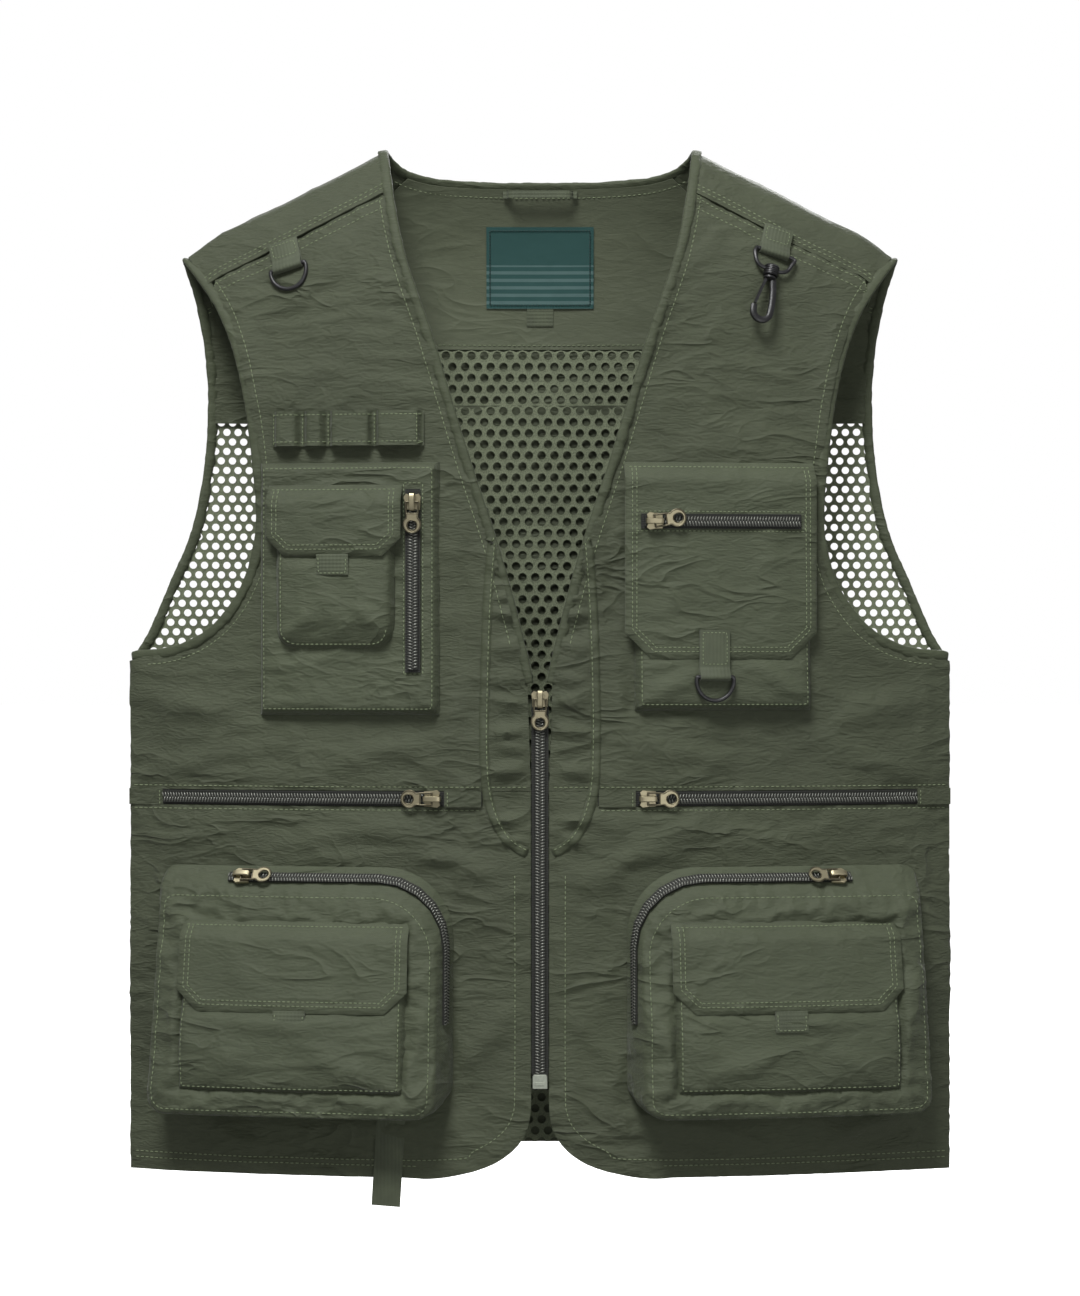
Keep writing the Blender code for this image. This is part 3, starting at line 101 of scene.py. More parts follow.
class Slot(Enum):
    """Material slots of the record."""

    SHELL = "shell_fabric"
    BINDING = "binding_fabric"
    WEBBING = "webbing"
    MESH = "mesh_fabric"
    LABEL = "label_fabric"
    TEETH = "zip_teeth"
    BRASS = "antique_brass"
    PLASTIC = "black_plastic"


# ---------------------------------------------------------------- the form


def smooth_path(points: Sequence, step: float) -> np.ndarray:
    """Points of a Catmull-Rom curve through the given points.

    Args:
        points: Corners that the curve passes through.
        step: Distance between the points that come back.

    Returns:
        An array with one row a point.
    """
    rows = np.asarray(points, float)
    ends = np.vstack([rows[0], rows, rows[-1]])
    path = []
    for before, start, end, after in zip(ends, ends[1:], ends[2:], ends[3:]):
        count = max(1, round(float(np.linalg.norm(end - start)) / step))
        for t in np.arange(count) / count:
            path.append(
                0.5
                * (
                    2 * start
                    + (end - before) * t
                    + (2 * before - 5 * start + 4 * end - after) * t**2
                    + (3 * start - before - 3 * end + after) * t**3
                )
            )
    return np.array([*path, rows[-1]])


def resampled(points: Sequence, step: float, closed: bool = False) -> np.ndarray:
    """Adds points along straight runs so that none is longer than step, and keeps every corner."""
    rows = [np.asarray(p, float) for p in points]
    ends = rows[1:] + ([rows[0]] if closed else [])
    found = []
    for start, end in zip(rows, ends):
        count = max(1, math.ceil(float(np.linalg.norm(end - start)) / step))
        found += [start + (end - start) * k / count for k in range(count)]
    return np.array(found if closed else [*found, rows[-1]])


def at_steps(points: np.ndarray, step: float) -> np.ndarray:
    """Points along a line at an even distance, whatever its corners. Numbers after the third are carried along."""
    legs = np.linalg.norm(np.diff(points[:, :3], axis=0), axis=1)
    run = np.concatenate([[0.0], np.cumsum(legs)])
    count = max(1, round(run[-1] / step))
    places = np.linspace(0.0, run[-1], count + 1)
    return np.column_stack([np.interp(places, run, points[:, k]) for k in range(points.shape[1])])


@dataclass
class VestForm:
    """The vest's surface: two arcs in plan that meet at the side seams, rounded over the shoulders."""

    half_width: float = 275.0
    front_depth: float = 55.0
    back_depth: float = 45.0
    length: float = 679.0
    round_reach: float = 140.0
    neck_half: float = 103.0
    tip_inset: float = 37.0
    underarm: float = 345.0
    underarm_inset: float = 6.0
    v_bottom: float = 325.0
    zip_half: float = 5.6
    back_neck_drop: float = 18.0
    origin: np.ndarray = field(default_factory=lambda: np.zeros(3))

    def __post_init__(self) -> None:
        """Finds where the frame's origin lies in the vest's own millimetres."""
        joint = next(j for j in frame["joints"] if j["name"] == "left_waist_zip_travel")
        centre = self.radius(self.front_depth) - self.front_depth
        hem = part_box("left_lower_front")[0].z
        self.origin = np.array([0.0, centre - joint["pos_m"][1] / MM, -hem / MM])
        tip = self.half_width - self.tip_inset
        span = tip - self.neck_half
        self.fold_x = np.array([60.0, self.neck_half, self.neck_half + 0.5 * span, self.neck_half + 0.82 * span, tip])
        self.fold_z = self.length + np.array([11.0, 0.0, -34.0, -54.0, -72.0])

    def radius(self, depth: Union[float, np.ndarray]) -> Union[float, np.ndarray]:
        """Radius of the arc that rises by depth at the middle."""
        return (self.half_width**2 + depth**2) / (2 * depth)

    def fold(self, x: np.ndarray) -> np.ndarray:
        """Height of the shoulder fold at x."""
        return np.interp(np.abs(x), self.fold_x, self.fold_z)

    def run(self, x: np.ndarray, z: np.ndarray, side: Side) -> np.ndarray:
        """Signed distance from the shoulder fold: below zero in front."""
        return np.asarray(z, float) if side is Side.OVER else side.value * (self.fold(x) - z)

    def place(self, x: np.ndarray, run: np.ndarray, lift: Union[float, np.ndarray]) -> np.ndarray:
        """Points on the vest in the frame's metres.

        Args:
            x: Distances from the middle.
            run: Signed distances from the shoulder fold.
            lift: Distances off the cloth.

        Returns:
            One row a point.
        """
        x, run, lift = np.broadcast_arrays(*(np.asarray(v, float) for v in (x, run, lift)))
        depth = np.where(run < 0, self.front_depth, self.back_depth)
        side = np.where(run < 0, -1.0, 1.0)
        radius = self.radius(depth)
        turn = np.arccos(1 - np.minimum(np.abs(run), self.round_reach) / self.round_reach)
        swing = np.arcsin(np.clip(x / radius, -1, 1))
        fall = np.sin(turn)
        point = [x, side * (radius * np.cos(swing) - (radius - depth)) * fall, self.fold(x) - np.abs(run)]
        away = np.array([np.sin(swing) * fall, side * np.cos(swing) * fall, np.cos(turn) * depth / self.round_reach])
        away = away / np.linalg.norm(away, axis=0)
        return ((np.array(point) + away * lift).T - self.origin) * MM

    def raised(self, x: np.ndarray, run: np.ndarray, lift: float) -> tuple[np.ndarray, np.ndarray]:
        """Points on the vest in metres, and the outward direction at each."""
        low = self.place(x, run, lift)
        return low, (self.place(x, run, lift + 1.0) - low) / MM

    def seat(self, x: float, z: float, lift: float, turn: float = 0.0, side: Side = Side.FRONT) -> Matrix:
        """Local frame on the vest in metres: X across, Y up the cloth, Z out, turned by degrees about Z."""
        step = 0.5

        def at(dx: float, dz: float) -> Vector:
            run = self.run(np.array([x + dx]), np.array([z + dz]), side)
            return Vector(self.place(np.array([x + dx]), run, lift)[0])

        up = (at(0, step) - at(0, -step)).normalized()
        across = (at(step, 0) - at(-step, 0)).normalized() * -side.value
        out = across.cross(up).normalized()
        made = Matrix((across, out.cross(across), out)).transposed().to_4x4()
        made.translation = at(0, 0)
        return made @ Matrix.Rotation(math.radians(turn), 4, "Z")

    def v_edge(self) -> np.ndarray:
        """Front neck edge, from the neck point down to the zip."""
        shares = ((1.0, 1.0), (0.885, 0.815), (0.67, 0.635), (0.45, 0.435), (0.225, 0.245), (0.06, 0.075), (0.0, 0.0))
        foot, rise = self.zip_half, self.length - self.v_bottom
        points = [(foot + (self.neck_half - foot) * a, self.v_bottom + rise * u) for a, u in shares]
        return smooth_path(points, 8.0)

    def back_neck_edge(self) -> np.ndarray:
        """Back neck edge, from the neck point to the middle."""
        shares = ((1.0, 0.0), (0.91, 0.5), (0.72, 0.83), (0.39, 0.97), (0.0, 1.0))
        return smooth_path([(self.neck_half * a, self.length - self.back_neck_drop * d) for a, d in shares], 8.0)

    def armhole(self, side: Side) -> np.ndarray:
        """Front or back armhole edge, from the shoulder tip to the underarm."""
        if side is Side.FRONT:
            shares = [(37, 1.0), (46, 0.96), (61, 0.875), (71, 0.785), (79, 0.67), (85, 0.515), (88.5, 0.35)]
            shares += [(85.5, 0.245), (76, 0.15), (57, 0.06), (31, 0.01), (self.underarm_inset, 0.0)]
        else:
            shares = [(37, 1.0), (45, 0.9), (51, 0.77), (53, 0.62), (50, 0.465), (42, 0.31), (27, 0.17), (14, 0.05)]
            shares += [(self.underarm_inset, 0.0)]
        rise = self.fold_z[-1] - self.underarm
        return smooth_path([(self.half_width - inset, self.underarm + rise * up) for inset, up in shares], 8.0)


FORM = VestForm()


def oblong(x0: float, x1: float, z0: float, z1: float) -> Outline:
    """Corners of an upright rectangle, from its lower first corner round."""
    return [(x0, z0), (x1, z0), (x1, z1), (x0, z1)]


def level_out(count: int, way: tuple[float, float, float] = (0.0, 0.0, 1.0)) -> np.ndarray:
    """One direction, once for each point."""
    return np.tile(way, (count, 1))


def round_points(across: float, along: float, start: float, end: float, count: int) -> Outline:
    """Points of part of an oval about zero, with angles in degrees."""
    turns = np.linspace(math.radians(start), math.radians(end), count)
    return [(across * math.cos(a), along * math.sin(a)) for a in turns]


def beside(points: np.ndarray, distance: float) -> np.ndarray:
    """A line moved sideways, to its left as it runs."""
    ahead = np.vstack([points[1:], points[-1:]]) - np.vstack([points[:1], points[:-1]])
    ahead = ahead / np.maximum(np.linalg.norm(ahead, axis=1, keepdims=True), 1e-9)
    return points + np.column_stack([-ahead[:, 1], ahead[:, 0]]) * distance


def pairs(points: np.ndarray) -> Outline:
    """An array's rows as plain pairs."""
    return [(float(x), float(z)) for x, z in points]


def arc(centre: tuple[float, float], radius: float, start: float, end: float, steps: int) -> Outline:
    """Points of an arc, with angles in degrees."""
    turns = [math.radians(start + (end - start) * k / steps) for k in range(steps + 1)]
    return [(centre[0] + radius * math.cos(a), centre[1] + radius * math.sin(a)) for a in turns]


# ---------------------------------------------------------------- crumples


def grain(x: np.ndarray, z: np.ndarray, seed: float) -> np.ndarray:
    """Smooth value noise from 0 to 1 over a plane."""
    xi, zi = np.floor(x), np.floor(z)
    fx, fz = x - xi, z - zi
    fx, fz = fx * fx * fx * (fx * (fx * 6 - 15) + 10), fz * fz * fz * (fz * (fz * 6 - 15) + 10)

    def corner(dx: int, dz: int) -> np.ndarray:
        value = np.sin((xi + dx) * 127.1 + (zi + dz) * 311.7 + seed * 74.7) * 43758.5453
        return value - np.floor(value)

    low = corner(0, 0) * (1 - fx) + corner(1, 0) * fx
    high = corner(0, 1) * (1 - fx) + corner(1, 1) * fx
    return low * (1 - fz) + high * fz


def to_line(x: np.ndarray, z: np.ndarray, line: np.ndarray) -> tuple[np.ndarray, np.ndarray]:
    """Distance from each point to a line of corners, and how far along it the nearest place is."""
    starts, ends = line[:-1], line[1:]
    legs = ends - starts
    long = np.maximum((legs**2).sum(axis=1), 1e-12)
    rel_x, rel_z = x[:, None] - starts[:, 0], z[:, None] - starts[:, 1]
    t = np.clip((rel_x * legs[:, 0] + rel_z * legs[:, 1]) / long, 0, 1)
    away = np.hypot(rel_x - t * legs[:, 0], rel_z - t * legs[:, 1])
    nearest = away.argmin(axis=1)
    rows = np.arange(len(x))
    before = np.concatenate([[0.0], np.cumsum(np.sqrt(long))])[:-1]
    return away[rows, nearest], before[nearest] + t[rows, nearest] * np.sqrt(long)[nearest]


@dataclass(frozen=True)
class Fold:
    """One soft fold across a cloth, from one place to another. A height below zero is a valley."""

    start: tuple[float, float]
    end: tuple[float, float]
    width: float = 7.0
    height: float = 1.6

    def lift(self, x: np.ndarray, z: np.ndarray) -> np.ndarray:
        """How far the fold lifts each point, dying out at its ends."""
        line = np.array([self.start, self.end], float)
        long = float(np.linalg.norm(line[1] - line[0]))
        wander = 0.35 * self.width * (grain(x / 21.0, z / 21.0, self.start[0]) - 0.5)
        away, along = to_line(x + wander, z + wander, line)
        rise = np.sin(math.pi * np.clip(along / long, 0.04, 0.96)) ** 0.7
        return self.height * np.exp(-((away / self.width) ** 2)) * rise


@dataclass(frozen=True)
class Crumple:
    """How a cloth leaves its smooth surface: broad waves, sharp creases, gathers along seams and single folds."""

    seed: float = 1.0
    broad: float = 1.1
    crease: float = 0.8
    fine: float = 0.28
    pucker: float = 0.7
    pucker_reach: float = 9.0
    seams: tuple = ()
    folds: tuple[Fold, ...] = ()
    flats: tuple[tuple[float, float, float, float], ...] = ()
    strength: float = 2.0

    def lift(self, x: np.ndarray, z: np.ndarray) -> np.ndarray:
        """Lift of each point off the smooth surface."""
        x, z = np.asarray(x, float), np.asarray(z, float)
        bend = 26.0 * (grain(x / 60.0, z / 60.0, self.seed + 9) - 0.5)
        value = self.broad * 2 * (grain((x + bend) / 74.0, (z + 0.4 * bend) / 47.0, self.seed) - 0.5)
        ridge = 1 - np.abs(2 * grain((x + bend) / 34.0, (z - bend) / 15.0, self.seed + 3) - 1)
        value += self.crease * (ridge**2.2 - 0.35)
        small = 1 - np.abs(2 * grain((x + 0.6 * bend) / 13.0, (z - 0.6 * bend) / 5.2, self.seed + 5) - 1)
        value += self.fine * (small**1.6 - 0.45)
        for line in self.seams:
            away, along = to_line(x, z, np.asarray(line, float))
            beat = 1 - np.abs(2 * grain(along / 5.4, away / 26.0, self.seed + 7) - 1)
            gather = self.pucker * (beat - 0.55) * np.exp(-((away / self.pucker_reach) ** 1.5))
            value = value * (1 - 0.75 * np.exp(-away / 3.5)) + gather - 0.35 * np.exp(-((away / 1.6) ** 2))
        for fold in self.folds:
            value = value + fold.lift(x, z)
        value = value * self.strength
        for x0, x1, z0, z1 in self.flats:
            inside = np.minimum.reduce([x - x0, x1 - x, z - z0, z1 - z])
            share = np.clip(0.5 + inside / 6.0, 0, 1)
            value = value * (1 - 0.85 * share) - 0.5 * share
        return value


NO_CRUMPLE = Crumple(broad=0.0, crease=0.0, fine=0.0, pucker=0.0)


# ---------------------------------------------------------------- meshes


@dataclass
class Flat:
    """Fine triangles over a flat outline. The first rim_count points are the outline in order."""

    x: np.ndarray
    z: np.ndarray
    faces: np.ndarray
    rim_count: int

    @property
    def area(self) -> float:
        """Flat area in square metres."""
        a, b, c = (np.column_stack([self.x, self.z])[self.faces[:, k]] for k in range(3))
        cross = (b - a)[:, 0] * (c - a)[:, 1] - (b - a)[:, 1] * (c - a)[:, 0]
        return float(np.abs(cross).sum() / 2) * MM * MM

    @property
    def size(self) -> tuple[float, float]:
        """Width and length in metres."""
        return float(np.ptp(self.x)) * MM, float(np.ptp(self.z)) * MM


def inside(x: np.ndarray, z: np.ndarray, rim: np.ndarray) -> np.ndarray:
    """Which points lie inside a closed outline."""
    x0, z0 = rim[:, 0], rim[:, 1]
    x1, z1 = np.roll(x0, -1), np.roll(z0, -1)
    crosses = (z0 > z[:, None]) != (z1 > z[:, None])
    drop = np.where(z1 == z0, 1e-9, z1 - z0)
    cut = x0 + (z[:, None] - z0) * (x1 - x0) / drop
    return (crosses & (x[:, None] < cut)).sum(axis=1) % 2 == 1


def ring_of(rim: np.ndarray) -> np.ndarray:
    """An outline with its first point again at the end."""
    return np.vstack([rim, rim[:1]])


def fill(outline: Sequence, step: float, rings: Sequence[float] = ()) -> Flat:
    """Fine triangles inside an outline.

    Args:
        outline: Closed outline as (x, z) points.
        step: Distance between neighbouring points.
        rings: Distances inside the outline at which it is repeated, for a crisp edge.

    Returns:
        The triangles.
    """
    corners = np.asarray(outline, float)
    turn = (corners[:, 0] * np.roll(corners[:, 1], -1) - np.roll(corners[:, 0], -1) * corners[:, 1]).sum()
    if turn < 0:
        corners = corners[::-1]
    rim = resampled(corners, step, closed=True)
    closed = ring_of(rim)
    low, high = rim.min(axis=0), rim.max(axis=0)
    rows = np.arange(low[1], high[1] + step, step * 0.866)
    grid = [(x + 0.5 * step * (k % 2), z) for k, z in enumerate(rows) for x in np.arange(low[0], high[0] + step, step)]
    points = np.array(grid)
    keep = inside(points[:, 0], points[:, 1], rim)
    points = points[keep]
    away, _ = to_line(points[:, 0], points[:, 1], closed)
    margin = (max(rings) if rings else 0.0) + 0.55 * step
    extra = [points[away > margin]]
    for distance in rings:
        moved = beside(np.vstack([rim[-1:], rim, rim[:1]]), distance)[1:-1]
        away, _ = to_line(moved[:, 0], moved[:, 1], closed)
        extra.append(moved[(away > 0.93 * distance) & inside(moved[:, 0], moved[:, 1], rim)])
    every = np.vstack([rim, *extra])
    count = len(rim)
    edges = [(k, (k + 1) % count) for k in range(count)]
    made = delaunay_2d_cdt([Vector(p) for p in every], edges, [], 1, 1e-4)
    flat = np.array([(v.x, v.y) for v in made[0]])
    faces = np.array([f for f in made[2] if len(f) == 3])
    used = np.unique(faces)
    if len(used) < len(flat):
        again = np.full(len(flat), -1)
        again[used] = np.arange(len(used))
        flat, faces = flat[used], again[faces]
    return Flat(flat[:, 0], flat[:, 1], faces, count)


def rim_edges(faces: np.ndarray) -> np.ndarray:
    """Directed edges that belong to one triangle only."""
    ends = np.concatenate([faces[:, [0, 1]], faces[:, [1, 2]], faces[:, [2, 0]]])
    _, index, count = np.unique(np.sort(ends, axis=1), axis=0, return_inverse=True, return_counts=True)
    return ends[count[index.reshape(-1)] == 1]


def closed_sheet(top: np.ndarray, bottom: np.ndarray, faces: np.ndarray) -> tuple[np.ndarray, list]:
    """A cloth's two faces joined by a rim."""
    count = len(top)
    rim = rim_edges(faces)
    walls = [(b, a, a + count, b + count) for a, b in rim.tolist()]
    under = (faces[:, ::-1] + count).tolist()
    return np.vstack([top, bottom]), faces.tolist() + under + walls


def add_object(
    name: str, points: np.ndarray, faces: Iterable, finish: "Finish", smooth: bool = True
) -> bpy.types.Object:
    """Makes a mesh object in the frame's metres with its finish."""
    mesh = bpy.data.meshes.new(name)
    mesh.from_pydata(np.asarray(points).tolist(), [], [tuple(f) for f in faces])
    mesh.validate()
    mesh.polygons.foreach_set("use_smooth", [smooth] * len(mesh.polygons))
    mesh.materials.append(finish.material())
    obj = bpy.data.objects.new(name, mesh)
    bpy.context.scene.collection.objects.link(obj)
    return obj


def sharpen(obj: bpy.types.Object, degrees: float = 40.0) -> bpy.types.Object:
    """Keeps edges crisp where two faces meet at more than an angle."""
    mesh = obj.data
    limit = math.cos(math.radians(degrees))
    normals = np.array([p.normal for p in mesh.polygons])
    owners: dict[tuple[int, int], list[int]] = {}
    for face in mesh.polygons:
        for key in face.edge_keys:
            owners.setdefault(key, []).append(face.index)
    for edge in mesh.edges:
        found = owners.get(edge.key, [])
        edge.use_edge_sharp = len(found) == 2 and float(normals[found[0]] @ normals[found[1]]) < limit
    return obj


def sweep(path: np.ndarray, out: np.ndarray, section: Outline, closed: bool = False) -> tuple[np.ndarray, list]:
    """A bar of one section along a path in metres.

    Args:
        path: Points along the middle.
        out: Direction of the section's second number at each point.
        section: Section as (across, out) points in millimetres.
        closed: Whether the bar joins its own start.

    Returns:
        Points and faces.
    """
    if closed:
        ahead = np.roll(path, -1, axis=0) - np.roll(path, 1, axis=0)
    else:
        ahead = np.vstack([path[1:], path[-1:]]) - np.vstack([path[:1], path[:-1]])
    ahead /= np.maximum(np.linalg.norm(ahead, axis=1, keepdims=True), 1e-12)
    out = out - ahead * (out * ahead).sum(axis=1, keepdims=True)
    out /= np.maximum(np.linalg.norm(out, axis=1, keepdims=True), 1e-12)
    across = np.cross(ahead, out)
    shape = np.array(section) * MM
    points = path[:, None] + across[:, None] * shape[None, :, :1] + out[:, None] * shape[None, :, 1:]
    count, sides = len(path), len(section)
    faces = []
    for k in range(count if closed else count - 1):
        low, high = k * sides, ((k + 1) % count) * sides
        faces += [(low + s, low + (s + 1) % sides, high + (s + 1) % sides, high + s) for s in range(sides)]
    if not closed:
        faces += [tuple(range(sides))[::-1], tuple(range((count - 1) * sides, count * sides))]
    return points.reshape(-1, 3), faces


def oval(across: float, out: float, steps: int = 12) -> Outline:
    """Section of a bar with half sizes across and out."""
    return [(across * math.cos(a), out * math.sin(a)) for a in np.linspace(0, 2 * math.pi, steps, endpoint=False)]


def bars(starts: np.ndarray, ends: np.ndarray, out: np.ndarray, width: float, height: float) -> tuple[np.ndarray, list]:
    """Many short rounded bars, such as stitches or zip teeth.

    Args:
        starts: One end of each bar, in metres.
        ends: The other end.
        out: Direction that each bar is raised in.
        width: Width in millimetres.
        height: Height in millimetres.

    Returns:
        Points and faces of all bars.
    """
    ahead = ends - starts
    ahead /= np.maximum(np.linalg.norm(ahead, axis=1, keepdims=True), 1e-12)
    across = np.cross(ahead, out)
    across /= np.maximum(np.linalg.norm(across, axis=1, keepdims=True), 1e-12)
    rings = ((0.0, 0.5, 0.35), (0.5, 1.0, 1.0), (1.0, 0.5, 0.35))
    section = ((-0.5, 0.0), (-0.28, 1.0), (0.28, 1.0), (0.5, 0.0))
    points = []
    for t, wide, tall in rings:
        middle = starts + (ends - starts) * t
        for a, b in section:
            points.append(middle + across * (a * wide * width * MM) + out * (b * tall * height * MM))
    rows = np.stack(points, axis=1)
    one = []
    for r in (0, 4):
        one += [(r + s, r + (s + 1) % 4, r + 4 + (s + 1) % 4, r + 4 + s) for s in range(4)]
    one += [(3, 2, 1, 0), (8, 9, 10, 11)]
    faces = (np.array(one)[None] + (np.arange(len(starts)) * 12)[:, None, None]).reshape(-1, 4)
    return rows.reshape(-1, 3), faces.tolist()


# ---------------------------------------------------------------- finishes


class Wire:
    """One output socket, on which sums are written as Python sums."""

    def __init__(self, paint: "Paint", socket: bpy.types.NodeSocket) -> None:
        """Keeps the socket and the paint whose nodes it belongs to."""
        self.paint, self.socket = paint, socket

    def _sum(self, operation: str, first: "Value", second: "Value") -> "Wire":
        """Adds one Math node."""
        return self.paint.node("ShaderNodeMath", {"operation": operation}, {0: first, 1: second})

    def __add__(self, other: "Value") -> "Wire":
        """Sum."""
        return self._sum("ADD", self, other)

    def __sub__(self, other: "Value") -> "Wire":
        """Difference."""
        return self._sum("SUBTRACT", self, other)

    def __rsub__(self, other: "Value") -> "Wire":
        """Difference from a number."""
        return self._sum("SUBTRACT", other, self)

    def __mul__(self, other: "Value") -> "Wire":
        """Product."""
        return self._sum("MULTIPLY", self, other)

    __radd__ = __add__
    __rmul__ = __mul__

    def __pow__(self, other: "Value") -> "Wire":
        """Power."""
        return self._sum("POWER", self, other)

    def __gt__(self, other: "Value") -> "Wire":
        """1 where this is greater."""
        return self._sum("GREATER_THAN", self, other)

    def wave(self) -> "Wire":
        """Sine."""
        return self._sum("SINE", self, 0.0)

    def size(self) -> "Wire":
        """Absolute value."""
        return self._sum("ABSOLUTE", self, 0.0)


Value = Union[Wire, float, Sequence[float]]


class Paint:
    """A material's nodes, all made by one method."""

    def __init__(self, name: str) -> None:
        """Starts a material with one Principled shader."""
        self.material = bpy.data.materials.new(name)
        self.material.use_nodes = True
        self.tree = self.material.node_tree
        self.shader = self.tree.nodes["Principled BSDF"]

    def node(
        self, kind: str, settings: Optional[dict] = None, sockets: Optional[dict] = None, out: Union[int, str] = 0
    ) -> Wire:
        """Adds one node.

        Args:
            kind: The node's type.
            settings: Its settings. "stops" holds a ramp's (place, grey) pairs.
            sockets: Values or wires of its inputs, by name or number.
            out: The output that comes back.

        Returns:
            The chosen output.
        """
        made = self.tree.nodes.new(kind)
        for key, value in (settings or {}).items():
            if key == "stops":
                ramp = made.color_ramp.elements
                while len(ramp) < len(value):
                    ramp.new(0.5)
                for stop, (place, grey) in zip(ramp, value):
                    stop.position, stop.color = place, (grey, grey, grey, 1.0)
            else:
                setattr(made, key, value)
        for key, value in (sockets or {}).items():
            self.feed(made.inputs[key], value)
        return Wire(self, made.outputs[out])

    def feed(self, socket: bpy.types.NodeSocket, value: Value) -> None:
        """Links a wire to a socket or sets its value."""
        if isinstance(value, Wire):
            self.tree.links.new(value.socket, socket)
        elif isinstance(value, (int, float)):
            socket.default_value = float(value)
        else:
            socket.default_value = tuple(value) + (1.0,) * (len(socket.default_value) - len(value))

    def place(self, scale: Sequence[float]) -> Wire:
        """Object coordinates, scaled on each axis."""
        here = self.node("ShaderNodeTexCoord", out="Object")
        return self.node("ShaderNodeMapping", {}, {"Vector": here, "Scale": scale})

    def axis(self, which: str) -> Wire:
        """One object coordinate in metres."""
        here = self.node("ShaderNodeTexCoord", out="Object")
        return self.node("ShaderNodeSeparateXYZ", {}, {0: here}, out=which)

    def noise(self, scale: Sequence[float], detail: float = 3.0, distortion: float = 0.0) -> Wire:
        """Noise from 0 to 1, with its scale on each axis per metre."""
        sockets = {"Vector": self.place(scale), "Scale": 1.0, "Detail": detail, "Distortion": distortion}
        return self.node("ShaderNodeTexNoise", {}, sockets, out="Fac")

    def mix(self, share: Value, first: Value, second: Value) -> Wire:
        """Colour between two colours."""
        return self.node("ShaderNodeMix", {"data_type": "RGBA"}, {0: share, 6: first, 7: second}, out=2)

    def ramp(self, value: Wire, *stops: tuple[float, float]) -> Wire:
        """A value put through grey stops."""
        return self.node("ShaderNodeValToRGB", {"stops": stops}, {0: value})

    def bump(self, height: Wire, distance: float, strength: float = 1.0, under: Optional[Wire] = None) -> Wire:
        """Bump of a height whose full range is distance in metres."""
        sockets = {"Height": height, "Distance": distance, "Strength": strength}
        if under is not None:
            sockets["Normal"] = under
        return self.node("ShaderNodeBump", {}, sockets, out="Normal")

    def dress(self, **sockets: Value) -> bpy.types.Material:
        """Sets the shader's sockets, with underscores for spaces in their names."""
        for key, value in sockets.items():
            self.feed(self.shader.inputs[key.replace("_", " ")], value)
        return self.material


Colour = tuple[float, float, float]


def shade(colour: Colour, factor: float) -> Colour:
    """A colour made lighter or darker."""
    return tuple(min(1.0, c * factor) for c in colour)


class Finish:
    """A finish makes its material once and hands it to every piece."""

    name: str
    made: dict[str, bpy.types.Material] = {}

    def material(self) -> bpy.types.Material:
        """The finish's one material."""
        if self.name not in Finish.made:
            Finish.made[self.name] = self.build(Paint(self.name))
        return Finish.made[self.name]

    def build(self, paint: Paint) -> bpy.types.Material:
        """Makes the material."""
        raise NotImplementedError


@dataclass(frozen=True)
class CrinkledNylon(Finish):
    """Thin matt nylon with fine level crinkles, paler on its crests as a painted highlight."""

    name: str = "crinkled_nylon"
    colour: Colour = (0.060, 0.071, 0.040)
    crinkle: float = 1.0
    roughness: float = 0.62

    def build(self, paint: Paint) -> bpy.types.Material:
        """Broad fading, level crinkles and a fine weave; the crinkle noise also lightens the colour on the crests, a
        painted highlight.
        """
        fading = paint.noise((9.0, 9.0, 11.0), 3.0, 0.4)
        crinkle = paint.noise((120.0, 120.0, 330.0), 4.0, 0.9)
        small = paint.noise((420.0, 420.0, 900.0), 2.0, 0.3)
        weave = (paint.axis("X") * 5200.0).wave() * (paint.axis("Z") * 5200.0).wave()
        # tone mixes the broad fading, a random tone, with the crinkle noise, which paints a highlight on the crinkle
        # crests
        tone = paint.ramp(fading * 0.55 + crinkle * 0.45, (0.3, 0.0), (0.7, 1.0))
        colour = paint.mix(tone, shade(self.colour, 0.86), shade(self.colour, 1.15))
        wander = paint.noise((17.0, 17.0, 40.0), 2.5, 0.7)
        patches = paint.ramp(paint.noise((13.0, 13.0, 17.0), 2.0, 0.3), (0.42, 0.0), (0.62, 1.0))
        ridge = 1.0 - (wander * 2.0 - 1.0).size()
        height = ridge ** 7.0 * patches * 0.9 + crinkle * 0.55 + small * 0.25 + weave * 0.04
        return paint.dress(
            Base_Color=colour,
            Roughness=self.roughness + 0.12 * small,
            Normal=paint.bump(height, 0.0022, self.crinkle),
            Sheen_Weight=0.12,
            Sheen_Roughness=0.4,
            Specular_IOR_Level=0.42,
        )


@dataclass(frozen=True)
class Webbing(Finish):
    """Ribbed tape or webbing."""

    name: str = "webbing"
    colour: Colour = (0.072, 0.086, 0.051)
    rib: float = 2600.0

    def build(self, paint: Paint) -> bpy.types.Material:
        """Fine ribs with worn tops."""
        ribs = (paint.axis("Z") * self.rib).wave()
        cross = (paint.axis("X") * self.rib).wave()
        worn = paint.noise((60.0, 60.0, 60.0), 4.0)
        height = ribs * 0.25 + cross * 0.18 + worn * 0.4
        colour = paint.mix(paint.ramp(worn, (0.35, 0.0), (0.7, 1.0)), shade(self.colour, 0.82), shade(self.colour, 1.2))
        rough, bump = 0.7 + 0.15 * worn, paint.bump(height, 0.0004, 0.8)
        return paint.dress(Base_Color=colour, Roughness=rough, Normal=bump, Sheen_Weight=0.1)


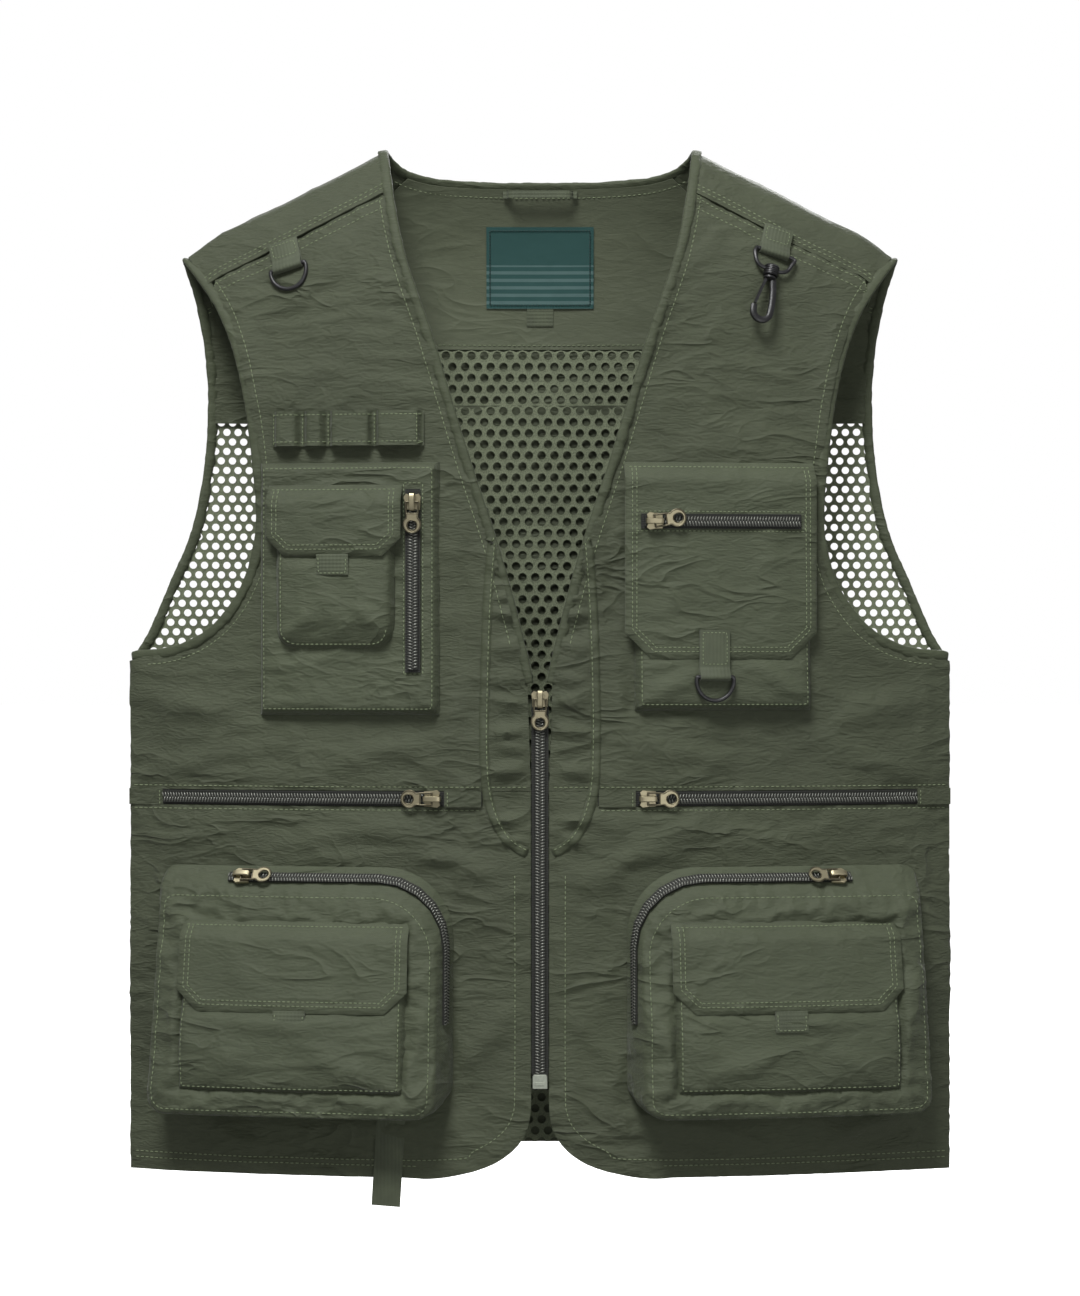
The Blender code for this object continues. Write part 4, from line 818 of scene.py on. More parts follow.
@dataclass(frozen=True)
class KnitMesh(Finish):
    """Knitted open mesh, whose holes are in the shape. Its pale olive is partly the mesh's own lighter thread and
    partly painted light, raised so that the mesh inside the vest reads as bright as the shell.
    """

    name: str = "knit_mesh"
    # a lighter olive than the shell: partly the mesh's own paler thread, partly painted light against the shade inside
    # the vest
    colour: Colour = (0.16, 0.185, 0.115)

    def build(self, paint: Paint) -> bpy.types.Material:
        """Rows of tiny loops."""
        sockets = {"Vector": paint.place((1400.0, 1400.0, 900.0)), "Scale": 1.0}
        loops = paint.node("ShaderNodeTexVoronoi", {"feature": "F1"}, sockets)
        fading = paint.noise((14.0, 14.0, 14.0), 3.0)
        colour = paint.mix(loops, shade(self.colour, 1.3), shade(self.colour, 0.6))
        colour = paint.mix(fading * 0.3, colour, shade(self.colour, 0.8))
        return paint.dress(Base_Color=colour, Roughness=0.78 + 0.1 * fading, Normal=paint.bump(loops, 0.0004, 0.7))


@dataclass(frozen=True)
class Thread(Finish):
    """Twisted sewing thread."""

    name: str = "sewing_thread"
    colour: Colour = (0.23, 0.28, 0.16)

    def build(self, paint: Paint) -> bpy.types.Material:
        """Slanted plies."""
        twist = ((paint.axis("X") + paint.axis("Z")) * 9000.0).wave() * 0.5 + 0.5
        tone = paint.noise((30.0, 30.0, 30.0), 2.0)
        colour = paint.mix(twist * 0.5 + tone * 0.5, shade(self.colour, 0.7), shade(self.colour, 1.25))
        return paint.dress(Base_Color=colour, Roughness=0.55 + 0.1 * tone, Normal=paint.bump(twist, 0.0002, 0.5))


@dataclass(frozen=True)
class AntiqueBrass(Finish):
    """Plated zinc with dark hollows and rubbed edges."""

    name: str = "antique_brass"
    bright: Colour = (0.40, 0.36, 0.24)
    dark: Colour = (0.06, 0.055, 0.04)

    def build(self, paint: Paint) -> bpy.types.Material:
        """Dark plating that is rubbed bright where it stands out."""
        worn = paint.node("ShaderNodeNewGeometry", out="Pointiness")
        spots = paint.noise((600.0, 600.0, 600.0), 4.0)
        rubbed = paint.ramp(worn * 0.85 + spots * 0.15, (0.455, 0.25), (0.54, 1.0))
        colour = paint.mix(rubbed, self.dark, self.bright)
        rough = 0.34 + 0.22 * spots
        return paint.dress(Base_Color=colour, Metallic=1.0, Roughness=rough, Normal=paint.bump(spots, 0.0001, 0.4))


@dataclass(frozen=True)
class CoilNylon(Finish):
    """Plated plastic coil of a zip."""

    name: str = "zip_coil"
    colour: Colour = (0.22, 0.225, 0.20)

    def build(self, paint: Paint) -> bpy.types.Material:
        """Dark gloss with small scratches."""
        scratch = paint.noise((900.0, 900.0, 900.0), 3.0)
        colour = paint.mix(scratch, shade(self.colour, 0.5), shade(self.colour, 1.6))
        rough = 0.28 + 0.2 * scratch
        return paint.dress(Base_Color=colour, Metallic=0.75, Roughness=rough, Normal=paint.bump(scratch, 0.0001, 0.4))


@dataclass(frozen=True)
class ZipTape(Finish):
    """Dark woven tape under the teeth."""

    name: str = "zip_tape"
    colour: Colour = (0.012, 0.013, 0.010)

    def build(self, paint: Paint) -> bpy.types.Material:
        """Herringbone weave."""
        weave = ((paint.axis("X") * 4200.0).wave() + (paint.axis("Z") * 4200.0).wave()) * 0.25 + 0.5
        worn = paint.noise((80.0, 80.0, 80.0), 3.0)
        colour = paint.mix(weave * 0.6 + worn * 0.4, shade(self.colour, 0.6), shade(self.colour, 1.6))
        return paint.dress(Base_Color=colour, Roughness=0.66 + 0.15 * worn, Normal=paint.bump(weave, 0.0003, 0.7))


@dataclass(frozen=True)
class MouldedPlastic(Finish):
    """Black moulded nylon with a faint grain."""

    name: str = "black_plastic"
    colour: Colour = (0.013, 0.013, 0.014)
    roughness: float = 0.3

    def build(self, paint: Paint) -> bpy.types.Material:
        """Fine grain and faint scuffs."""
        grain_ = paint.noise((1500.0, 1500.0, 1500.0), 2.0)
        scuff = paint.noise((120.0, 260.0, 120.0), 4.0, 1.2)
        colour = paint.mix(paint.ramp(scuff, (0.55, 0.0), (0.8, 1.0)), self.colour, shade(self.colour, 3.0))
        rough = self.roughness + 0.18 * scuff
        return paint.dress(Base_Color=colour, Roughness=rough, Normal=paint.bump(grain_ + scuff, 0.00015, 0.6))


@dataclass(frozen=True)
class PaleMetal(Finish):
    """Pale plated box at the zip's foot."""

    name: str = "pale_metal"
    colour: Colour = (0.42, 0.45, 0.38)

    def build(self, paint: Paint) -> bpy.types.Material:
        """Tumbled plating."""
        spots = paint.noise((700.0, 700.0, 700.0), 4.0)
        colour = paint.mix(spots, shade(self.colour, 0.7), shade(self.colour, 1.2))
        rough = 0.38 + 0.2 * spots
        return paint.dress(Base_Color=colour, Metallic=0.9, Roughness=rough, Normal=paint.bump(spots, 0.0001, 0.5))


@dataclass(frozen=True)
class WovenPatch(Finish):
    """Plain woven patch: a dark teal ground with paler level bands."""

    name: str = "woven_patch"
    ground: Colour = (0.012, 0.075, 0.068)
    band: Colour = (0.16, 0.26, 0.25)

    def build(self, paint: Paint) -> bpy.types.Material:
        """Close weave, with bands woven in towards the foot."""
        threads = (paint.axis("X") * 9000.0).wave() * (paint.axis("Z") * 7000.0).wave() * 0.5 + 0.5
        fading = paint.noise((90.0, 40.0, 160.0), 3.0)
        bands = ((paint.axis("Z") * 1250.0).wave() > 0.2) * (paint.axis("Z") * -1.0 > 0.044)
        colour = paint.mix(bands * 0.55, shade(self.ground, 1.0), self.band)
        colour = paint.mix(threads * 0.3 + fading * 0.25, colour, shade(self.ground, 0.5))
        rough, bump = 0.62 + 0.15 * fading, paint.bump(threads, 0.0003, 0.6)
        return paint.dress(Base_Color=colour, Roughness=rough, Normal=bump, Sheen_Weight=0.1)


SHELL = CrinkledNylon()
POCKET = CrinkledNylon("pocket_nylon", (0.066, 0.079, 0.045), 0.85)
LINING = CrinkledNylon("facing_nylon", (0.078, 0.091, 0.054), 0.3)
BINDING = CrinkledNylon("binding_nylon", (0.058, 0.070, 0.038), 0.6)
MESH = KnitMesh()
TAPE = Webbing()
THREAD = Thread()
BRASS = AntiqueBrass()
COIL = CoilNylon()
ZIPTAPE = ZipTape()
PLASTIC = MouldedPlastic()
BOX_METAL = PaleMetal()
PATCH = WovenPatch()


# ---------------------------------------------------------------- making pieces


def settle(obj: bpy.types.Object, body: str, slot: Slot, *nodes: str) -> bpy.types.Object:
    """Puts a piece on its body and hides the CAD nodes that it stands for."""
    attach(obj, body)
    if nodes:
        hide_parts(*nodes)
    LOG.info("%s: %d faces on %s", obj.name, len(obj.data.polygons), body)
    return obj


@dataclass
class Cloth:
    """One cut piece of cloth on the vest.

    base is its lift off the smooth surface, as a number or a rule of x and z. round_edge is how far its surface
    falls towards its rim, over edge_reach. open_edge holds a line of the rim that doesn't fall.
    """

    name: str
    outline: Sequence
    body: str = "vest"
    nodes: tuple[str, ...] = ()
    side: Side = Side.FRONT
    base: Union[float, Rule] = 0.0
    thick: float = 1.1
    step: float = 5.0
    crumple: Crumple = NO_CRUMPLE
    round_edge: float = 0.0
    edge_reach: float = 3.0
    open_edge: Optional[Sequence] = None
    rings: tuple[float, ...] = ()
    finish: Finish = SHELL
    slot: Slot = Slot.SHELL
    held: str = "stretched"

    def lift(self, x: np.ndarray, z: np.ndarray, rim: np.ndarray) -> np.ndarray:
        """Lift of the outer face at each point."""
        height = self.fold_height(x, z)
        value = self.base(x, height) if callable(self.base) else np.full(len(x), float(self.base))
        value = value + self.thick + self.crumple.lift(x, height)
        if self.round_edge:
            away, _ = to_line(x, z, ring_of(rim))
            if self.open_edge is not None:
                lip, _ = to_line(x, z, np.asarray(self.open_edge, float))
                away = np.where(lip <= away + 0.05, 99.0, away)
            value = value - self.round_edge * np.exp(-((away / self.edge_reach) ** 1.6))
        return value

    def fold_height(self, x: np.ndarray, z: np.ndarray) -> np.ndarray:
        """Height above the hem, also where z holds the run over the shoulder."""
        return FORM.fold(x) - np.abs(z) if self.side is Side.OVER else z

    def sew(self) -> bpy.types.Object:
        flat = fill(self.outline, self.step, self.rings)
        rim = np.column_stack([flat.x, flat.z])[: flat.rim_count]
        lift = self.lift(flat.x, flat.z, rim)
        run = FORM.run(flat.x, flat.z, self.side)
        top, bottom = FORM.place(flat.x, run, lift), FORM.place(flat.x, run, lift - self.thick)
        faces = flat.faces[:, ::-1] if self.side is Side.BACK else flat.faces
        points, every = closed_sheet(top, bottom, faces)
        obj = sharpen(add_object(self.name, points, every, self.finish), 60.0)
        settle(obj, self.body, self.slot, *self.nodes)
        width, length = flat.size
        min(flat.area, width * length)
        return obj


class Sewing:
    """Rows of stitches and other small pieces that lie on a made surface."""

    def __init__(self, *surfaces: bpy.types.Object) -> None:
        """Keeps a search tree of the surfaces."""
        points: list = []
        faces: list = []
        for obj in surfaces:
            start = len(points)
            points += [v.co.copy() for v in obj.data.vertices]
            faces += [[start + k for k in p.vertices] for p in obj.data.polygons]
        self.tree = BVHTree.FromPolygons(points, faces)
        self.starts: list[np.ndarray] = []
        self.ends: list[np.ndarray] = []
        self.outs: list[np.ndarray] = []

    def drop(self, points: np.ndarray, out: np.ndarray) -> tuple[np.ndarray, np.ndarray]:
        """Points dropped onto the surface along the outward direction, with the normals there."""
        landed, normals = [], []
        for point, away in zip(points, out):
            start, way = Vector(point) + Vector(away) * 0.02, -Vector(away)
            hit, normal, _, _ = self.tree.ray_cast(start, way, 0.05)
            if hit is None:
                hit, normal, _, _ = self.tree.find_nearest(Vector(point))
            landed.append(hit)
            normals.append(normal if normal @ Vector(away) > 0 else -normal)
        return np.array(landed), np.array(normals)

    def row(
        self, path: Sequence, side: Side = Side.FRONT, lift: float = 3.0, pitch: float = 3.4, share: float = 0.66
    ) -> "Sewing":
        """Adds a row of stitches.

        Args:
            path: Line of (x, z) points.
            side: Face of the vest that it lies on.
            lift: Rough lift of the surface there.
            pitch: Distance from stitch to stitch.
            share: Share of the pitch that a stitch takes.

        Returns:
            The same sewing, for more rows.
        """
        line = at_steps(at_steps(np.asarray(path, float), 1.0), pitch)
        ahead = np.diff(line, axis=0)
        first, last = line[:-1], line[:-1] + ahead * share
        placed = []
        for ends in (first, last):
            placed.append(self.drop(*FORM.raised(ends[:, 0], FORM.run(ends[:, 0], ends[:, 1], side), lift)))
        self.starts.append(placed[0][0])
        self.ends.append(placed[1][0])
        self.outs.append(placed[0][1])
        return self

    def take(self, other: "Sewing") -> "Sewing":
        """Adds the rows that were sewn on another surface."""
        self.starts += other.starts
        self.ends += other.ends
        self.outs += other.outs
        return self

    def done(
        self, name: str, body: str = "vest", finish: Finish = THREAD, slot: Slot = Slot.BINDING
    ) -> bpy.types.Object:
        """Makes all rows into one piece."""
        starts, ends, outs = (np.vstack(rows) for rows in (self.starts, self.ends, self.outs))
        points, faces = bars(starts, ends, outs, 0.72, 0.42)
        return settle(add_object(name, points, faces, finish), body, slot)


# ---------------------------------------------------------------- sub-assemblies


def mirror_all(lines: Iterable, hand: Hand) -> tuple:
    """Lines of the left side put on one side."""
    return tuple(tuple((hand.value * x, z) for x, z in line) for line in lines)


@dataclass
class Fronts:
    """The two fronts, with the yoke seam, zip edges, rounded hem corners and the curved bands by the zip."""

    yoke_drop: float = 30.0
    waist: float = 249.0
    window: float = 10.4
    waist_patch: float = 38.0
    setback: float = 2.6

    def upper(self) -> Outline:
        """Upper front of the left side."""
        neck = beside(FORM.v_edge(), self.setback)
        arm = beside(FORM.armhole(Side.FRONT), -self.setback)
        drop = self.yoke_drop + 0.4
        neck = neck[FORM.fold(neck[:, 0]) - neck[:, 1] > drop]
        arm = arm[(FORM.fold(arm[:, 0]) - arm[:, 1] > drop) & (arm[:, 0] < 268)]
        xs = np.linspace(neck[0, 0] + 0.5, arm[0, 0] - 0.5, 12)
        top = list(zip(xs, FORM.fold(xs) - drop))
        low = self.waist + 0.5 * self.window
        neck[:, 0] = np.maximum(neck[:, 0], 6.0)
        return [*top, *pairs(arm), (274.0, 339.4), (274.0, low), (6.0, low), *pairs(neck[::-1])]

    def lower(self) -> Outline:
        """Lower front of the left side."""
        low, high = self.waist - 0.5 * self.window, self.waist + 0.5 * self.window - 0.4
        corner = [(66.0, 0.0), (36.0, 7.0), (18.0, 18.0), (9.0, 31.0), (6.0, 46.0)]
        edge = pairs(smooth_path([(90.0, 0.0), *corner, (6.0, 70.0)], 5.0))
        patch = self.waist_patch - 0.4
        return [(274.0, low), (274.0, 0.0), *edge, (6.0, high), (patch, high), (patch, low)]

    def band(self) -> np.ndarray:
        """Middle of the curved band beside the zip."""
        points = [(31.0, 421.0), (34.2, 380.0), (36.0, 330.0), (36.6, 285.0), (34.5, 252.0), (27.0, 230.0)]
        return smooth_path([*points, (18.0, 219.0), (8.6, 213.5)], 4.0)

    def seams(self, neck: bool) -> list[Outline]:
        """Lines that gather the cloth on the left side."""
        if neck:
            xs = np.linspace(95, 232, 8)
            yoke = list(zip(xs, FORM.fold(xs) - self.yoke_drop))
            low = self.waist + 6.0
            edges = [pairs(FORM.v_edge()), pairs(FORM.armhole(Side.FRONT))]
            return [yoke, *edges, [(8, low), (274, low)], [(275, 340), (275, low)]]
        hem = pairs(smooth_path([(275, 1), (66, 1), (36, 8), (18, 19), (9, 32), (7, 60), (7, 240)], 10.0))
        high = self.waist - 6.0
        return [hem, [(38, high), (274, high)], [(275, high), (275, 0)]]

    def build(self, hand: Hand) -> None:
        """Makes one front with its band and stitches."""
        word, s = hand.word, hand.value
        gathers = [((9, z), (33, z + d), 3.4, h) for z, d, h in self.gathers()]
        drape = [((20, 190), (120, 236), 9, 1.5), ((60, 235), (200, 215), 7, 1.2), ((10, 120), (62, 60), 8, 1.4)]
        drape += [((240, 235), (268, 120), 9, 1.7), ((262, 120), (225, 20), 9, 1.5), ((30, 40), (150, 26), 8, 1.2)]
        drape += [((268, 60), (180, 12), 7, 1.3), ((44, 205), (70, 130), 8, -1.4)]
        upper = [((210, 430), (262, 346), 9, 1.8), ((190, 300), (268, 318), 9, 1.6), ((60, 290), (150, 266), 8, 1.4)]
        upper += [((96, 640), (60, 520), 10, 1.2), ((200, 590), (186, 470), 9, 1.3), ((46, 330), (70, 262), 7, 1.2)]
        upper += [((180, 285), (262, 262), 7, 1.2), ((120, 620), (190, 560), 11, 1.0), ((45, 440), (52, 350), 6, -1.2)]

        def folds(rows: list) -> tuple[Fold, ...]:
            return tuple(Fold((s * a[0], a[1]), (s * b[0], b[1]), w, h) for a, b, w, h in rows)

        covers = self.covered(hand)
        seed = 2.0 + 0.5 * s
        pieces = (
            ("upper", self.upper(), True, folds(upper + [g for g in gathers if g[0][1] > 258])),
            ("lower", self.lower(), False, folds(drape + [g for g in gathers if g[0][1] < 240])),
        )
        made = []
        for part, outline, neck, creases in pieces:
            crumple = Crumple(seed + len(part), seams=mirror_all(self.seams(neck), hand), folds=creases, flats=covers)
            name = f"{word}_{part}_front"
            panel = Cloth(f"{name}_cloth", hand.turn(outline), nodes=(name,), crumple=crumple, step=3.2, rings=(1.6,))
            made.append(panel.sew())
        sewing = Sewing(*made)
        xs = np.linspace(104, 234, 20)
        for drop in (self.yoke_drop + 3.0, self.yoke_drop + 9.5):
            sewing.row([(s * x, FORM.fold(x) - drop) for x in xs])
        low, high = self.waist - 7.6, self.waist + 7.6
        sewing.row([(s * 9, high), (s * 272, high)]).row([(s * 40, low), (s * 272, low)])
        hem = smooth_path([(270, 12), (70, 12), (44, 18), (26, 29), (18, 42), (16.5, 66), (16.5, 200)], 6.0)
        sewing.row(pairs(hem * [s, 1]))
        sewing.row([(s * 270, 8.0), (s * 80, 8.0)])
        sewing.row(pairs(beside(FORM.v_edge(), 8.2)[:-3] * [s, 1]))
        arm = beside(FORM.armhole(Side.FRONT), -8.2)
        sewing.row(pairs(arm[arm[:, 0] < 266] * [s, 1]))
        self.add_band(hand, sewing)
        sewing.done(f"{word}_front_stitching")

    def gathers(self) -> list[tuple[float, float, float]]:
        """Height, slant and lift of the small gathers beside the zip."""
        found = []
        for k in range(26):
            z = 222.0 + 8.4 * k + 3.0 * math.sin(2.7 * k)
            found.append((z, 5.0 * math.sin(1.9 * k), 1.3 + 0.7 * math.sin(3.1 * k)))
        return found

    def covered(self, hand: Hand) -> tuple:
        """Boxes under the pockets, where the cloth lies flat."""
        cargo = (55.0, 250.0, 45.0, 205.0)
        chest = (55.0, 181.0, 303.0, 476.0) if hand is Hand.LEFT else (66.0, 184.0, 302.0, 506.0)
        found = []
        for x0, x1, z0, z1 in (cargo, chest):
            ends = sorted((hand.value * x0, hand.value * x1))
            found.append((ends[0], ends[1], z0, z1))
        return tuple(found)

    def add_band(self, hand: Hand, sewing: Sewing) -> None:
        """The raised band that curves in to the zip."""
        line = at_steps(self.band(), 3.0) * [hand.value, 1]
        landed, out = sewing.drop(*FORM.raised(line[:, 0], FORM.run(line[:, 0], line[:, 1], Side.FRONT), 2.5))
        wave = np.sin(np.arange(len(line)) * 1.7 + hand.value)[:, None] * out * 0.25 * MM
        section = [(3.5, -0.4), (3.3, 0.5), (1.2, 0.85), (-1.2, 0.85), (-3.3, 0.5), (-3.5, -0.4)]
        points, faces = sweep(landed + wave, out, section)
        band = add_object(f"{hand.word}_curved_band", points, faces, BINDING)
        settle(band, "vest", Slot.BINDING)
        sewing.take(Sewing(band).row(pairs(beside(self.band(), -1.7) * [hand.value, 1])))


@dataclass
class Back:
    """Yoke over both shoulders, centre back, open mesh sides, mesh lining and neck facing."""

    yoke_height: float = 510.0
    centre_half: float = 165.0
    hem_rise: float = 12.0
    facing_foot: float = 551.0
    setback: float = 2.6

    def yoke(self) -> Outline:
        """Yoke as x and the run from the fold."""
        neck, arm = beside(FORM.v_edge(), self.setback), beside(FORM.armhole(Side.FRONT), -self.setback)
        back_arm = beside(FORM.armhole(Side.BACK), -self.setback)
        back_neck = beside(FORM.back_neck_edge(), self.setback)
        back_neck = back_neck[(back_neck[:, 0] > 0.01) & (back_neck[:, 0] < 102.0)]
        neck_x = float(np.interp(30.0, FORM.fold(neck[:, 0]) - neck[:, 1], neck[:, 0]))
        arm_x = float(np.interp(30.0, FORM.fold(arm[:, 0]) - arm[:, 1], arm[:, 0]))
        half = [(x, float(FORM.fold(x)) - z) for x, z in back_neck[::-1]]
        half += [(105.6, 0.0)] + [(x, -30.0) for x in np.linspace(neck_x, arm_x, 16)] + [(235.4, 0.0)]
        above = back_arm[(back_arm[:, 1] > self.yoke_height)][2:]
        half += [(x, float(FORM.fold(x)) - z) for x, z in above]
        end = float(np.interp(-self.yoke_height, -back_arm[:, 1], back_arm[:, 0]))
        half += [(x, float(FORM.fold(x)) - self.yoke_height) for x in np.linspace(end, 0.0, 24)[:-1]]
        middle = (0.0, float(FORM.fold(0.0)) - FORM.length + FORM.back_neck_drop + self.setback)
        foot = (0.0, float(FORM.fold(0.0)) - self.yoke_height)
        return [middle, *half, foot, *[(-x, run) for x, run in half[::-1]]]

    def facing(self) -> Outline:
        """Neck facing inside the back."""
        neck = beside(FORM.back_neck_edge(), self.setback)
        neck = neck[(neck[:, 0] > 0.01) & (neck[:, 0] < 95.0)]
        half = [(113.3, self.facing_foot), (113.3, float(neck[0, 1]) - 22.0), *pairs(neck)]
        middle = (0.0, FORM.length - FORM.back_neck_drop - self.setback)
        return [*half, middle, *[(-x, z) for x, z in half[::-1]]]

    def side_panel(self) -> Outline:
        """Mesh side panel of the left side."""
        arm = beside(FORM.armhole(Side.BACK), -3.1)
        arm = arm[(arm[:, 1] < self.yoke_height - 1.0) & (arm[:, 0] < 268.0)]
        return [(165.4, self.yoke_height - 0.4), *pairs(arm), (274.0, 339.4), (274.0, 0.0), (165.4, 0.0)]

    def build(self) -> None:
        """Makes every piece of the back."""
        half, top = self.centre_half, self.yoke_height + 3.0
        neck_line = pairs(FORM.back_neck_edge()) + pairs(FORM.back_neck_edge()[::-1] * [-1, 1])
        arm_lines = [pairs(FORM.armhole(Side.FRONT)), pairs(FORM.armhole(Side.FRONT) * [-1, 1])]
        seams = (tuple(neck_line), ((-230.0, top), (230.0, top)), *map(tuple, arm_lines))
        crumple = Crumple(5.0, broad=0.7, crease=0.5, fine=0.2, pucker=0.5, seams=seams)
        yoke = Cloth("back_yoke_cloth", self.yoke(), nodes=("back_yoke",), side=Side.OVER, crumple=crumple).sew()
        hem = [(x, self.hem_rise * math.cos(x / half * math.pi / 2) ** 0.5) for x in np.linspace(-150, 150, 13)]
        centre = [(-half, 0.0), *hem, (half, 0.0), (half, top), (-half, top)]
        places = ((-110, 14), (-40, -10), (30, 12), (100, -16))
        long_folds = tuple(Fold((x, 480.0), (x + d, 60.0), 16.0, 1.8) for x, d in places)
        seams = (((-half, 0.0), (-half, top)), ((half, 0.0), (half, top)))
        seams += (((-half, top), (half, top)), ((-half, 6.0), (half, 6.0)))
        crumple = Crumple(6.0, broad=0.8, crease=0.6, fine=0.2, pucker=0.4, seams=seams, folds=long_folds, strength=1.0)
        panel = Cloth(
            "back_panel_cloth", centre, nodes=("back_panel",), side=Side.BACK, base=self.tucked, crumple=crumple,
            step=6.0,
        ).sew()
        inner = Crumple(7.0, broad=0.3, crease=0.2, fine=0.06, pucker=0.0)
        facing = Cloth(
            "neck_facing_cloth", self.facing(), nodes=("neck_facing",), side=Side.BACK, base=-1.4, thick=0.9,
            crumple=inner, finish=LINING,
        ).sew()
        self.add_mesh("back_mesh_lining", self.lining(), 8.7, -1.9)
        for hand in Hand:
            self.add_mesh(f"{hand.word}_back_mesh", hand.turn(self.side_panel()), 7.4, 0.6)
            self.add_shade(hand)
        self.stitch(yoke, panel, facing)

    def tucked(self, x: np.ndarray, z: np.ndarray) -> np.ndarray:
        """Lift of the centre panel, whose top goes in under the yoke."""
        return 0.7 - 2.2 * np.clip((z - self.yoke_height + 3.5) / 3.5, 0, 1)

    def lining(self) -> Outline:
        """Outline of the mesh lining."""
        half, low, high = self.centre_half - 0.8, self.hem_rise, self.facing_foot - 0.4
        return oblong(-half, half, low, high)

    def add_shade(self, hand: Hand) -> None:
        """Solid strip of shell cloth along the top of a mesh side, below the yoke, put behind the mesh holes there so
        that they read dark: a sheet standing in for the deep shadow under the yoke, as painted shade.
        """
        arm = beside(FORM.armhole(Side.BACK), -3.1)
        arm = arm[(arm[:, 1] < 516.0) & (arm[:, 1] > 494.0)]
        outline = [(166.5, 516.0), *pairs(arm), (166.5, float(arm[-1, 1]))]
        name = f"{hand.word}_back_side_strip"
        # the strip is a sheet of shell cloth put where the mesh holes lie in shade, as painted shade
        piece = Cloth(name, hand.turn(outline), side=Side.BACK, base=-2.1, thick=0.8, step=6.0)
        piece.sew()

    def add_mesh(self, name: str, outline: Outline, pitch: float, lift: float) -> None:
        """Open mesh: one ring of cloth round each hole of a honeycomb.

        Args:
            name: The CAD node that it stands for.
            outline: Its edge.
            pitch: Distance between holes.
            lift: Its lift off the smooth surface.
        """
        rim = resampled(outline, 3.0, closed=True)
        closed = ring_of(rim)
        low, high = rim.min(axis=0), rim.max(axis=0)
        radius = pitch / math.sqrt(3.0)
        centres = []
        for k in range(int((high[1] - low[1]) / (1.5 * radius)) + 3):
            z = low[1] + 1.5 * radius * k
            xs = np.arange(low[0] - pitch, high[0] + pitch, pitch) + (0.5 * pitch if k % 2 else 0.0)
            centres += [(x, z) for x in xs]
        centres = np.array(centres)
        away, _ = to_line(centres[:, 0], centres[:, 1], closed)
        within = inside(centres[:, 0], centres[:, 1], rim)
        centres = centres[within | (away < 0.35 * pitch)]
        corners: dict[tuple[int, int], int] = {}
        points: list[tuple[float, float, float]] = []
        faces: list[tuple[int, ...]] = []
        for cx, cz in centres:
            outer, holes = [], []
            for k in range(6):
                a = math.radians(30 + 60 * k)
                x, z = cx + radius * math.cos(a), cz + radius * math.sin(a)
                key = (round(x * 4), round(z * 4))
                if key not in corners:
                    corners[key] = len(points)
                    points.append((x, z, 0.0))
                outer.append(corners[key])
                for turn in (-16, 16):
                    b = a + math.radians(turn)
                    holes.append(len(points))
                    points.append((cx + 0.58 * radius * math.cos(b), cz + 0.58 * radius * math.sin(b), -0.35))
            for k in range(6):
                n = (k + 1) % 6
                faces.append((outer[k], holes[2 * k + 1], holes[2 * k]))
                faces.append((outer[k], outer[n], holes[2 * n], holes[2 * k + 1]))
        flat = np.array(points)
        out_of = ~inside(flat[:, 0], flat[:, 1], rim)
        flat[out_of, :2] = self.nearest(flat[out_of, :2], closed)
        wave = Crumple(8.0, broad=1.0, crease=0.5, fine=0.0, pucker=0.0).lift(flat[:, 0], flat[:, 1])
        run = FORM.run(flat[:, 0], flat[:, 1], Side.BACK)
        placed = FORM.place(flat[:, 0], run, lift + 0.4 * wave + flat[:, 2])
        obj = add_object(f"{name}_cloth", placed, faces, MESH)
        settle(obj, "vest", Slot.MESH, name)

    @staticmethod
    def nearest(points: np.ndarray, line: np.ndarray) -> np.ndarray:
        """Nearest places on a line of corners."""
        starts, legs = line[:-1], np.diff(line, axis=0)
        long = np.maximum((legs**2).sum(axis=1), 1e-12)
        t = np.clip(((points[:, None] - starts) * legs).sum(axis=2) / long, 0, 1)
        places = starts + t[..., None] * legs
        best = ((places - points[:, None]) ** 2).sum(axis=2).argmin(axis=1)
        return places[np.arange(len(points)), best]

    def stitch(self, yoke: bpy.types.Object, panel: bpy.types.Object, facing: bpy.types.Object) -> None:
        """Rows along the yoke seams, the centre panel's sides, the hem and the facing."""
        sewing = Sewing(yoke)
        xs = np.linspace(104, 232, 24)
        for s in (1, -1):
            for drop in (24.0, 27.0):
                sewing.row([(s * x, -drop) for x in xs], Side.OVER)
            across = np.linspace(4, 214, 30)
            sewing.row([(s * x, float(FORM.fold(x)) - self.yoke_height - 4.0) for x in across], Side.OVER)
        sewing.done("yoke_stitching")
        sewing = Sewing(panel)
        half, top = self.centre_half - 4.0, self.yoke_height - 4.0
        for s in (1, -1):
            sewing.row([(s * half, 12.0), (s * half, top)], Side.BACK)
        sewing.row([(-160, 24.0), (160, 24.0)], Side.BACK)
        sewing.done("back_panel_stitching")
        self.stitch_inside(facing)

    def stitch_inside(self, facing: bpy.types.Object) -> None:
        """Rows on the inner side of the facing, turned to the front."""
        points, ends, outs = [], [], []
        foot = self.facing_foot + 3.0
        rows = [[(-110.0, foot), (110.0, foot)], pairs(beside(FORM.back_neck_edge(), 8.0)[2:])]
        rows.append([(-x, z) for x, z in rows[1]])
        for row in rows:
            line = at_steps(at_steps(np.asarray(row), 1.0), 3.4)
            run = FORM.run(line[:, 0], line[:, 1], Side.BACK)
            placed = FORM.place(line[:, 0], run, -1.75)
            step = np.diff(placed, axis=0)
            points.append(placed[:-1])
            ends.append(placed[:-1] + 0.66 * step)
            outs.append(np.tile([0.0, -1.0, 0.0], (len(step), 1)))
        made = bars(np.vstack(points), np.vstack(ends), np.vstack(outs), 0.62, 0.36)
        settle(add_object("neck_facing_stitching", *made, THREAD), "vest", Slot.BINDING)


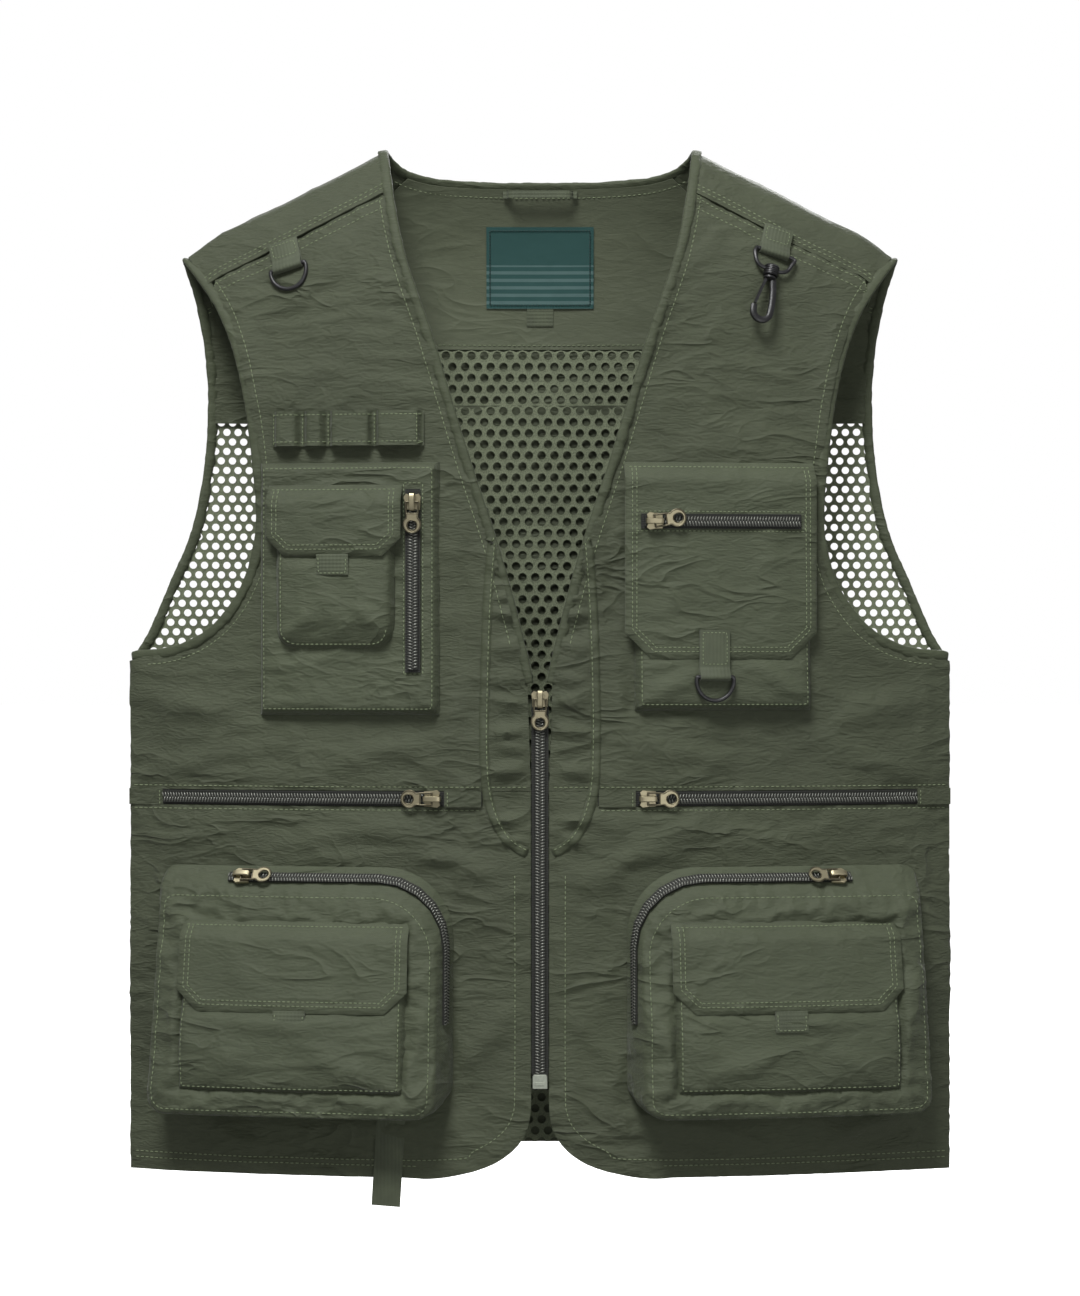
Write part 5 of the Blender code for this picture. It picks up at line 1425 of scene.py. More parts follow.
@dataclass
class Edges:
    """Folded bindings round the neck and the armholes, with the hang loop and the woven patch."""

    middle: float = 0.6
    label_half: float = 36.5
    label_top: float = 634.0
    label_long: float = 55.0

    def section(self, inward: float) -> Outline:
        """Folded band: round at the edge, flatter over the cloth."""
        side = math.copysign(1.0, inward)
        shape = [(-1.6, 0.0), (-1.2, 1.2), (0.0, 1.8), (2.6, 1.5), (4.6, 1.15), (5.0, 0.0)]
        shape += [(a, -b) for a, b in shape[-2:0:-1]]
        return [(side * a, b) for a, b in (shape if side > 0 else shape[::-1])]

    @staticmethod
    def gathered(rows: np.ndarray, path: np.ndarray, along: np.ndarray, seed: float) -> np.ndarray:
        """A band's rings of points, each a little wider or narrower about its middle."""
        gather = 0.28 * (grain(along / 3.1, along * 0, 4.0) - 0.5) + 0.2 * (grain(along / 9.0, along * 0, seed) - 0.5)
        middle = path[:, None]
        return (middle + (rows - middle) * (1 + gather[:, None, None])).reshape(-1, 3)

    def bind(
        self, name: str, x: np.ndarray, run: np.ndarray, inward: float, closed: bool, node: str
    ) -> bpy.types.Object:
        """Makes one binding along an edge, with the small gathers of a turned band."""
        path, out = FORM.raised(x, run, self.middle)
        legs = np.linalg.norm(np.diff(path, axis=0), axis=1)
        along = np.concatenate([[0.0], np.cumsum(legs)]) / MM
        points, faces = sweep(path, out, self.section(inward), closed)
        rows = points.reshape(len(path), -1, 3)
        obj = add_object(name, self.gathered(rows, path, along, 5.0), faces, BINDING)
        settle(obj, "vest", Slot.BINDING, node)
        return obj

    def build(self) -> None:
        """Makes the neck and armhole bindings, the hang loop and the patch."""
        front, back = FORM.v_edge(), FORM.back_neck_edge()
        x = np.concatenate([front[::-1, 0], back[1:, 0]])
        run = np.concatenate([-(FORM.fold(front[:, 0]) - front[:, 1])[::-1], (FORM.fold(back[:, 0]) - back[:, 1])[1:]])
        line = np.column_stack([np.concatenate([x, -x[-2::-1]]), np.concatenate([run, run[-2::-1]])])
        line = at_steps(line, 2.0)
        self.bind("neck_binding_cloth", line[:, 0], line[:, 1], 1.0, False, "neck_binding")
        for hand in Hand:
            front, back = FORM.armhole(Side.FRONT), FORM.armhole(Side.BACK)
            x = np.concatenate([front[:, 0], [272.6], back[:0:-1, 0]])
            down, up = FORM.fold(front[:, 0]) - front[:, 1], FORM.fold(back[:, 0]) - back[:, 1]
            run = np.concatenate([-down, [-262.0], up[:0:-1]])
            path, out = FORM.raised(x, run, self.middle)
            path[len(front)] = (np.array([272.6, 0.0, 344.0]) - FORM.origin * [0, 1, 1]) * MM
            out[len(front)] = (1.0, 0.0, 0.0)
            self.bind_armhole(hand, np.hstack([path, out]))
        self.add_loop()
        self.add_patch()

    def bind_armhole(self, hand: Hand, path: np.ndarray) -> None:
        """Armhole binding along a closed line with its outward directions, its long side on the cloth."""
        line = at_steps(np.vstack([path, path[:1]]), 2.0 * MM)[:-1]
        mirror = [hand.value, 1, 1]
        place, out = line[:, :3] * mirror, line[:, 3:] * mirror
        count = len(line)
        to_middle = place.mean(axis=0) - place
        for inward in (1.0, -1.0):
            points, faces = sweep(place, out, self.section(inward), True)
            rows = points.reshape(count, -1, 3)
            if ((rows.mean(axis=1) - place) * to_middle).sum(axis=1).mean() < 0:
                break
        along = np.arange(count) * 2.0
        name = f"{hand.word}_armhole_binding"
        obj = add_object(f"{name}_cloth", self.gathered(rows, place, along, 6.0), faces, BINDING)
        settle(obj, "vest", Slot.BINDING, name)

    def add_loop(self) -> None:
        """Hang loop: a narrow folded tape that stands off the facing."""
        low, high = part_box("hang_loop")
        half, back, front = 0.5 * (high.x - low.x), high.y - 0.0009, low.y + 0.001
        z = 0.5 * (low.z + high.z)
        path = [(-half + 0.001, back, z), (-half + 0.0045, back - 0.0004, z), (-half + 0.007, front, z)]
        path += [(0.0, front, z), (half - 0.007, front, z), (half - 0.0045, back - 0.0004, z), (half - 0.001, back, z)]
        line = at_steps(smooth_path(path, 0.002), 0.0015)
        out = np.tile([0.0, -1.0, 0.0], (len(line), 1))
        points, faces = sweep(line, out + [0, 0, 1e-4], [(-2.5, -0.7), (-2.5, 0.7), (2.5, 0.7), (2.5, -0.7)])
        obj = sharpen(add_object("hang_loop_cloth", points, faces, TAPE))
        settle(obj, "vest", Slot.BINDING, "hang_loop")

    def add_patch(self) -> None:
        """Woven patch with a sewn border, and the small plain tag under it."""
        low = self.label_top - self.label_long
        half = self.label_half
        outline = oblong(-half, half, low, self.label_top)
        self.inner_piece("neck_patch", outline, -2.4, PATCH, Slot.LABEL, ("neck_label",))
        tag = oblong(-9.0, 9.0, low - 12.0, low + 1.0)
        self.inner_piece("neck_tag", tag, -2.0, TAPE, Slot.LABEL, ())
        border = Thread("patch_border_thread", (0.02, 0.055, 0.05))
        rim = np.array(oblong(-half + 2.4, half - 2.4, low + 2.4, self.label_top - 2.4))
        line = at_steps(ring_of(rim), 2.0)
        placed = FORM.place(line[:, 0], FORM.run(line[:, 0], line[:, 1], Side.BACK), -2.75)
        step = np.diff(placed, axis=0)
        out = np.tile([0.0, -1.0, 0.0], (len(step), 1))
        made = bars(placed[:-1], placed[:-1] + 0.72 * step, out, 1.1, 0.5)
        settle(add_object("neck_patch_border", *made, border), "vest", Slot.LABEL)

    def inner_piece(
        self, name: str, outline: Outline, base: float, finish: Finish, slot: Slot, nodes: tuple[str, ...]
    ) -> None:
        """A flat piece on the inner side of the back, seen through the neck."""
        Cloth(
            name, outline, nodes=nodes, side=Side.BACK, base=base, thick=0.6, step=6.0, finish=finish, slot=slot
        ).sew()


# ---------------------------------------------------------------- hardware


@dataclass
class ZipRow:
    """Closed teeth along a line, in two slanting rows."""

    pitch: float = 2.0
    half: float = 3.25
    wire: float = 1.1
    height: float = 0.62

    def lay(self, name: str, middle: np.ndarray, out: np.ndarray, body: str, slot: Slot = Slot.TEETH) -> None:
        """Lays teeth along a line in metres.

        Args:
            name: Name of the piece.
            middle: Points along the middle of the chain's top.
            out: Direction out of the zip at each point.
            body: Body that it rides on.
            slot: Material slot.
        """
        line = at_steps(np.hstack([middle, out]), self.pitch * MM)
        place, away = line[:, :3], line[:, 3:]
        ahead = np.gradient(place, axis=0)
        ahead /= np.linalg.norm(ahead, axis=1, keepdims=True)
        away = away - ahead * (away * ahead).sum(axis=1, keepdims=True)
        away /= np.linalg.norm(away, axis=1, keepdims=True)
        across = np.cross(ahead, away)
        starts, ends = [], []
        for s in (1, -1):
            shift = ahead * (0.25 * self.pitch * MM * s)
            starts.append(place + across * (s * -0.25 * MM) + shift - away * 0.2 * MM)
            reach = across * (s * self.half * MM)
            ends.append(place + reach + shift + ahead * (0.45 * self.pitch * MM) - away * 0.2 * MM)
        points, faces = bars(np.vstack(starts), np.vstack(ends), np.vstack([away, away]), self.wire, self.height)
        settle(add_object(name, points, faces, COIL), body, slot)

    def along(self, name: str, start: tuple[float, float], end: tuple[float, float], lift: float, body: str) -> None:
        """Lays teeth straight on the front between two places."""
        line = at_steps(np.array([start, end], float), 4.0)
        self.lay(name, *FORM.raised(line[:, 0], FORM.run(line[:, 0], line[:, 1], Side.FRONT), lift), body)


@dataclass
class Slider:
    """Zip slider with its pull. Local Y is the way of travel and Z is out of the zip."""

    chain: float = 6.7
    roof: float = 1.8
    plate: float = 1.0
    axis_lift: float = 3.8
    reach: float = 14.8
    ring_wide: float = 6.0
    ring_long: float = 5.4

    def parts(self, pieces: list[tuple[np.ndarray, list]]) -> tuple[np.ndarray, list]:
        """Several shapes as one."""
        points, faces, start = [], [], 0
        for some, found in pieces:
            points.append(some)
            faces += [tuple(start + k for k in face) for face in found]
            start += len(some)
        return np.vstack(points), faces

    def slab(self, outline: Outline, low: float, high: float, edge: float = 0.3) -> tuple[np.ndarray, list]:
        """Plate with a softened upper rim, in metres."""
        rim = np.array(outline)
        if (rim[:, 0] * np.roll(rim[:, 1], -1) - np.roll(rim[:, 0], -1) * rim[:, 1]).sum() < 0:
            rim = rim[::-1]
        count = len(rim)
        moved = beside(np.vstack([rim[-1:], rim, rim[:1]]), edge)[1:-1]
        rings = [(moved, low), (rim, low + edge), (rim, high - edge), (moved, high)]
        points = np.vstack([np.column_stack([r, np.full(count, z)]) for r, z in rings]) * MM
        faces = [tuple(range(count))[::-1], tuple(range(3 * count, 4 * count))]
        for ring in range(3):
            a = ring * count
            faces += [(a + k, a + (k + 1) % count, a + count + (k + 1) % count, a + count + k) for k in range(count)]
        return points, faces

    def wire(self, path: Sequence, radius: float, closed: bool = True, flat: float = 1.0) -> tuple[np.ndarray, list]:
        """Round bar along local points, in metres."""
        line = np.array(path, float) * MM
        out = level_out(len(line))
        return sweep(line, out, oval(radius, radius * flat, 8), closed)

    def body_shape(self) -> tuple[np.ndarray, list]:
        """Winged top plate, side rails and the arch."""
        half = 0.5 * self.chain + 1.5
        top = self.roof + self.plate
        wing = [(-half, -5.2), (half, -5.2), (half + 0.25, -1.0), (half + 1.0, 3.4), (half - 0.6, 5.4)]
        wing += [(1.4, 4.6), (-1.4, 4.6)]
        wing += [(-half + 0.6, 5.4), (-half - 1.0, 3.4), (-half - 0.25, -1.0)]
        pieces = [self.slab(wing, self.roof, top)]
        for s in (1, -1):
            inner, outer = s * (0.5 * self.chain + 0.4), s * (half + 0.1)
            rail = [(inner, -5.2), (outer, -5.2), (outer + s * 0.6, 3.4), (outer - s * 0.4, 5.0), (inner, 4.6)]
            pieces.append(self.slab(rail, 0.45, self.roof + 0.4, 0.2))
        side = [(-5.4, top - 0.4), (-5.4, top + 1.9), (-4.2, top + 2.9), (0.0, top + 3.2)]
        side += [(-y, z) for y, z in side[2::-1]]
        line = smooth_path([(0.0, y, z) for y, z in side], 0.8) * MM
        out = np.gradient(line, axis=0)
        out = np.cross(level_out(len(line), (1.0, 0.0, 0.0)), out)
        pieces.append(sweep(line, out, [(-1.7, -0.5), (-1.9, 0.0), (-1.4, 0.5), (1.4, 0.5), (1.9, 0.0), (1.7, -0.5)]))
        return self.parts(pieces)

    def pull_shape(self) -> tuple[np.ndarray, list]:
        """Pull with a window by the slider and a ring at its end, both with raised rims."""
        centre = (0.0, -self.reach)
        turns = np.linspace(math.radians(-230), math.radians(50), 23)
        ring = [(self.ring_wide * 0.93 * math.cos(a), centre[1] + self.ring_long * math.sin(a)) for a in turns]
        left, right = [(-3.6, -9.0), (-3.9, -7.6), (-4.0, 0.2)], [(4.0, 0.2), (3.9, -7.6), (3.6, -9.0)]
        turns = np.linspace(0, 2 * math.pi, 20, endpoint=False)
        hole = [(3.3 * math.cos(a), centre[1] - 0.6 + 3.4 * math.sin(a)) for a in turns]
        frame_path = [(x, y, 0.0) for x, y in [*right, *ring[::-1], *left]]
        pieces = [self.wire(at_steps(np.array(frame_path), 0.7), 0.62, False, 1.05)]
        pieces.append(self.wire([(x, y, 0.0) for x, y in hole], 0.5, True, 1.2))
        pieces.append(self.wire([(-4.2, 0.0, 0.0), (4.2, 0.0, 0.0)], 0.66, False))
        pieces.append(self.wire([(-3.9, -7.7, 0.0), (3.9, -7.7, 0.0)], 0.6, False))
        pieces.append(self.plate_with_hole(ring, hole))
        return self.parts(pieces)

    def plate_with_hole(self, ring: Outline, hole: Outline) -> tuple[np.ndarray, list]:
        """Thin plate between the pull's rim and its hole."""
        outer = at_steps(np.array([(3.7, -7.8), *ring[::-1], (-3.7, -7.8), (3.7, -7.8)]), 0.9)[:-1]
        inner = np.array(hole)
        points = np.vstack([outer, inner])
        first, second = len(outer), len(inner)
        edges = [(k, (k + 1) % first) for k in range(first)]
        edges += [(first + k, first + (k + 1) % second) for k in range(second)]
        made = delaunay_2d_cdt([Vector(p) for p in points], edges, [], 1, 1e-5)
        flat = np.array([(v.x, v.y) for v in made[0]])
        middle = flat[np.array(made[2])].mean(axis=1)
        keep = ~inside(middle[:, 0], middle[:, 1], inner)
        faces = np.array(made[2])[keep]
        top = np.column_stack([flat, np.full(len(flat), 0.36)]) * MM
        low = top * [1, 1, -1]
        return closed_sheet(top, low, faces)

    def build(self, name: str, seat: Matrix, tilt: float = 0.0) -> None:
        """Makes one slider and its pull on their own bodies.

        Args:
            name: Zip that it belongs to.
            seat: Local frame in metres at the tape's surface.
            tilt: Degrees that the pull hangs aside.
        """
        points, faces = self.body_shape()
        obj = sharpen(add_object(f"{name}_slider_metal", points, faces, BRASS), 35.0)
        obj.matrix_world = seat
        settle(obj, f"{name}_slider", Slot.BRASS, f"{name}_slider")
        points, faces = self.pull_shape()
        obj = sharpen(add_object(f"{name}_pull_metal", points, faces, BRASS), 50.0)
        lift = Matrix.Translation((0.0, 0.0, self.axis_lift * MM))
        obj.matrix_world = seat @ lift @ Matrix.Rotation(math.radians(tilt), 4, "Z")
        settle(obj, f"{name}_pull", Slot.BRASS, f"{name}_pull")


# ---------------------------------------------------------------- pockets


@dataclass
class Pouch:
    """A flat pocket that stands off what it is sewn to, with its edge turned in."""

    node: str
    outline: Outline
    seat: float
    depth: float = 7.6
    mouth: Optional[Sequence] = None
    folds: tuple[Fold, ...] = ()
    seed: float = 11.0
    base: Optional[Rule] = None
    covered: tuple = ()
    sag: float = 0.0
    sag_reach: float = 26.0

    def sew(self) -> bpy.types.Object:
        """Makes the pouch's face, whose edge falls to its seat."""
        edge = tuple(map(tuple, self.outline)) + (tuple(self.outline[0]),)
        crumple = Crumple(
            self.seed, broad=0.8, crease=0.7, fine=0.3, pucker=0.5, pucker_reach=6.0, seams=(edge,), folds=self.folds,
            flats=self.covered,
        )
        return Cloth(
            f"{self.node}_cloth", self.outline, "vest", (self.node,), base=self.fall, thick=0.9, step=2.6,
            crumple=crumple, round_edge=self.depth - 1.1, edge_reach=2.2, open_edge=self.mouth,
            rings=(0.7, 1.5, 2.6, 4.2), finish=POCKET,
        ).sew()

    def fall(self, x: np.ndarray, z: np.ndarray) -> np.ndarray:
        """Lift of the face, which falls in towards the pocket's foot."""
        level = self.base(x, z) if self.base else np.full(len(x), self.seat + self.depth - 1.2)
        low = min(p[1] for p in self.outline)
        return level - self.sag * np.clip((low + self.sag_reach - z) / self.sag_reach, 0, 1)


@dataclass
class Flap:
    """A pocket flap with cut corners that turns at its sewn top edge, with a folded grip tab."""

    name: str
    low_x: float
    high_x: float
    top: float
    length: float
    chamfer: float
    under: Union[float, Rule]
    rise: float = 11.0
    depth: float = 7.6
    grip: bool = True
    seed: float = 20.0

    def outline(self) -> Outline:
        """Flap outline."""
        low, c = self.top - self.length, self.chamfer
        points = [(self.low_x, self.top), (self.low_x, low + c), (self.low_x + c, low)]
        return points + [(self.high_x - c, low), (self.high_x, low + c), (self.high_x, self.top)]

    def base(self, x: np.ndarray, z: np.ndarray) -> np.ndarray:
        """Lift of the flap's inner side."""
        share = np.clip((self.top - z) / self.rise, 0, 1)
        under = self.under(x, z) if callable(self.under) else self.under
        return under + 0.4 + share * (self.depth + 0.2)

    def inset(self, distance: float) -> np.ndarray:
        """A line inside the flap's free edges."""
        line = np.array(self.outline())
        return beside(resampled(line, 2.0), distance)

    def sew(self) -> bpy.types.Object:
        """Makes the flap, its grip and its double rows."""
        edge = tuple(self.outline())
        middle = 0.5 * (self.low_x + self.high_x)
        width = self.high_x - self.low_x
        low, top, tall = self.low_x, self.top, self.length
        folds = (
            Fold((low + 0.2 * width, top - 12), (low + 0.35 * width, top - 0.8 * tall), 7, 0.7),
            Fold((middle + 0.2 * width, top - 15), (middle + 0.34 * width, top - 0.9 * tall), 8, 0.7),
        )
        crumple = Crumple(
            self.seed, broad=0.6, crease=0.35, fine=0.15, pucker=0.35, pucker_reach=5.0, seams=(edge,), folds=folds
        )
        obj = Cloth(
            f"{self.name}_cloth", self.outline(), self.name, (self.name,), base=self.base, thick=1.4, step=2.8,
            crumple=crumple, round_edge=0.5, edge_reach=1.3, rings=(0.8, 2.0), finish=POCKET,
        ).sew()
        sewing = Sewing(obj)
        lift = float(np.max(self.base(np.array([middle]), np.array([self.top - 20.0])))) + 2
        for inset in (4.6, 7.4):
            line = self.inset(inset)
            line = line[(line[:, 1] < self.top - 3.0)]
            sewing.row(pairs(line), lift=lift, pitch=3.0)
        sewing.row([(self.low_x + 3, self.top - 3.2), (self.high_x - 3, self.top - 3.2)], lift=lift, pitch=3.0)
        if self.grip:
            self.add_grip(middle, sewing, lift)
        sewing.done(f"{self.name}_stitching", self.name)
        return obj

    def add_grip(self, middle: float, sewing: Sewing, lift: float) -> None:
        """Folded webbing tab under the flap's edge."""
        low = self.top - self.length
        left, right = middle - 10.2, middle + 10.2
        outline = [(left, low + 1.5), (left, low - 12.2), (right, low - 12.2), (right, low + 1.5)]
        obj = Cloth(
            f"{self.name}_grip", outline, self.name, base=lambda x, z: self.base(x, z) + 0.9, thick=1.7, step=3.0,
            crumple=Crumple(3.0, 0.3, 0.2, 0.1, 0.0), round_edge=0.5, edge_reach=1.0, rings=(0.7,), finish=TAPE,
            slot=Slot.WEBBING,
        ).sew()
        row = [(left + 1.4, low - 1.0), (left + 1.4, low - 11.0), (right - 1.4, low - 11.0), (right - 1.4, low - 1.0)]
        sewing.take(Sewing(obj).row(row, lift=lift, pitch=2.6))


@dataclass
class RightChest:
    """Tool loops, a backing pocket with an upright zip, and a small flapped pocket on it."""

    outer: float = -184.0
    width: float = 118.0
    top: float = 470.0
    length: float = 166.0
    seat: float = 1.6
    loops: tuple[float, ...] = (20.0, 17.0, 30.5, 32.5)
    loop_top: float = 504.0
    loop_wide: float = 23.0

    def build(self) -> None:
        """Makes the right chest."""
        self.tool_loops()
        outer, inner, bottom = self.outer, self.outer + self.width, self.top - self.length
        outline = oblong(outer, inner, bottom, self.top)
        folds = (Fold((-90, 330), (-70, 312), 6, 1.0), Fold((-176, 345), (-150, 312), 7, 0.8))
        face = self.seat + 7.6
        panel = Pouch("right_chest_panel", outline, self.seat, folds=folds).sew()
        around = oblong(outer + 4, inner - 4, bottom + 4, self.top - 4)
        sewing = Sewing(panel).row([*around, around[0]], lift=10, pitch=3.1)
        zip_x = inner - 16.0
        for s in (-1, 1):
            x = zip_x + 6.2 * s
            sewing.row([(x, 331.0), (x, 456.0)], lift=10, pitch=2.8)
        for z in (331.0, 456.0):
            sewing.row([(zip_x - 6, z), (zip_x + 6, z)], lift=10, pitch=2.8)
        self.small_pocket(face, sewing)
        sewing.done("right_chest_stitching")
        ZipRow().along("right_chest_teeth", (zip_x, 334.5), (zip_x, 443.0), face + 0.4 + 2.6, "vest")
        Slider().build("right_chest", FORM.seat(zip_x, 443.5, face + 0.4 + 1.2))

    def small_pocket(self, face: float, sewing: Sewing) -> None:
        """Small pocket with round lower corners and its flap."""
        low_x, high_x, low, mouth = self.outer + 13.0, self.outer + 90.0, 346.0, 441.0
        outline = [(high_x, mouth), (low_x, mouth)]
        outline += arc((low_x + 14, low + 14), 14, 180, 270, 5) + arc((high_x - 14, low + 14), 14, 270, 360, 5)
        folds = (Fold((-172, 352), (-140, 372), 6, 1.6), Fold((-98, 350), (-118, 380), 7, 1.8))
        folds += (Fold((-160, 420), (-120, 350), 9, 0.9),)
        lip = [(low_x + 1.0, mouth), (high_x - 1.0, mouth)]
        covered = ((low_x - 9, high_x + 9, 404.0, 460.0),)
        pocket = Pouch(
            "right_chest_pocket", outline, face + 0.4, mouth=lip, folds=folds, seed=13.0, covered=covered, sag=4.6
        )
        inner_row = beside(np.array(resampled(outline[1:], 2.0)), 4.5)
        sewing.take(Sewing(pocket.sew()).row(pairs(inner_row), lift=18, pitch=3.1))
        Flap("right_chest_flap", low_x - 5.0, high_x + 5.0, 455.0, 47.0, 12.0, face).sew()

    def tool_loops(self) -> None:
        """One tape sewn down between four raised loops."""
        x = self.outer + 8.0
        line = [(x, 0.6)]
        reach = 7.0
        seams = [x + 0.8]
        for width in self.loops:
            line += [(x + 1.0, 0.6), (x + 2.6, 0.45 * reach), (x + 4.6, reach - 0.8), (x + 0.5 * width, reach)]
            line += [(x + width - 4.6, reach - 0.8), (x + width - 2.6, 0.45 * reach), (x + width - 1.0, 0.6)]
            x += width
            seams.append(x)
        line.append((x, 0.6))
        profile = at_steps(smooth_path(line, 1.0), 1.2)
        low = self.loop_top - self.loop_wide
        rows = np.linspace(low, self.loop_top, 10)
        grid_x = np.repeat(profile[:, 0], len(rows))
        grid_z = np.tile(rows, len(profile))
        sag = 0.5 * (grain(grid_x / 9.0, grid_z / 6.0, 3.0) - 0.5)
        lift = np.repeat(profile[:, 1], len(rows)) + self.seat + sag
        faces = []
        for k in range(len(profile) - 1):
            for j in range(len(rows) - 1):
                a = k * len(rows) + j
                faces += [(a, a + len(rows), a + len(rows) + 1), (a, a + len(rows) + 1, a + 1)]
        run = FORM.run(grid_x, grid_z, Side.FRONT)
        top, bottom = FORM.place(grid_x, run, lift + 0.5), FORM.place(grid_x, run, lift - 0.6)
        points, every = closed_sheet(top, bottom, np.array(faces))
        obj = sharpen(add_object("right_tool_loops_cloth", points, every, POCKET), 60)
        settle(obj, "vest", Slot.WEBBING, "right_tool_loops")
        sewing = Sewing(obj)
        for seam in seams:
            sewing.row([(seam, low + 1.0), (seam, self.loop_top - 1.0)], lift=12, pitch=2.6)
        for z in (low + 2.6, self.loop_top - 2.6):
            sewing.row([(seams[0], z), (seams[-1], z)], lift=12, pitch=3.0)
        sewing.done("right_tool_loop_stitching")


@dataclass
class LeftChest:
    """Open pouch under a large flap with its own zip and a webbing tab."""

    low_x: float = 55.0
    width: float = 125.0
    top: float = 470.0
    length: float = 129.0

    def build(self) -> None:
        """Makes the left chest."""
        low, high, mouth = 62.0, 178.0, 456.0
        outline = oblong(low, high, 307.0, mouth)
        folds = (Fold((70, 318), (108, 332), 6, 1.2), Fold((172, 316), (140, 336), 6, 1.2))
        lip = [(low + 1, mouth), (high - 1, mouth)]
        covered = ((low - 9, high + 9, 339.0, 480.0),)
        pouch = Pouch("left_chest_pocket", outline, 1.6, mouth=lip, folds=folds, seed=14.0, covered=covered).sew()
        row = [(low + 4, 380), (low + 4, 311), (high - 4, 311), (high - 4, 380)]
        Sewing(pouch).row(row, lift=10, pitch=3.1).done("left_chest_stitching")
        high_x = self.low_x + self.width
        flap = Flap("left_chest_flap", self.low_x, high_x, self.top, self.length, 17.0, 1.2, grip=False, seed=22.0)
        cloth = flap.sew()
        height = self.top - 39.0
        lift = 1.2 + 0.4 + 7.8 + 1.4
        sewing = Sewing(cloth)
        for s in (-1, 1):
            sewing.row([(62.0, height + 6.4 * s), (172.0, height + 6.4 * s)], lift=12, pitch=2.8)
        sewing.row([(172.0, height - 6), (172.0, height + 6)], lift=12, pitch=2.8)
        sewing.done("left_chest_zip_stitching", "left_chest_flap")
        ZipRow().along("left_chest_teeth", (76.0, height), (166.5, height), lift + 0.4 + 2.6, "left_chest_flap")
        Slider().build("left_chest", FORM.seat(73.5, height, lift + 0.4 + 1.2, 90.0), 8.0)
        Tab("left_chest_tab", 112.5, self.top - self.length - 12.0, lift + 0.4, 31.0, 0.0, "left_chest_flap").sew()
        Ring("left_chest_dring", FORM.seat(112.5, self.top - self.length - 12.0, lift + 0.4)).build()


@dataclass
class Waist:
    """Waist zip in the seam, with its end patches and the bag behind it."""

    height: float = 249.0

    def build(self, hand: Hand) -> None:
        """Makes one waist pocket."""
        s, word = hand.value, hand.word
        ZipRow().along(f"{word}_waist_teeth", (s * 76.0, self.height), (s * 249.5, self.height), 2.6, "vest")
        Slider().build(f"{word}_waist", FORM.seat(s * 70.5, self.height, 1.2, 90.0 * s))
        for part, x0, x1 in (("inner", 38.4, 62.6), ("outer", 251.0, 274.0)):
            outline = hand.turn(oblong(x0, x1, self.height - 5.4, self.height + 5.4))
            crumple = Crumple(4.0, 0.2, 0.2, 0.1, 0.0)
            name = f"{word}_waist_{part}"
            patch = Cloth(f"{name}_patch", outline, base=1.2, thick=1.0, step=3.0, crumple=crumple, rings=(1.0,)).sew()
            edge = s * (x1 - 2.0 if part == "inner" else x0 + 2.0)
            row = [(edge, self.height - 5), (edge, self.height + 5)]
            Sewing(patch).row(row, lift=4, pitch=2.4).done(f"{name}_bartack")
        bag = hand.turn(oblong(60.0, 254.0, 96.0, 257.0))
        Cloth(
            f"{word}_waist_bag_cloth", bag, nodes=(f"{word}_waist_bag",), thick=0.8, step=6.0,
            base=lambda x, z: np.full(len(x), -7.6), crumple=Crumple(9.0, 0.5, 0.3, 0.1, 0.0),
            round_edge=-6.6, edge_reach=3.0, rings=(1.0, 2.4, 4.5), finish=LINING,
        ).sew()


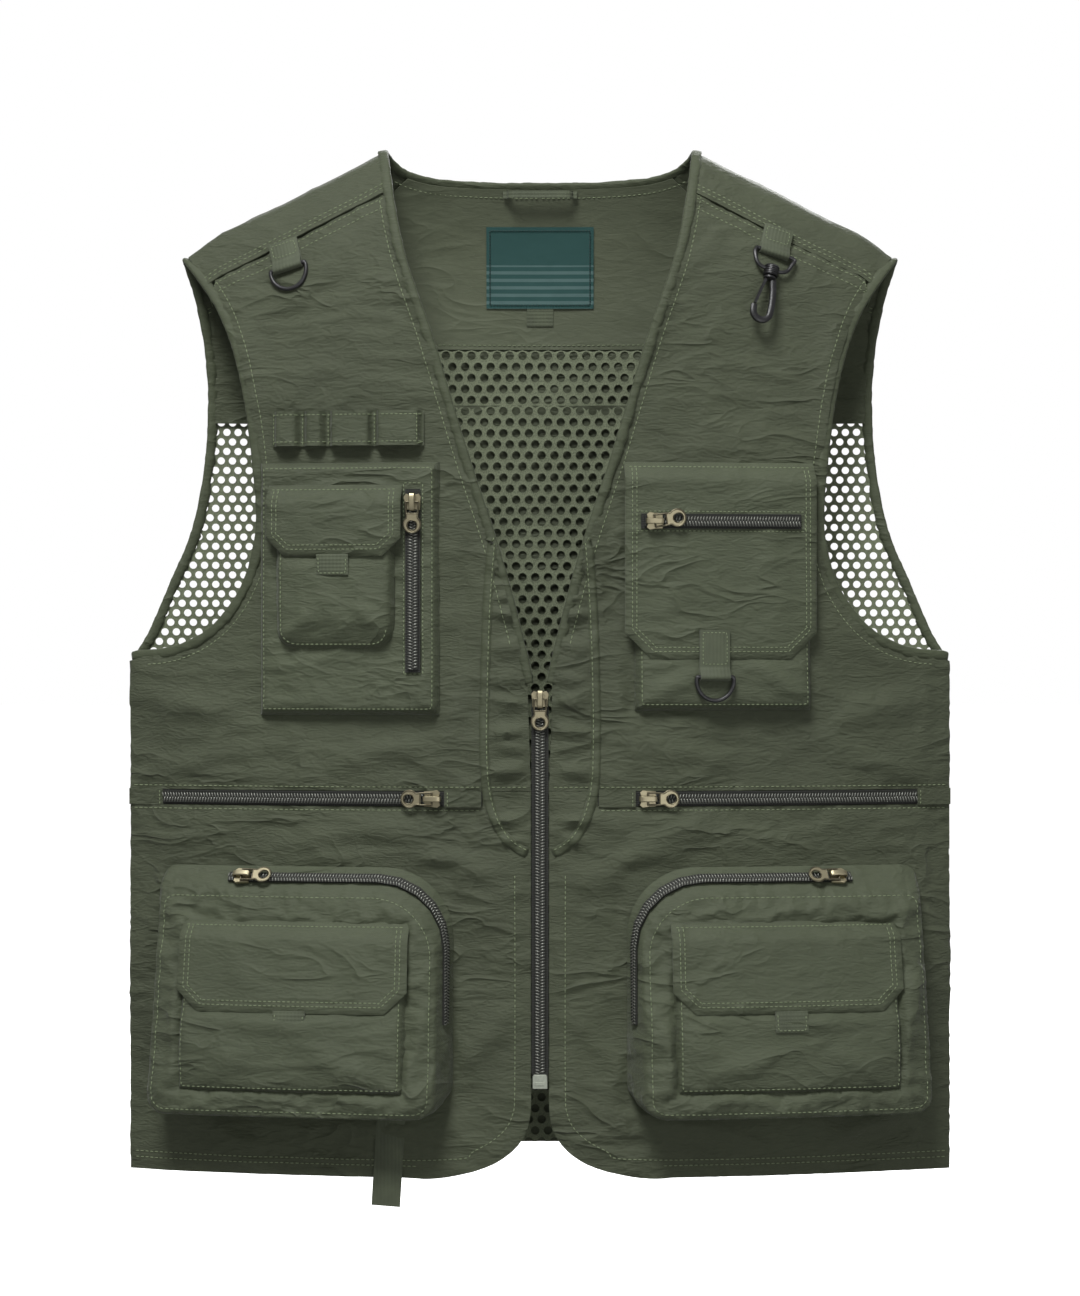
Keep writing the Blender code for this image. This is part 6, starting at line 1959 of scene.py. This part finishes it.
@dataclass
class CargoPocket:
    """Deep bellows pocket: a face that leans out, a gusset with a zip, and a flapped patch pocket on the face."""

    outer: float = 250.0
    width: float = 193.0
    top: float = 204.0
    bottom: float = 50.0
    depth_top: float = 14.0
    depth_bottom: float = 36.0
    corner: float = 42.0
    face_inset: float = 9.0
    outer_inset: float = 3.0
    seat: float = 1.6
    zip_end: float = 98.0

    @property
    def low(self) -> float:
        """Height of the face's lower edge."""
        return self.bottom - 8.0

    @property
    def high(self) -> float:
        """Height of the face's upper edge."""
        return self.top - 16.0

    def face_lift(self, x: np.ndarray, z: np.ndarray) -> np.ndarray:
        """Lift of the face off the vest."""
        share = (self.high - np.asarray(z, float)) / (self.high - self.low)
        return self.depth_top + (self.depth_bottom - self.depth_top) * share + 0.0 * np.asarray(x)

    def corners(self) -> Outline:
        """The face outline that the zip follows, on the left side."""
        outer, inner = self.outer - self.outer_inset, self.outer - self.width + self.face_inset
        turn = arc((inner + self.corner, self.high - self.corner), self.corner, 90, 180, 5)
        points = [(outer, self.low + 10.0), (outer, self.high - 8.0), (outer - 8.0, self.high)] + turn
        return points + [(inner, self.low + 10.0), (inner + 10.0, self.low), (outer - 10.0, self.low)]

    def face(self) -> Outline:
        """Smooth face outline of the left side."""
        outer, inner = self.outer - self.outer_inset, self.outer - self.width + self.face_inset
        points = arc((inner + self.corner, self.high - self.corner), self.corner, 90, 180, 12)
        points += arc((inner + 12, self.low + 12), 12, 180, 270, 5) + arc((outer - 12, self.low + 12), 12, 270, 360, 5)
        return points + arc((outer - 9, self.high - 9), 9, 0, 90, 4)

    def foot(self, x: np.ndarray, z: np.ndarray) -> tuple[np.ndarray, np.ndarray]:
        """Where the gusset of a face point is sewn to the vest."""
        face_outer, inner = self.outer - self.outer_inset, self.outer - self.width
        share = (np.abs(x) - inner - self.face_inset) / (face_outer - inner - self.face_inset)
        rise = (z - self.low) / (self.high - self.low)
        return np.sign(x) * (inner + (self.outer - inner) * share), self.bottom + (self.top - self.bottom) * rise

    def middle(self, hand: Hand, x: float, z: float) -> tuple[Vector, Vector]:
        """Middle of the gusset at a face point and the way across it, as flat (x, -lift, z)."""
        x = hand.value * x
        face = Vector((x, -float(self.face_lift(x, z)), z))
        fx, fz = self.foot(np.array([x]), np.array([z]))
        foot = Vector((float(fx[0]), -self.seat, float(fz[0])))
        return 0.5 * (face + foot), (face - foot).normalized()

    def build(self, hand: Hand) -> None:
        """Makes one cargo pocket."""
        word = hand.word
        bag = self.bag(hand)
        sewing = Sewing(bag)
        face = np.array(hand.turn(self.face()))
        rim = ring_of(resampled(face, 2.0, closed=True))
        sewing.row(pairs(beside(rim, 3.6 * hand.value)), lift=26, pitch=3.3)
        self.patch(hand, sewing)
        sewing.done(f"{word}_cargo_stitching")
        self.zip(hand)

    def bag(self, hand: Hand) -> bpy.types.Object:
        """Face and gusset, puffed by air so that they hang as cloth does."""
        flat = fill(hand.turn(self.face()), 2.8, (1.2, 2.8, 5.0))
        count = flat.rim_count
        x, z = flat.x, flat.z
        rim = np.column_stack([x, z])[:count]
        away, _ = to_line(x, z, ring_of(rim))
        seam = (tuple(map(tuple, ring_of(rim))),)
        s = hand.value
        rows = [((72, 60), (120, 92), 9, 2.2), ((232, 58), (196, 96), 9, 2.4), ((68, 120), (84, 64), 8, 2.0)]
        rows += [((240, 150), (226, 70), 8, 2.2)]
        rows += [((90, 50), (150, 62), 7, 1.6), ((236, 176), (206, 130), 8, 1.6), ((150, 52), (215, 60), 7, 1.4)]
        folds = tuple(Fold((s * a[0], a[1]), (s * b[0], b[1]), w, h) for a, b, w, h in rows)
        crumple = Crumple(
            30.0 + s, broad=1.2, crease=1.1, fine=0.35, pucker=0.8, pucker_reach=8.0, seams=seam, folds=folds
        )
        under = np.clip(np.minimum.reduce([np.abs(x) - 84, 228 - np.abs(x), z - 57, 168 - z]) / 6.0 + 0.5, 0, 1)
        rise = 2.6 * (1 - np.exp(-away / 9.0)) + crumple.lift(x, z)
        lift = self.face_lift(x, z) + rise * (1 - under)
        fx, fz = self.foot(x[:count], z[:count])
        rings, steps = [], 7
        for k in range(steps):
            t = k / steps
            bulge = math.sin(math.pi * t)
            wob = grain(np.arange(count) / 5.0, np.full(count, 4.0 * t), 3.0 + s) - 0.5
            px, pz = fx + (x[:count] - fx) * t, fz + (z[:count] - fz) * t
            lf = self.seat + (lift[:count] - self.seat) * t
            zipped = (pz > self.zip_end) & (np.abs(px) < 215)
            soft = np.where(zipped, 0.0, 1.0)
            middle_x, middle_z = s * 155.0, 120.0
            out = np.column_stack([px - middle_x, pz - middle_z])
            out /= np.linalg.norm(out, axis=1, keepdims=True)
            push = soft * bulge * (0.8 + 2.4 * wob)
            rings.append((px + out[:, 0] * push, pz + out[:, 1] * push, lf))
        all_x = np.concatenate([x, *(r[0] for r in rings)])
        all_z = np.concatenate([z, *(r[1] for r in rings)])
        all_lift = np.concatenate([lift, *(r[2] for r in rings)])
        total = len(x)
        faces = flat.faces.tolist()
        order = [list(range(total + k * count, total + (k + 1) * count)) for k in range(steps)] + [list(range(count))]
        for low_ring, high_ring in zip(order, order[1:]):
            for k in range(count):
                n = (k + 1) % count
                faces.append((low_ring[k], low_ring[n], high_ring[n], high_ring[k]))
        run = FORM.run(all_x, all_z, Side.FRONT)
        obj = add_object(f"{hand.word}_cargo_pocket_cloth", FORM.place(all_x, run, all_lift), faces, POCKET)
        held = np.ones(len(all_x))
        held[: len(x)] = np.clip(1 - away / 7.0, 0.0, 1.0)
        held[: len(x)] = np.maximum(held[: len(x)], under)
        puff(obj, held)
        settle(obj, "vest", Slot.SHELL, f"{hand.word}_cargo_pocket")
        return obj

    def patch(self, hand: Hand, sewing: Sewing) -> None:
        """Patch pocket on the face and its flap."""
        low_x, high_x = sorted((hand.value * 84.0, hand.value * 228.0))
        mouth = 155.0
        outline = oblong(low_x, high_x, 57.0, mouth)
        s = hand.value
        rows = [((96, 66), (150, 84), 8, 1.6), ((216, 64), (176, 88), 8, 1.6), ((120, 100), (210, 108), 10, 1.2)]
        rows += [((100, 110), (104, 66), 7, 1.1)]
        folds = tuple(Fold((s * a[0], a[1]), (s * b[0], b[1]), w, h) for a, b, w, h in rows)
        pouch = Pouch(
            f"{hand.word}_cargo_patch", outline, 0.0, folds=folds, seed=40.0 + s,
            mouth=[(low_x + 1, mouth), (high_x - 1, mouth)], base=lambda x, z: self.face_lift(x, z) + 6.6,
            covered=((low_x - 9, high_x + 9, 108.0, 180.0),), sag=3.6, sag_reach=30.0,
        ).sew()
        inset = [(low_x + 4, 118), (low_x + 4, 61), (high_x - 4, 61), (high_x - 4, 118)]
        sewing.take(Sewing(pouch).row(inset, lift=42, pitch=3.2))
        Flap(f"{hand.word}_cargo_flap", low_x - 1, high_x + 1, 169.0, 59.0, 14.0, self.face_lift, seed=44.0 + s).sew()

    def zip(self, hand: Hand) -> None:
        """Teeth along the gusset and the slider at the outer end."""
        path = self.corners()[2:9]
        step = (self.high - self.corner - self.zip_end) / 3
        inner = self.outer - self.width + self.face_inset
        path = path + [(inner, self.zip_end + step * k) for k in (2, 1, 0)]
        path[0] = (path[0][0] - 36.0, path[0][1])
        fine = at_steps(np.array(path), 3.0)
        places, outs = [], []
        for k, (x, z) in enumerate(fine):
            middle, across = self.middle(hand, x, z)
            before = self.middle(hand, *fine[max(k - 1, 0)])[0]
            after = self.middle(hand, *fine[min(k + 1, len(fine) - 1)])[0]
            out = (after - before).normalized().cross(across) * hand.value
            out.normalize()
            for found, far in ((places, 2.3), (outs, 3.3)):
                p = middle + out * far
                run = FORM.run(np.array([p.x]), np.array([p.z]), Side.FRONT)
                found.append(FORM.place(np.array([p.x]), run, -p.y)[0])
        places, outs = np.array(places), np.array(outs)
        ZipRow().lay(f"{hand.word}_cargo_teeth", places, (outs - places) / MM, "vest")
        outer = self.corners()[2]
        middle, across = self.middle(hand, outer[0] - 45.0, outer[1])
        seat = FORM.seat(middle.x, middle.z, -middle.y)
        lean = math.atan2(-across.y, -across.z)
        seat = seat @ Matrix.Rotation(-lean, 4, "X") @ Matrix.Translation((0.0, 0.0, 0.9 * MM))
        seat = seat @ Matrix.Rotation(math.radians(-90 * hand.value), 4, "Z")
        Slider().build(f"{hand.word}_cargo", seat)


def puff(obj: bpy.types.Object, held: np.ndarray, pressure: float = 3.0, frames: int = 16, cap: float = 3.5) -> None:
    """Blows a cloth out a little with Blender's cloth simulation, and keeps the result.

    Args:
        obj: The cloth, which has an open back.
        held: How firmly each point is held, from 0 to 1.
        pressure: Air pressure inside.
        frames: Steps of the simulation.
        cap: Furthest that a point may move, in millimetres.
    """
    scene = bpy.context.scene
    rest = np.array([v.co for v in obj.data.vertices])
    group = obj.vertex_groups.new(name="held")
    for k, weight in enumerate(held):
        group.add([k], float(weight), "REPLACE")
    cloth = obj.modifiers.new("cloth", "CLOTH")
    settings = cloth.settings
    settings.quality = 5
    settings.mass = 0.15
    settings.vertex_group_mass = "held"
    settings.pin_stiffness = 1.0
    settings.tension_stiffness = settings.compression_stiffness = 15.0
    settings.bending_stiffness = 0.05
    settings.shrink_min = -0.035
    settings.use_pressure = True
    settings.uniform_pressure_force = pressure
    settings.effector_weights.gravity = 0.0
    cloth.point_cache.frame_start, cloth.point_cache.frame_end = 1, frames
    for number in range(1, frames + 1):
        scene.frame_set(number)
    graph = bpy.context.evaluated_depsgraph_get()
    made = obj.evaluated_get(graph).to_mesh()
    moved = np.array([v.co for v in made.vertices])
    obj.evaluated_get(graph).to_mesh_clear()
    obj.modifiers.clear()
    obj.vertex_groups.clear()
    scene.frame_set(1)
    shift = moved - rest
    far = np.linalg.norm(shift, axis=1, keepdims=True) / MM
    shift = np.where(np.isfinite(shift), shift, 0.0) * (cap * np.tanh(far / cap) / np.maximum(far, 1e-6))
    obj.data.vertices.foreach_set("co", (rest + shift).astype(np.float32).ravel())
    obj.data.update()


# ---------------------------------------------------------------- shoulders and strap


@dataclass
class Tab:
    """Doubled webbing tab that opens into an eye round a bar."""

    name: str
    x: float
    z: float
    lift: float
    length: float
    turn: float
    body: str = "vest"
    wide: float = 20.0
    wall: float = 1.1
    wire: float = 1.3
    play: float = 0.4

    @property
    def eye(self) -> float:
        """Height of the eye's middle."""
        return self.wire + self.play + self.wall

    def sew(self) -> None:
        """Makes the tab and its box of stitches."""
        r = self.eye
        seat = FORM.seat(self.x, self.z, self.lift, self.turn)
        mid = r - 0.5 * self.wall
        line = [(self.length, 0.55), (2.0 * r, 0.55)] + [(a, r + b) for a, b in round_points(mid, mid, -72, -262, 12)]
        line += [(0.6, r + mid * 0.95), (2.2 * r, 1.75), (self.length, 1.75)]
        rows = np.array([(0.0, a, b) for a, b in at_steps(np.array(line), 0.9)]) * MM
        out = np.gradient(rows, axis=0)
        out = np.cross(out, level_out(len(rows), (1.0, 0.0, 0.0)))
        half, wall = 0.5 * self.wide, 0.5 * self.wall
        section = [(-half, -0.6 * wall), (-half + 0.4, -wall), (half - 0.4, -wall), (half, -0.6 * wall)]
        section += [(half, 0.6 * wall), (half - 0.4, wall), (-half + 0.4, wall), (-half, 0.6 * wall)]
        points, faces = sweep(rows, out, section)
        obj = sharpen(add_object(f"{self.name}_webbing", points, faces, TAPE), 40)
        obj.matrix_world = seat
        settle(obj, self.body, Slot.WEBBING, self.name)
        self.wide * MM
        corners = oblong(-half + 2, half - 2, self.length - 2, 3 * r)
        line = at_steps(at_steps(np.array([*corners, corners[0]]), 1.0), 2.6)
        ahead = np.diff(line, axis=0)
        starts = np.column_stack([line[:-1], np.full(len(ahead), 2.25)]) * MM
        ends = np.column_stack([line[:-1] + 0.66 * ahead, np.full(len(ahead), 2.25)]) * MM
        made = bars(starts, ends, level_out(len(starts)), 0.62, 0.36)
        stitches = add_object(f"{self.name}_stitching", *made, THREAD)
        stitches.matrix_world = seat
        settle(stitches, self.body, Slot.BINDING)


@dataclass
class Ring:
    """Black D-ring whose straight bar lies in a tab's eye."""

    name: str
    seat: Matrix
    half: float = 11.9
    drop: float = 15.5
    wire: float = 1.3
    lift: float = 2.8

    def build(self) -> None:
        """Makes the ring."""
        points = [(-self.half, 0.0), (self.half, 0.0)]
        turns = [math.radians(-180 * k / 22) for k in range(23)]
        tall = (self.drop - 2.0) / (self.half + 0.6)
        points += [((self.half + 0.6) * math.cos(a), -2.0 + (self.half + 0.6) * tall * math.sin(a)) for a in turns]
        ring = at_steps(ring_of(np.array([(x, y, 0.0) for x, y in points])), 0.8)[:-1] * MM
        out = level_out(len(ring))
        made, faces = sweep(ring, out, oval(self.wire * 1.05, self.wire, 12), True)
        obj = add_object(f"{self.name}_plastic", made, faces, PLASTIC)
        obj.matrix_world = self.seat @ Matrix.Translation((0.0, 0.0, self.lift * MM))
        settle(obj, self.name, Slot.PLASTIC, self.name)


@dataclass
class SnapHook:
    """Swivel frame in the tab's eye, the hook that turns in it, and its sprung gate."""

    seat: Matrix
    lift: float = 2.8
    raise_: float = 2.2
    boss_top: float = -10.9
    boss_foot: float = -18.0
    boss: float = 5.0

    def lathe(self, profile: Outline, steps: int = 24) -> tuple[np.ndarray, list]:
        """Round shape about local Y from (radius, y) points, in metres."""
        points, faces = [], []
        turns = np.linspace(0, 2 * math.pi, steps, endpoint=False)
        for radius, y in profile:
            points += [(radius * math.cos(a), y, radius * math.sin(a)) for a in turns]
        for k in range(len(profile) - 1):
            a = k * steps
            faces += [(a + j, a + steps + j, a + steps + (j + 1) % steps, a + (j + 1) % steps) for j in range(steps)]
        faces += [tuple(range(steps)), tuple(range((len(profile) - 1) * steps, len(profile) * steps))[::-1]]
        return np.array(points) * MM, faces

    def build(self) -> None:
        """Makes frame, hook and gate on their bodies."""
        tool = Slider()
        pivot = self.seat @ Matrix.Translation((0.0, 0.0, self.lift * MM))
        ring = [(-12.4, 0.0), (12.4, 0.0), (13.2, -5.0), (8.0, -12.7), (-8.0, -12.7), (-13.2, -5.0)]
        ring = [(x, y, self.raise_ * min(1.0, -y / 8.0)) for x, y in ring]
        bent = at_steps(smooth_path([*ring, ring[0]], 1.0), 1.0)[:-1]
        pieces = [tool.wire([tuple(p) for p in bent], 1.35)]
        profile = [(3.0, self.boss_top + 0.6), (self.boss - 0.6, self.boss_top + 0.2)]
        for k in range(5):
            y = self.boss_top - 0.6 - 1.3 * k
            profile += [(self.boss, y), (self.boss, y - 0.5), (self.boss - 0.45, y - 0.7), (self.boss - 0.45, y - 1.0)]
        profile += [(self.boss - 0.2, self.boss_foot), (2.2, self.boss_foot)]
        points, faces = self.lathe(profile)
        pieces.append((points + np.array([0.0, 0.0, self.raise_]) * MM, faces))
        self.add("hook_frame", pieces, pivot)
        swivel = pivot @ Matrix.Translation((0.0, 0.0, self.raise_ * MM))
        low = self.boss_foot - 0.4
        stem = [(1.5, self.boss_foot + 6), (1.5, low), (3.6, low - 0.1)]
        stem += [(4.2, low - 0.6), (4.2, low - 1.5), (3.2, low - 2.1)]
        spine = [(2.0, -19.0), (3.0, -23.0), (4.4, -30.0), (5.2, -38.0), (5.2, -44.0)]
        spine += [(a - 0.6, b - 44.0) for a, b in round_points(5.8, 5.8, -20, -175, 8)]
        spine.append((-6.6, -40.6))
        line = at_steps(smooth_path([(x, y, 0.0) for x, y in spine], 0.8), 0.8) * MM
        flat = [(-2.2, -1.2), (-2.2, 1.2), (-1.2, 1.9), (1.2, 1.9), (2.2, 1.2), (2.2, -1.2), (1.2, -1.9), (-1.2, -1.9)]
        hook = sweep(line, level_out(len(line)), [(a * 0.9, b) for a, b in flat])
        self.add("snap_hook", [self.lathe(stem), hook], swivel)
        gate = at_steps(np.array([(-2.4, -20.6, 0.0), (-4.0, -28.0, 0.0), (-6.3, -39.4, 0.0)]), 1.0) * MM
        out = level_out(len(gate))
        self.add("hook_gate", [sweep(gate, out, [(-0.9, -0.9), (-0.9, 0.9), (0.9, 0.9), (0.9, -0.9)])], swivel)

    def add(self, node: str, pieces: list, seat: Matrix) -> None:
        """Adds one plastic piece on the body that shares its name."""
        points, faces = Slider().parts(pieces)
        obj = sharpen(add_object(f"{node}_plastic", points, faces, PLASTIC), 40)
        obj.matrix_world = seat
        settle(obj, node, Slot.PLASTIC, node)


@dataclass
class Shoulders:
    """Tabs in the front yoke seams: a D-ring on the right, a snap hook on the left."""

    tab_long: float = 19.0
    tilt: float = 17.0

    def build(self) -> None:
        """Makes both shoulders' fittings."""
        x = -166.0
        z = float(FORM.fold(x)) - 48.0
        Tab("right_shoulder_tab", x, z, 1.6, self.tab_long, self.tilt).sew()
        Ring("right_shoulder_dring", FORM.seat(x, z, 1.6, self.tilt)).build()
        x = 154.0
        z = float(FORM.fold(x)) - 45.0
        Tab("left_shoulder_tab", x, z, 1.6, self.tab_long, -self.tilt).sew()
        SnapHook(FORM.seat(x, z, 1.6, -self.tilt)).build()


@dataclass
class Strap:
    """Webbing strap that hangs past the hem."""

    x: float = -97.0
    top: float = 48.6
    length: float = 67.0
    wide: float = 19.0
    lean: float = 4.0

    def build(self) -> None:
        """Makes the strap."""
        seat = FORM.seat(self.x, self.top, 1.6 + 0.7)
        steps = np.linspace(0.0, 1.0, 46)
        line = np.column_stack([-self.lean * steps, -self.length * steps, 0.35 * np.sin(steps * 9.0)]) * MM
        half = 0.5 * self.wide
        section = [(-half, -0.4), (-half + 0.5, -0.6), (half - 0.5, -0.6), (half, -0.4)]
        section += [(x, -y) for x, y in section[::-1]]
        points, faces = sweep(line, level_out(len(line)), section)
        obj = sharpen(add_object("strap_webbing", points, faces, TAPE), 40)
        obj.matrix_world = seat
        settle(obj, "strap", Slot.WEBBING, "strap")
        self.wide * MM


@dataclass
class MainZip:
    """Main zip's teeth and slider. Its tapes and foot box are CAD nodes."""

    low: float = 69.0
    high: float = 309.0

    def build(self) -> None:
        """Makes the teeth and the slider, and finishes every zip's tape."""
        ZipRow().along("main_zip_teeth", (0.0, self.low + 0.5), (0.0, self.high), 2.6, "vest")
        Slider().build("main", FORM.seat(0.0, 314.5, 1.2))
        for name, node in frame["nodes"].items():
            if name.endswith("_zip"):
                node.data.materials.clear()
                node.data.materials.append(ZIPTAPE.material())
        self.foot_box()

    def foot_box(self) -> None:
        """Pale cover on the zip's foot box, with its notch."""
        tool = Slider()
        half = 4.9
        outline = [(-half, -4.7), (half, -4.7), (half, 3.4), (half - 0.8, 4.6), (-half + 0.8, 4.6), (-half, 3.4)]
        pieces = [tool.slab(outline, 0.0, 0.9), tool.slab(oblong(-3.0, 3.0, -2.6, -0.4), 0.7, 1.4, 0.2)]
        points, faces = tool.parts(pieces)
        obj = sharpen(add_object("main_zip_foot_cover", points, faces, BOX_METAL), 35)
        obj.matrix_world = FORM.seat(0.0, 64.0, 2.95)
        settle(obj, "vest", Slot.TEETH)


# ---------------------------------------------------------------- studio


@dataclass
class Studio:
    """Camera, floor and lights."""

    distance: float = 2.6
    view_height: float = 0.868
    eye_height: float = 348.0
    sensor: float = 36.0
    floor_gap: float = 0.12
    world_light: float = 0.3

    def build(self) -> None:
        """Adds the camera, the floor and the lights."""
        scene = bpy.context.scene
        scene.view_settings.view_transform = "Standard"
        middle = (self.eye_height - FORM.origin[2]) * MM
        side = -FORM.origin[1] * MM
        camera = bpy.data.cameras.new("camera")
        camera.sensor_width = camera.sensor_height = self.sensor
        camera.sensor_fit = "VERTICAL"
        camera.lens = self.sensor * self.distance / self.view_height
        camera.clip_end = 50.0
        eye = bpy.data.objects.new("camera", camera)
        eye.location = (0.0, side - self.distance, middle)
        eye.rotation_euler = (math.radians(90), 0.0, 0.0)
        scene.collection.objects.link(eye)
        scene.camera = eye
        self.floor(CAD_BOX[0][2] - self.floor_gap)
        self.world()
        aim = Vector((0.0, side, middle))
        self.light("key", (-0.6, -2.1, 2.7), aim, 1.1, 118.0)
        self.light("fill", (1.0, -2.4, -0.5), aim, 1.6, 16.0)
        self.light("back", (0.5, 2.4, 1.6), aim, 1.6, 70.0)

    def floor(self, height: float) -> None:
        """A wide pale floor."""
        mesh = bpy.data.meshes.new("floor")
        s = 30.0
        mesh.from_pydata([(-s, -s, height), (s, -s, height), (s, s, height), (-s, s, height)], [], [(0, 1, 2, 3)])
        floor = bpy.data.objects.new("floor", mesh)
        bpy.context.scene.collection.objects.link(floor)
        paint = Paint("floor")
        pale, white = (0.93, 0.93, 0.93), (1.0, 1.0, 1.0)
        mesh.materials.append(paint.dress(Base_Color=pale, Roughness=0.9, Emission_Color=white, Emission_Strength=0.8))
        floor.visible_diffuse = floor.visible_glossy = False

    def world(self) -> None:
        """Even white surroundings."""
        world = bpy.data.worlds.new("studio")
        world.use_nodes = True
        tree = world.node_tree
        back = tree.nodes["Background"]
        back.inputs["Color"].default_value = (1.0, 1.0, 1.0, 1.0)
        path = tree.nodes.new("ShaderNodeLightPath")
        level = tree.nodes.new("ShaderNodeMapRange")
        level.inputs["To Min"].default_value = self.world_light
        level.inputs["To Max"].default_value = 1.0
        tree.links.new(path.outputs["Is Camera Ray"], level.inputs["Value"])
        tree.links.new(level.outputs["Result"], back.inputs["Strength"])
        bpy.context.scene.world = world

    def light(self, name: str, place: tuple[float, float, float], aim: Vector, size: float, power: float) -> None:
        """One square soft light."""
        lamp = bpy.data.lights.new(name, "AREA")
        lamp.size, lamp.energy = size, power
        obj = bpy.data.objects.new(name, lamp)
        obj.location = aim + Vector(place)
        obj.rotation_euler = (aim - obj.location).to_track_quat("-Z", "Y").to_euler()
        bpy.context.scene.collection.objects.link(obj)


def main() -> None:
    """Builds the studio and every sub-assembly in order."""
    logging.basicConfig(level=logging.INFO, format="%(message)s")
    Studio().build()
    Back().build()
    for hand in Hand:
        Fronts().build(hand)
        Waist().build(hand)
        CargoPocket().build(hand)
    Edges().build()
    MainZip().build()
    RightChest().build()
    LeftChest().build()
    Shoulders().build()
    Strap().build()


if __name__ == "__main__":
    main()
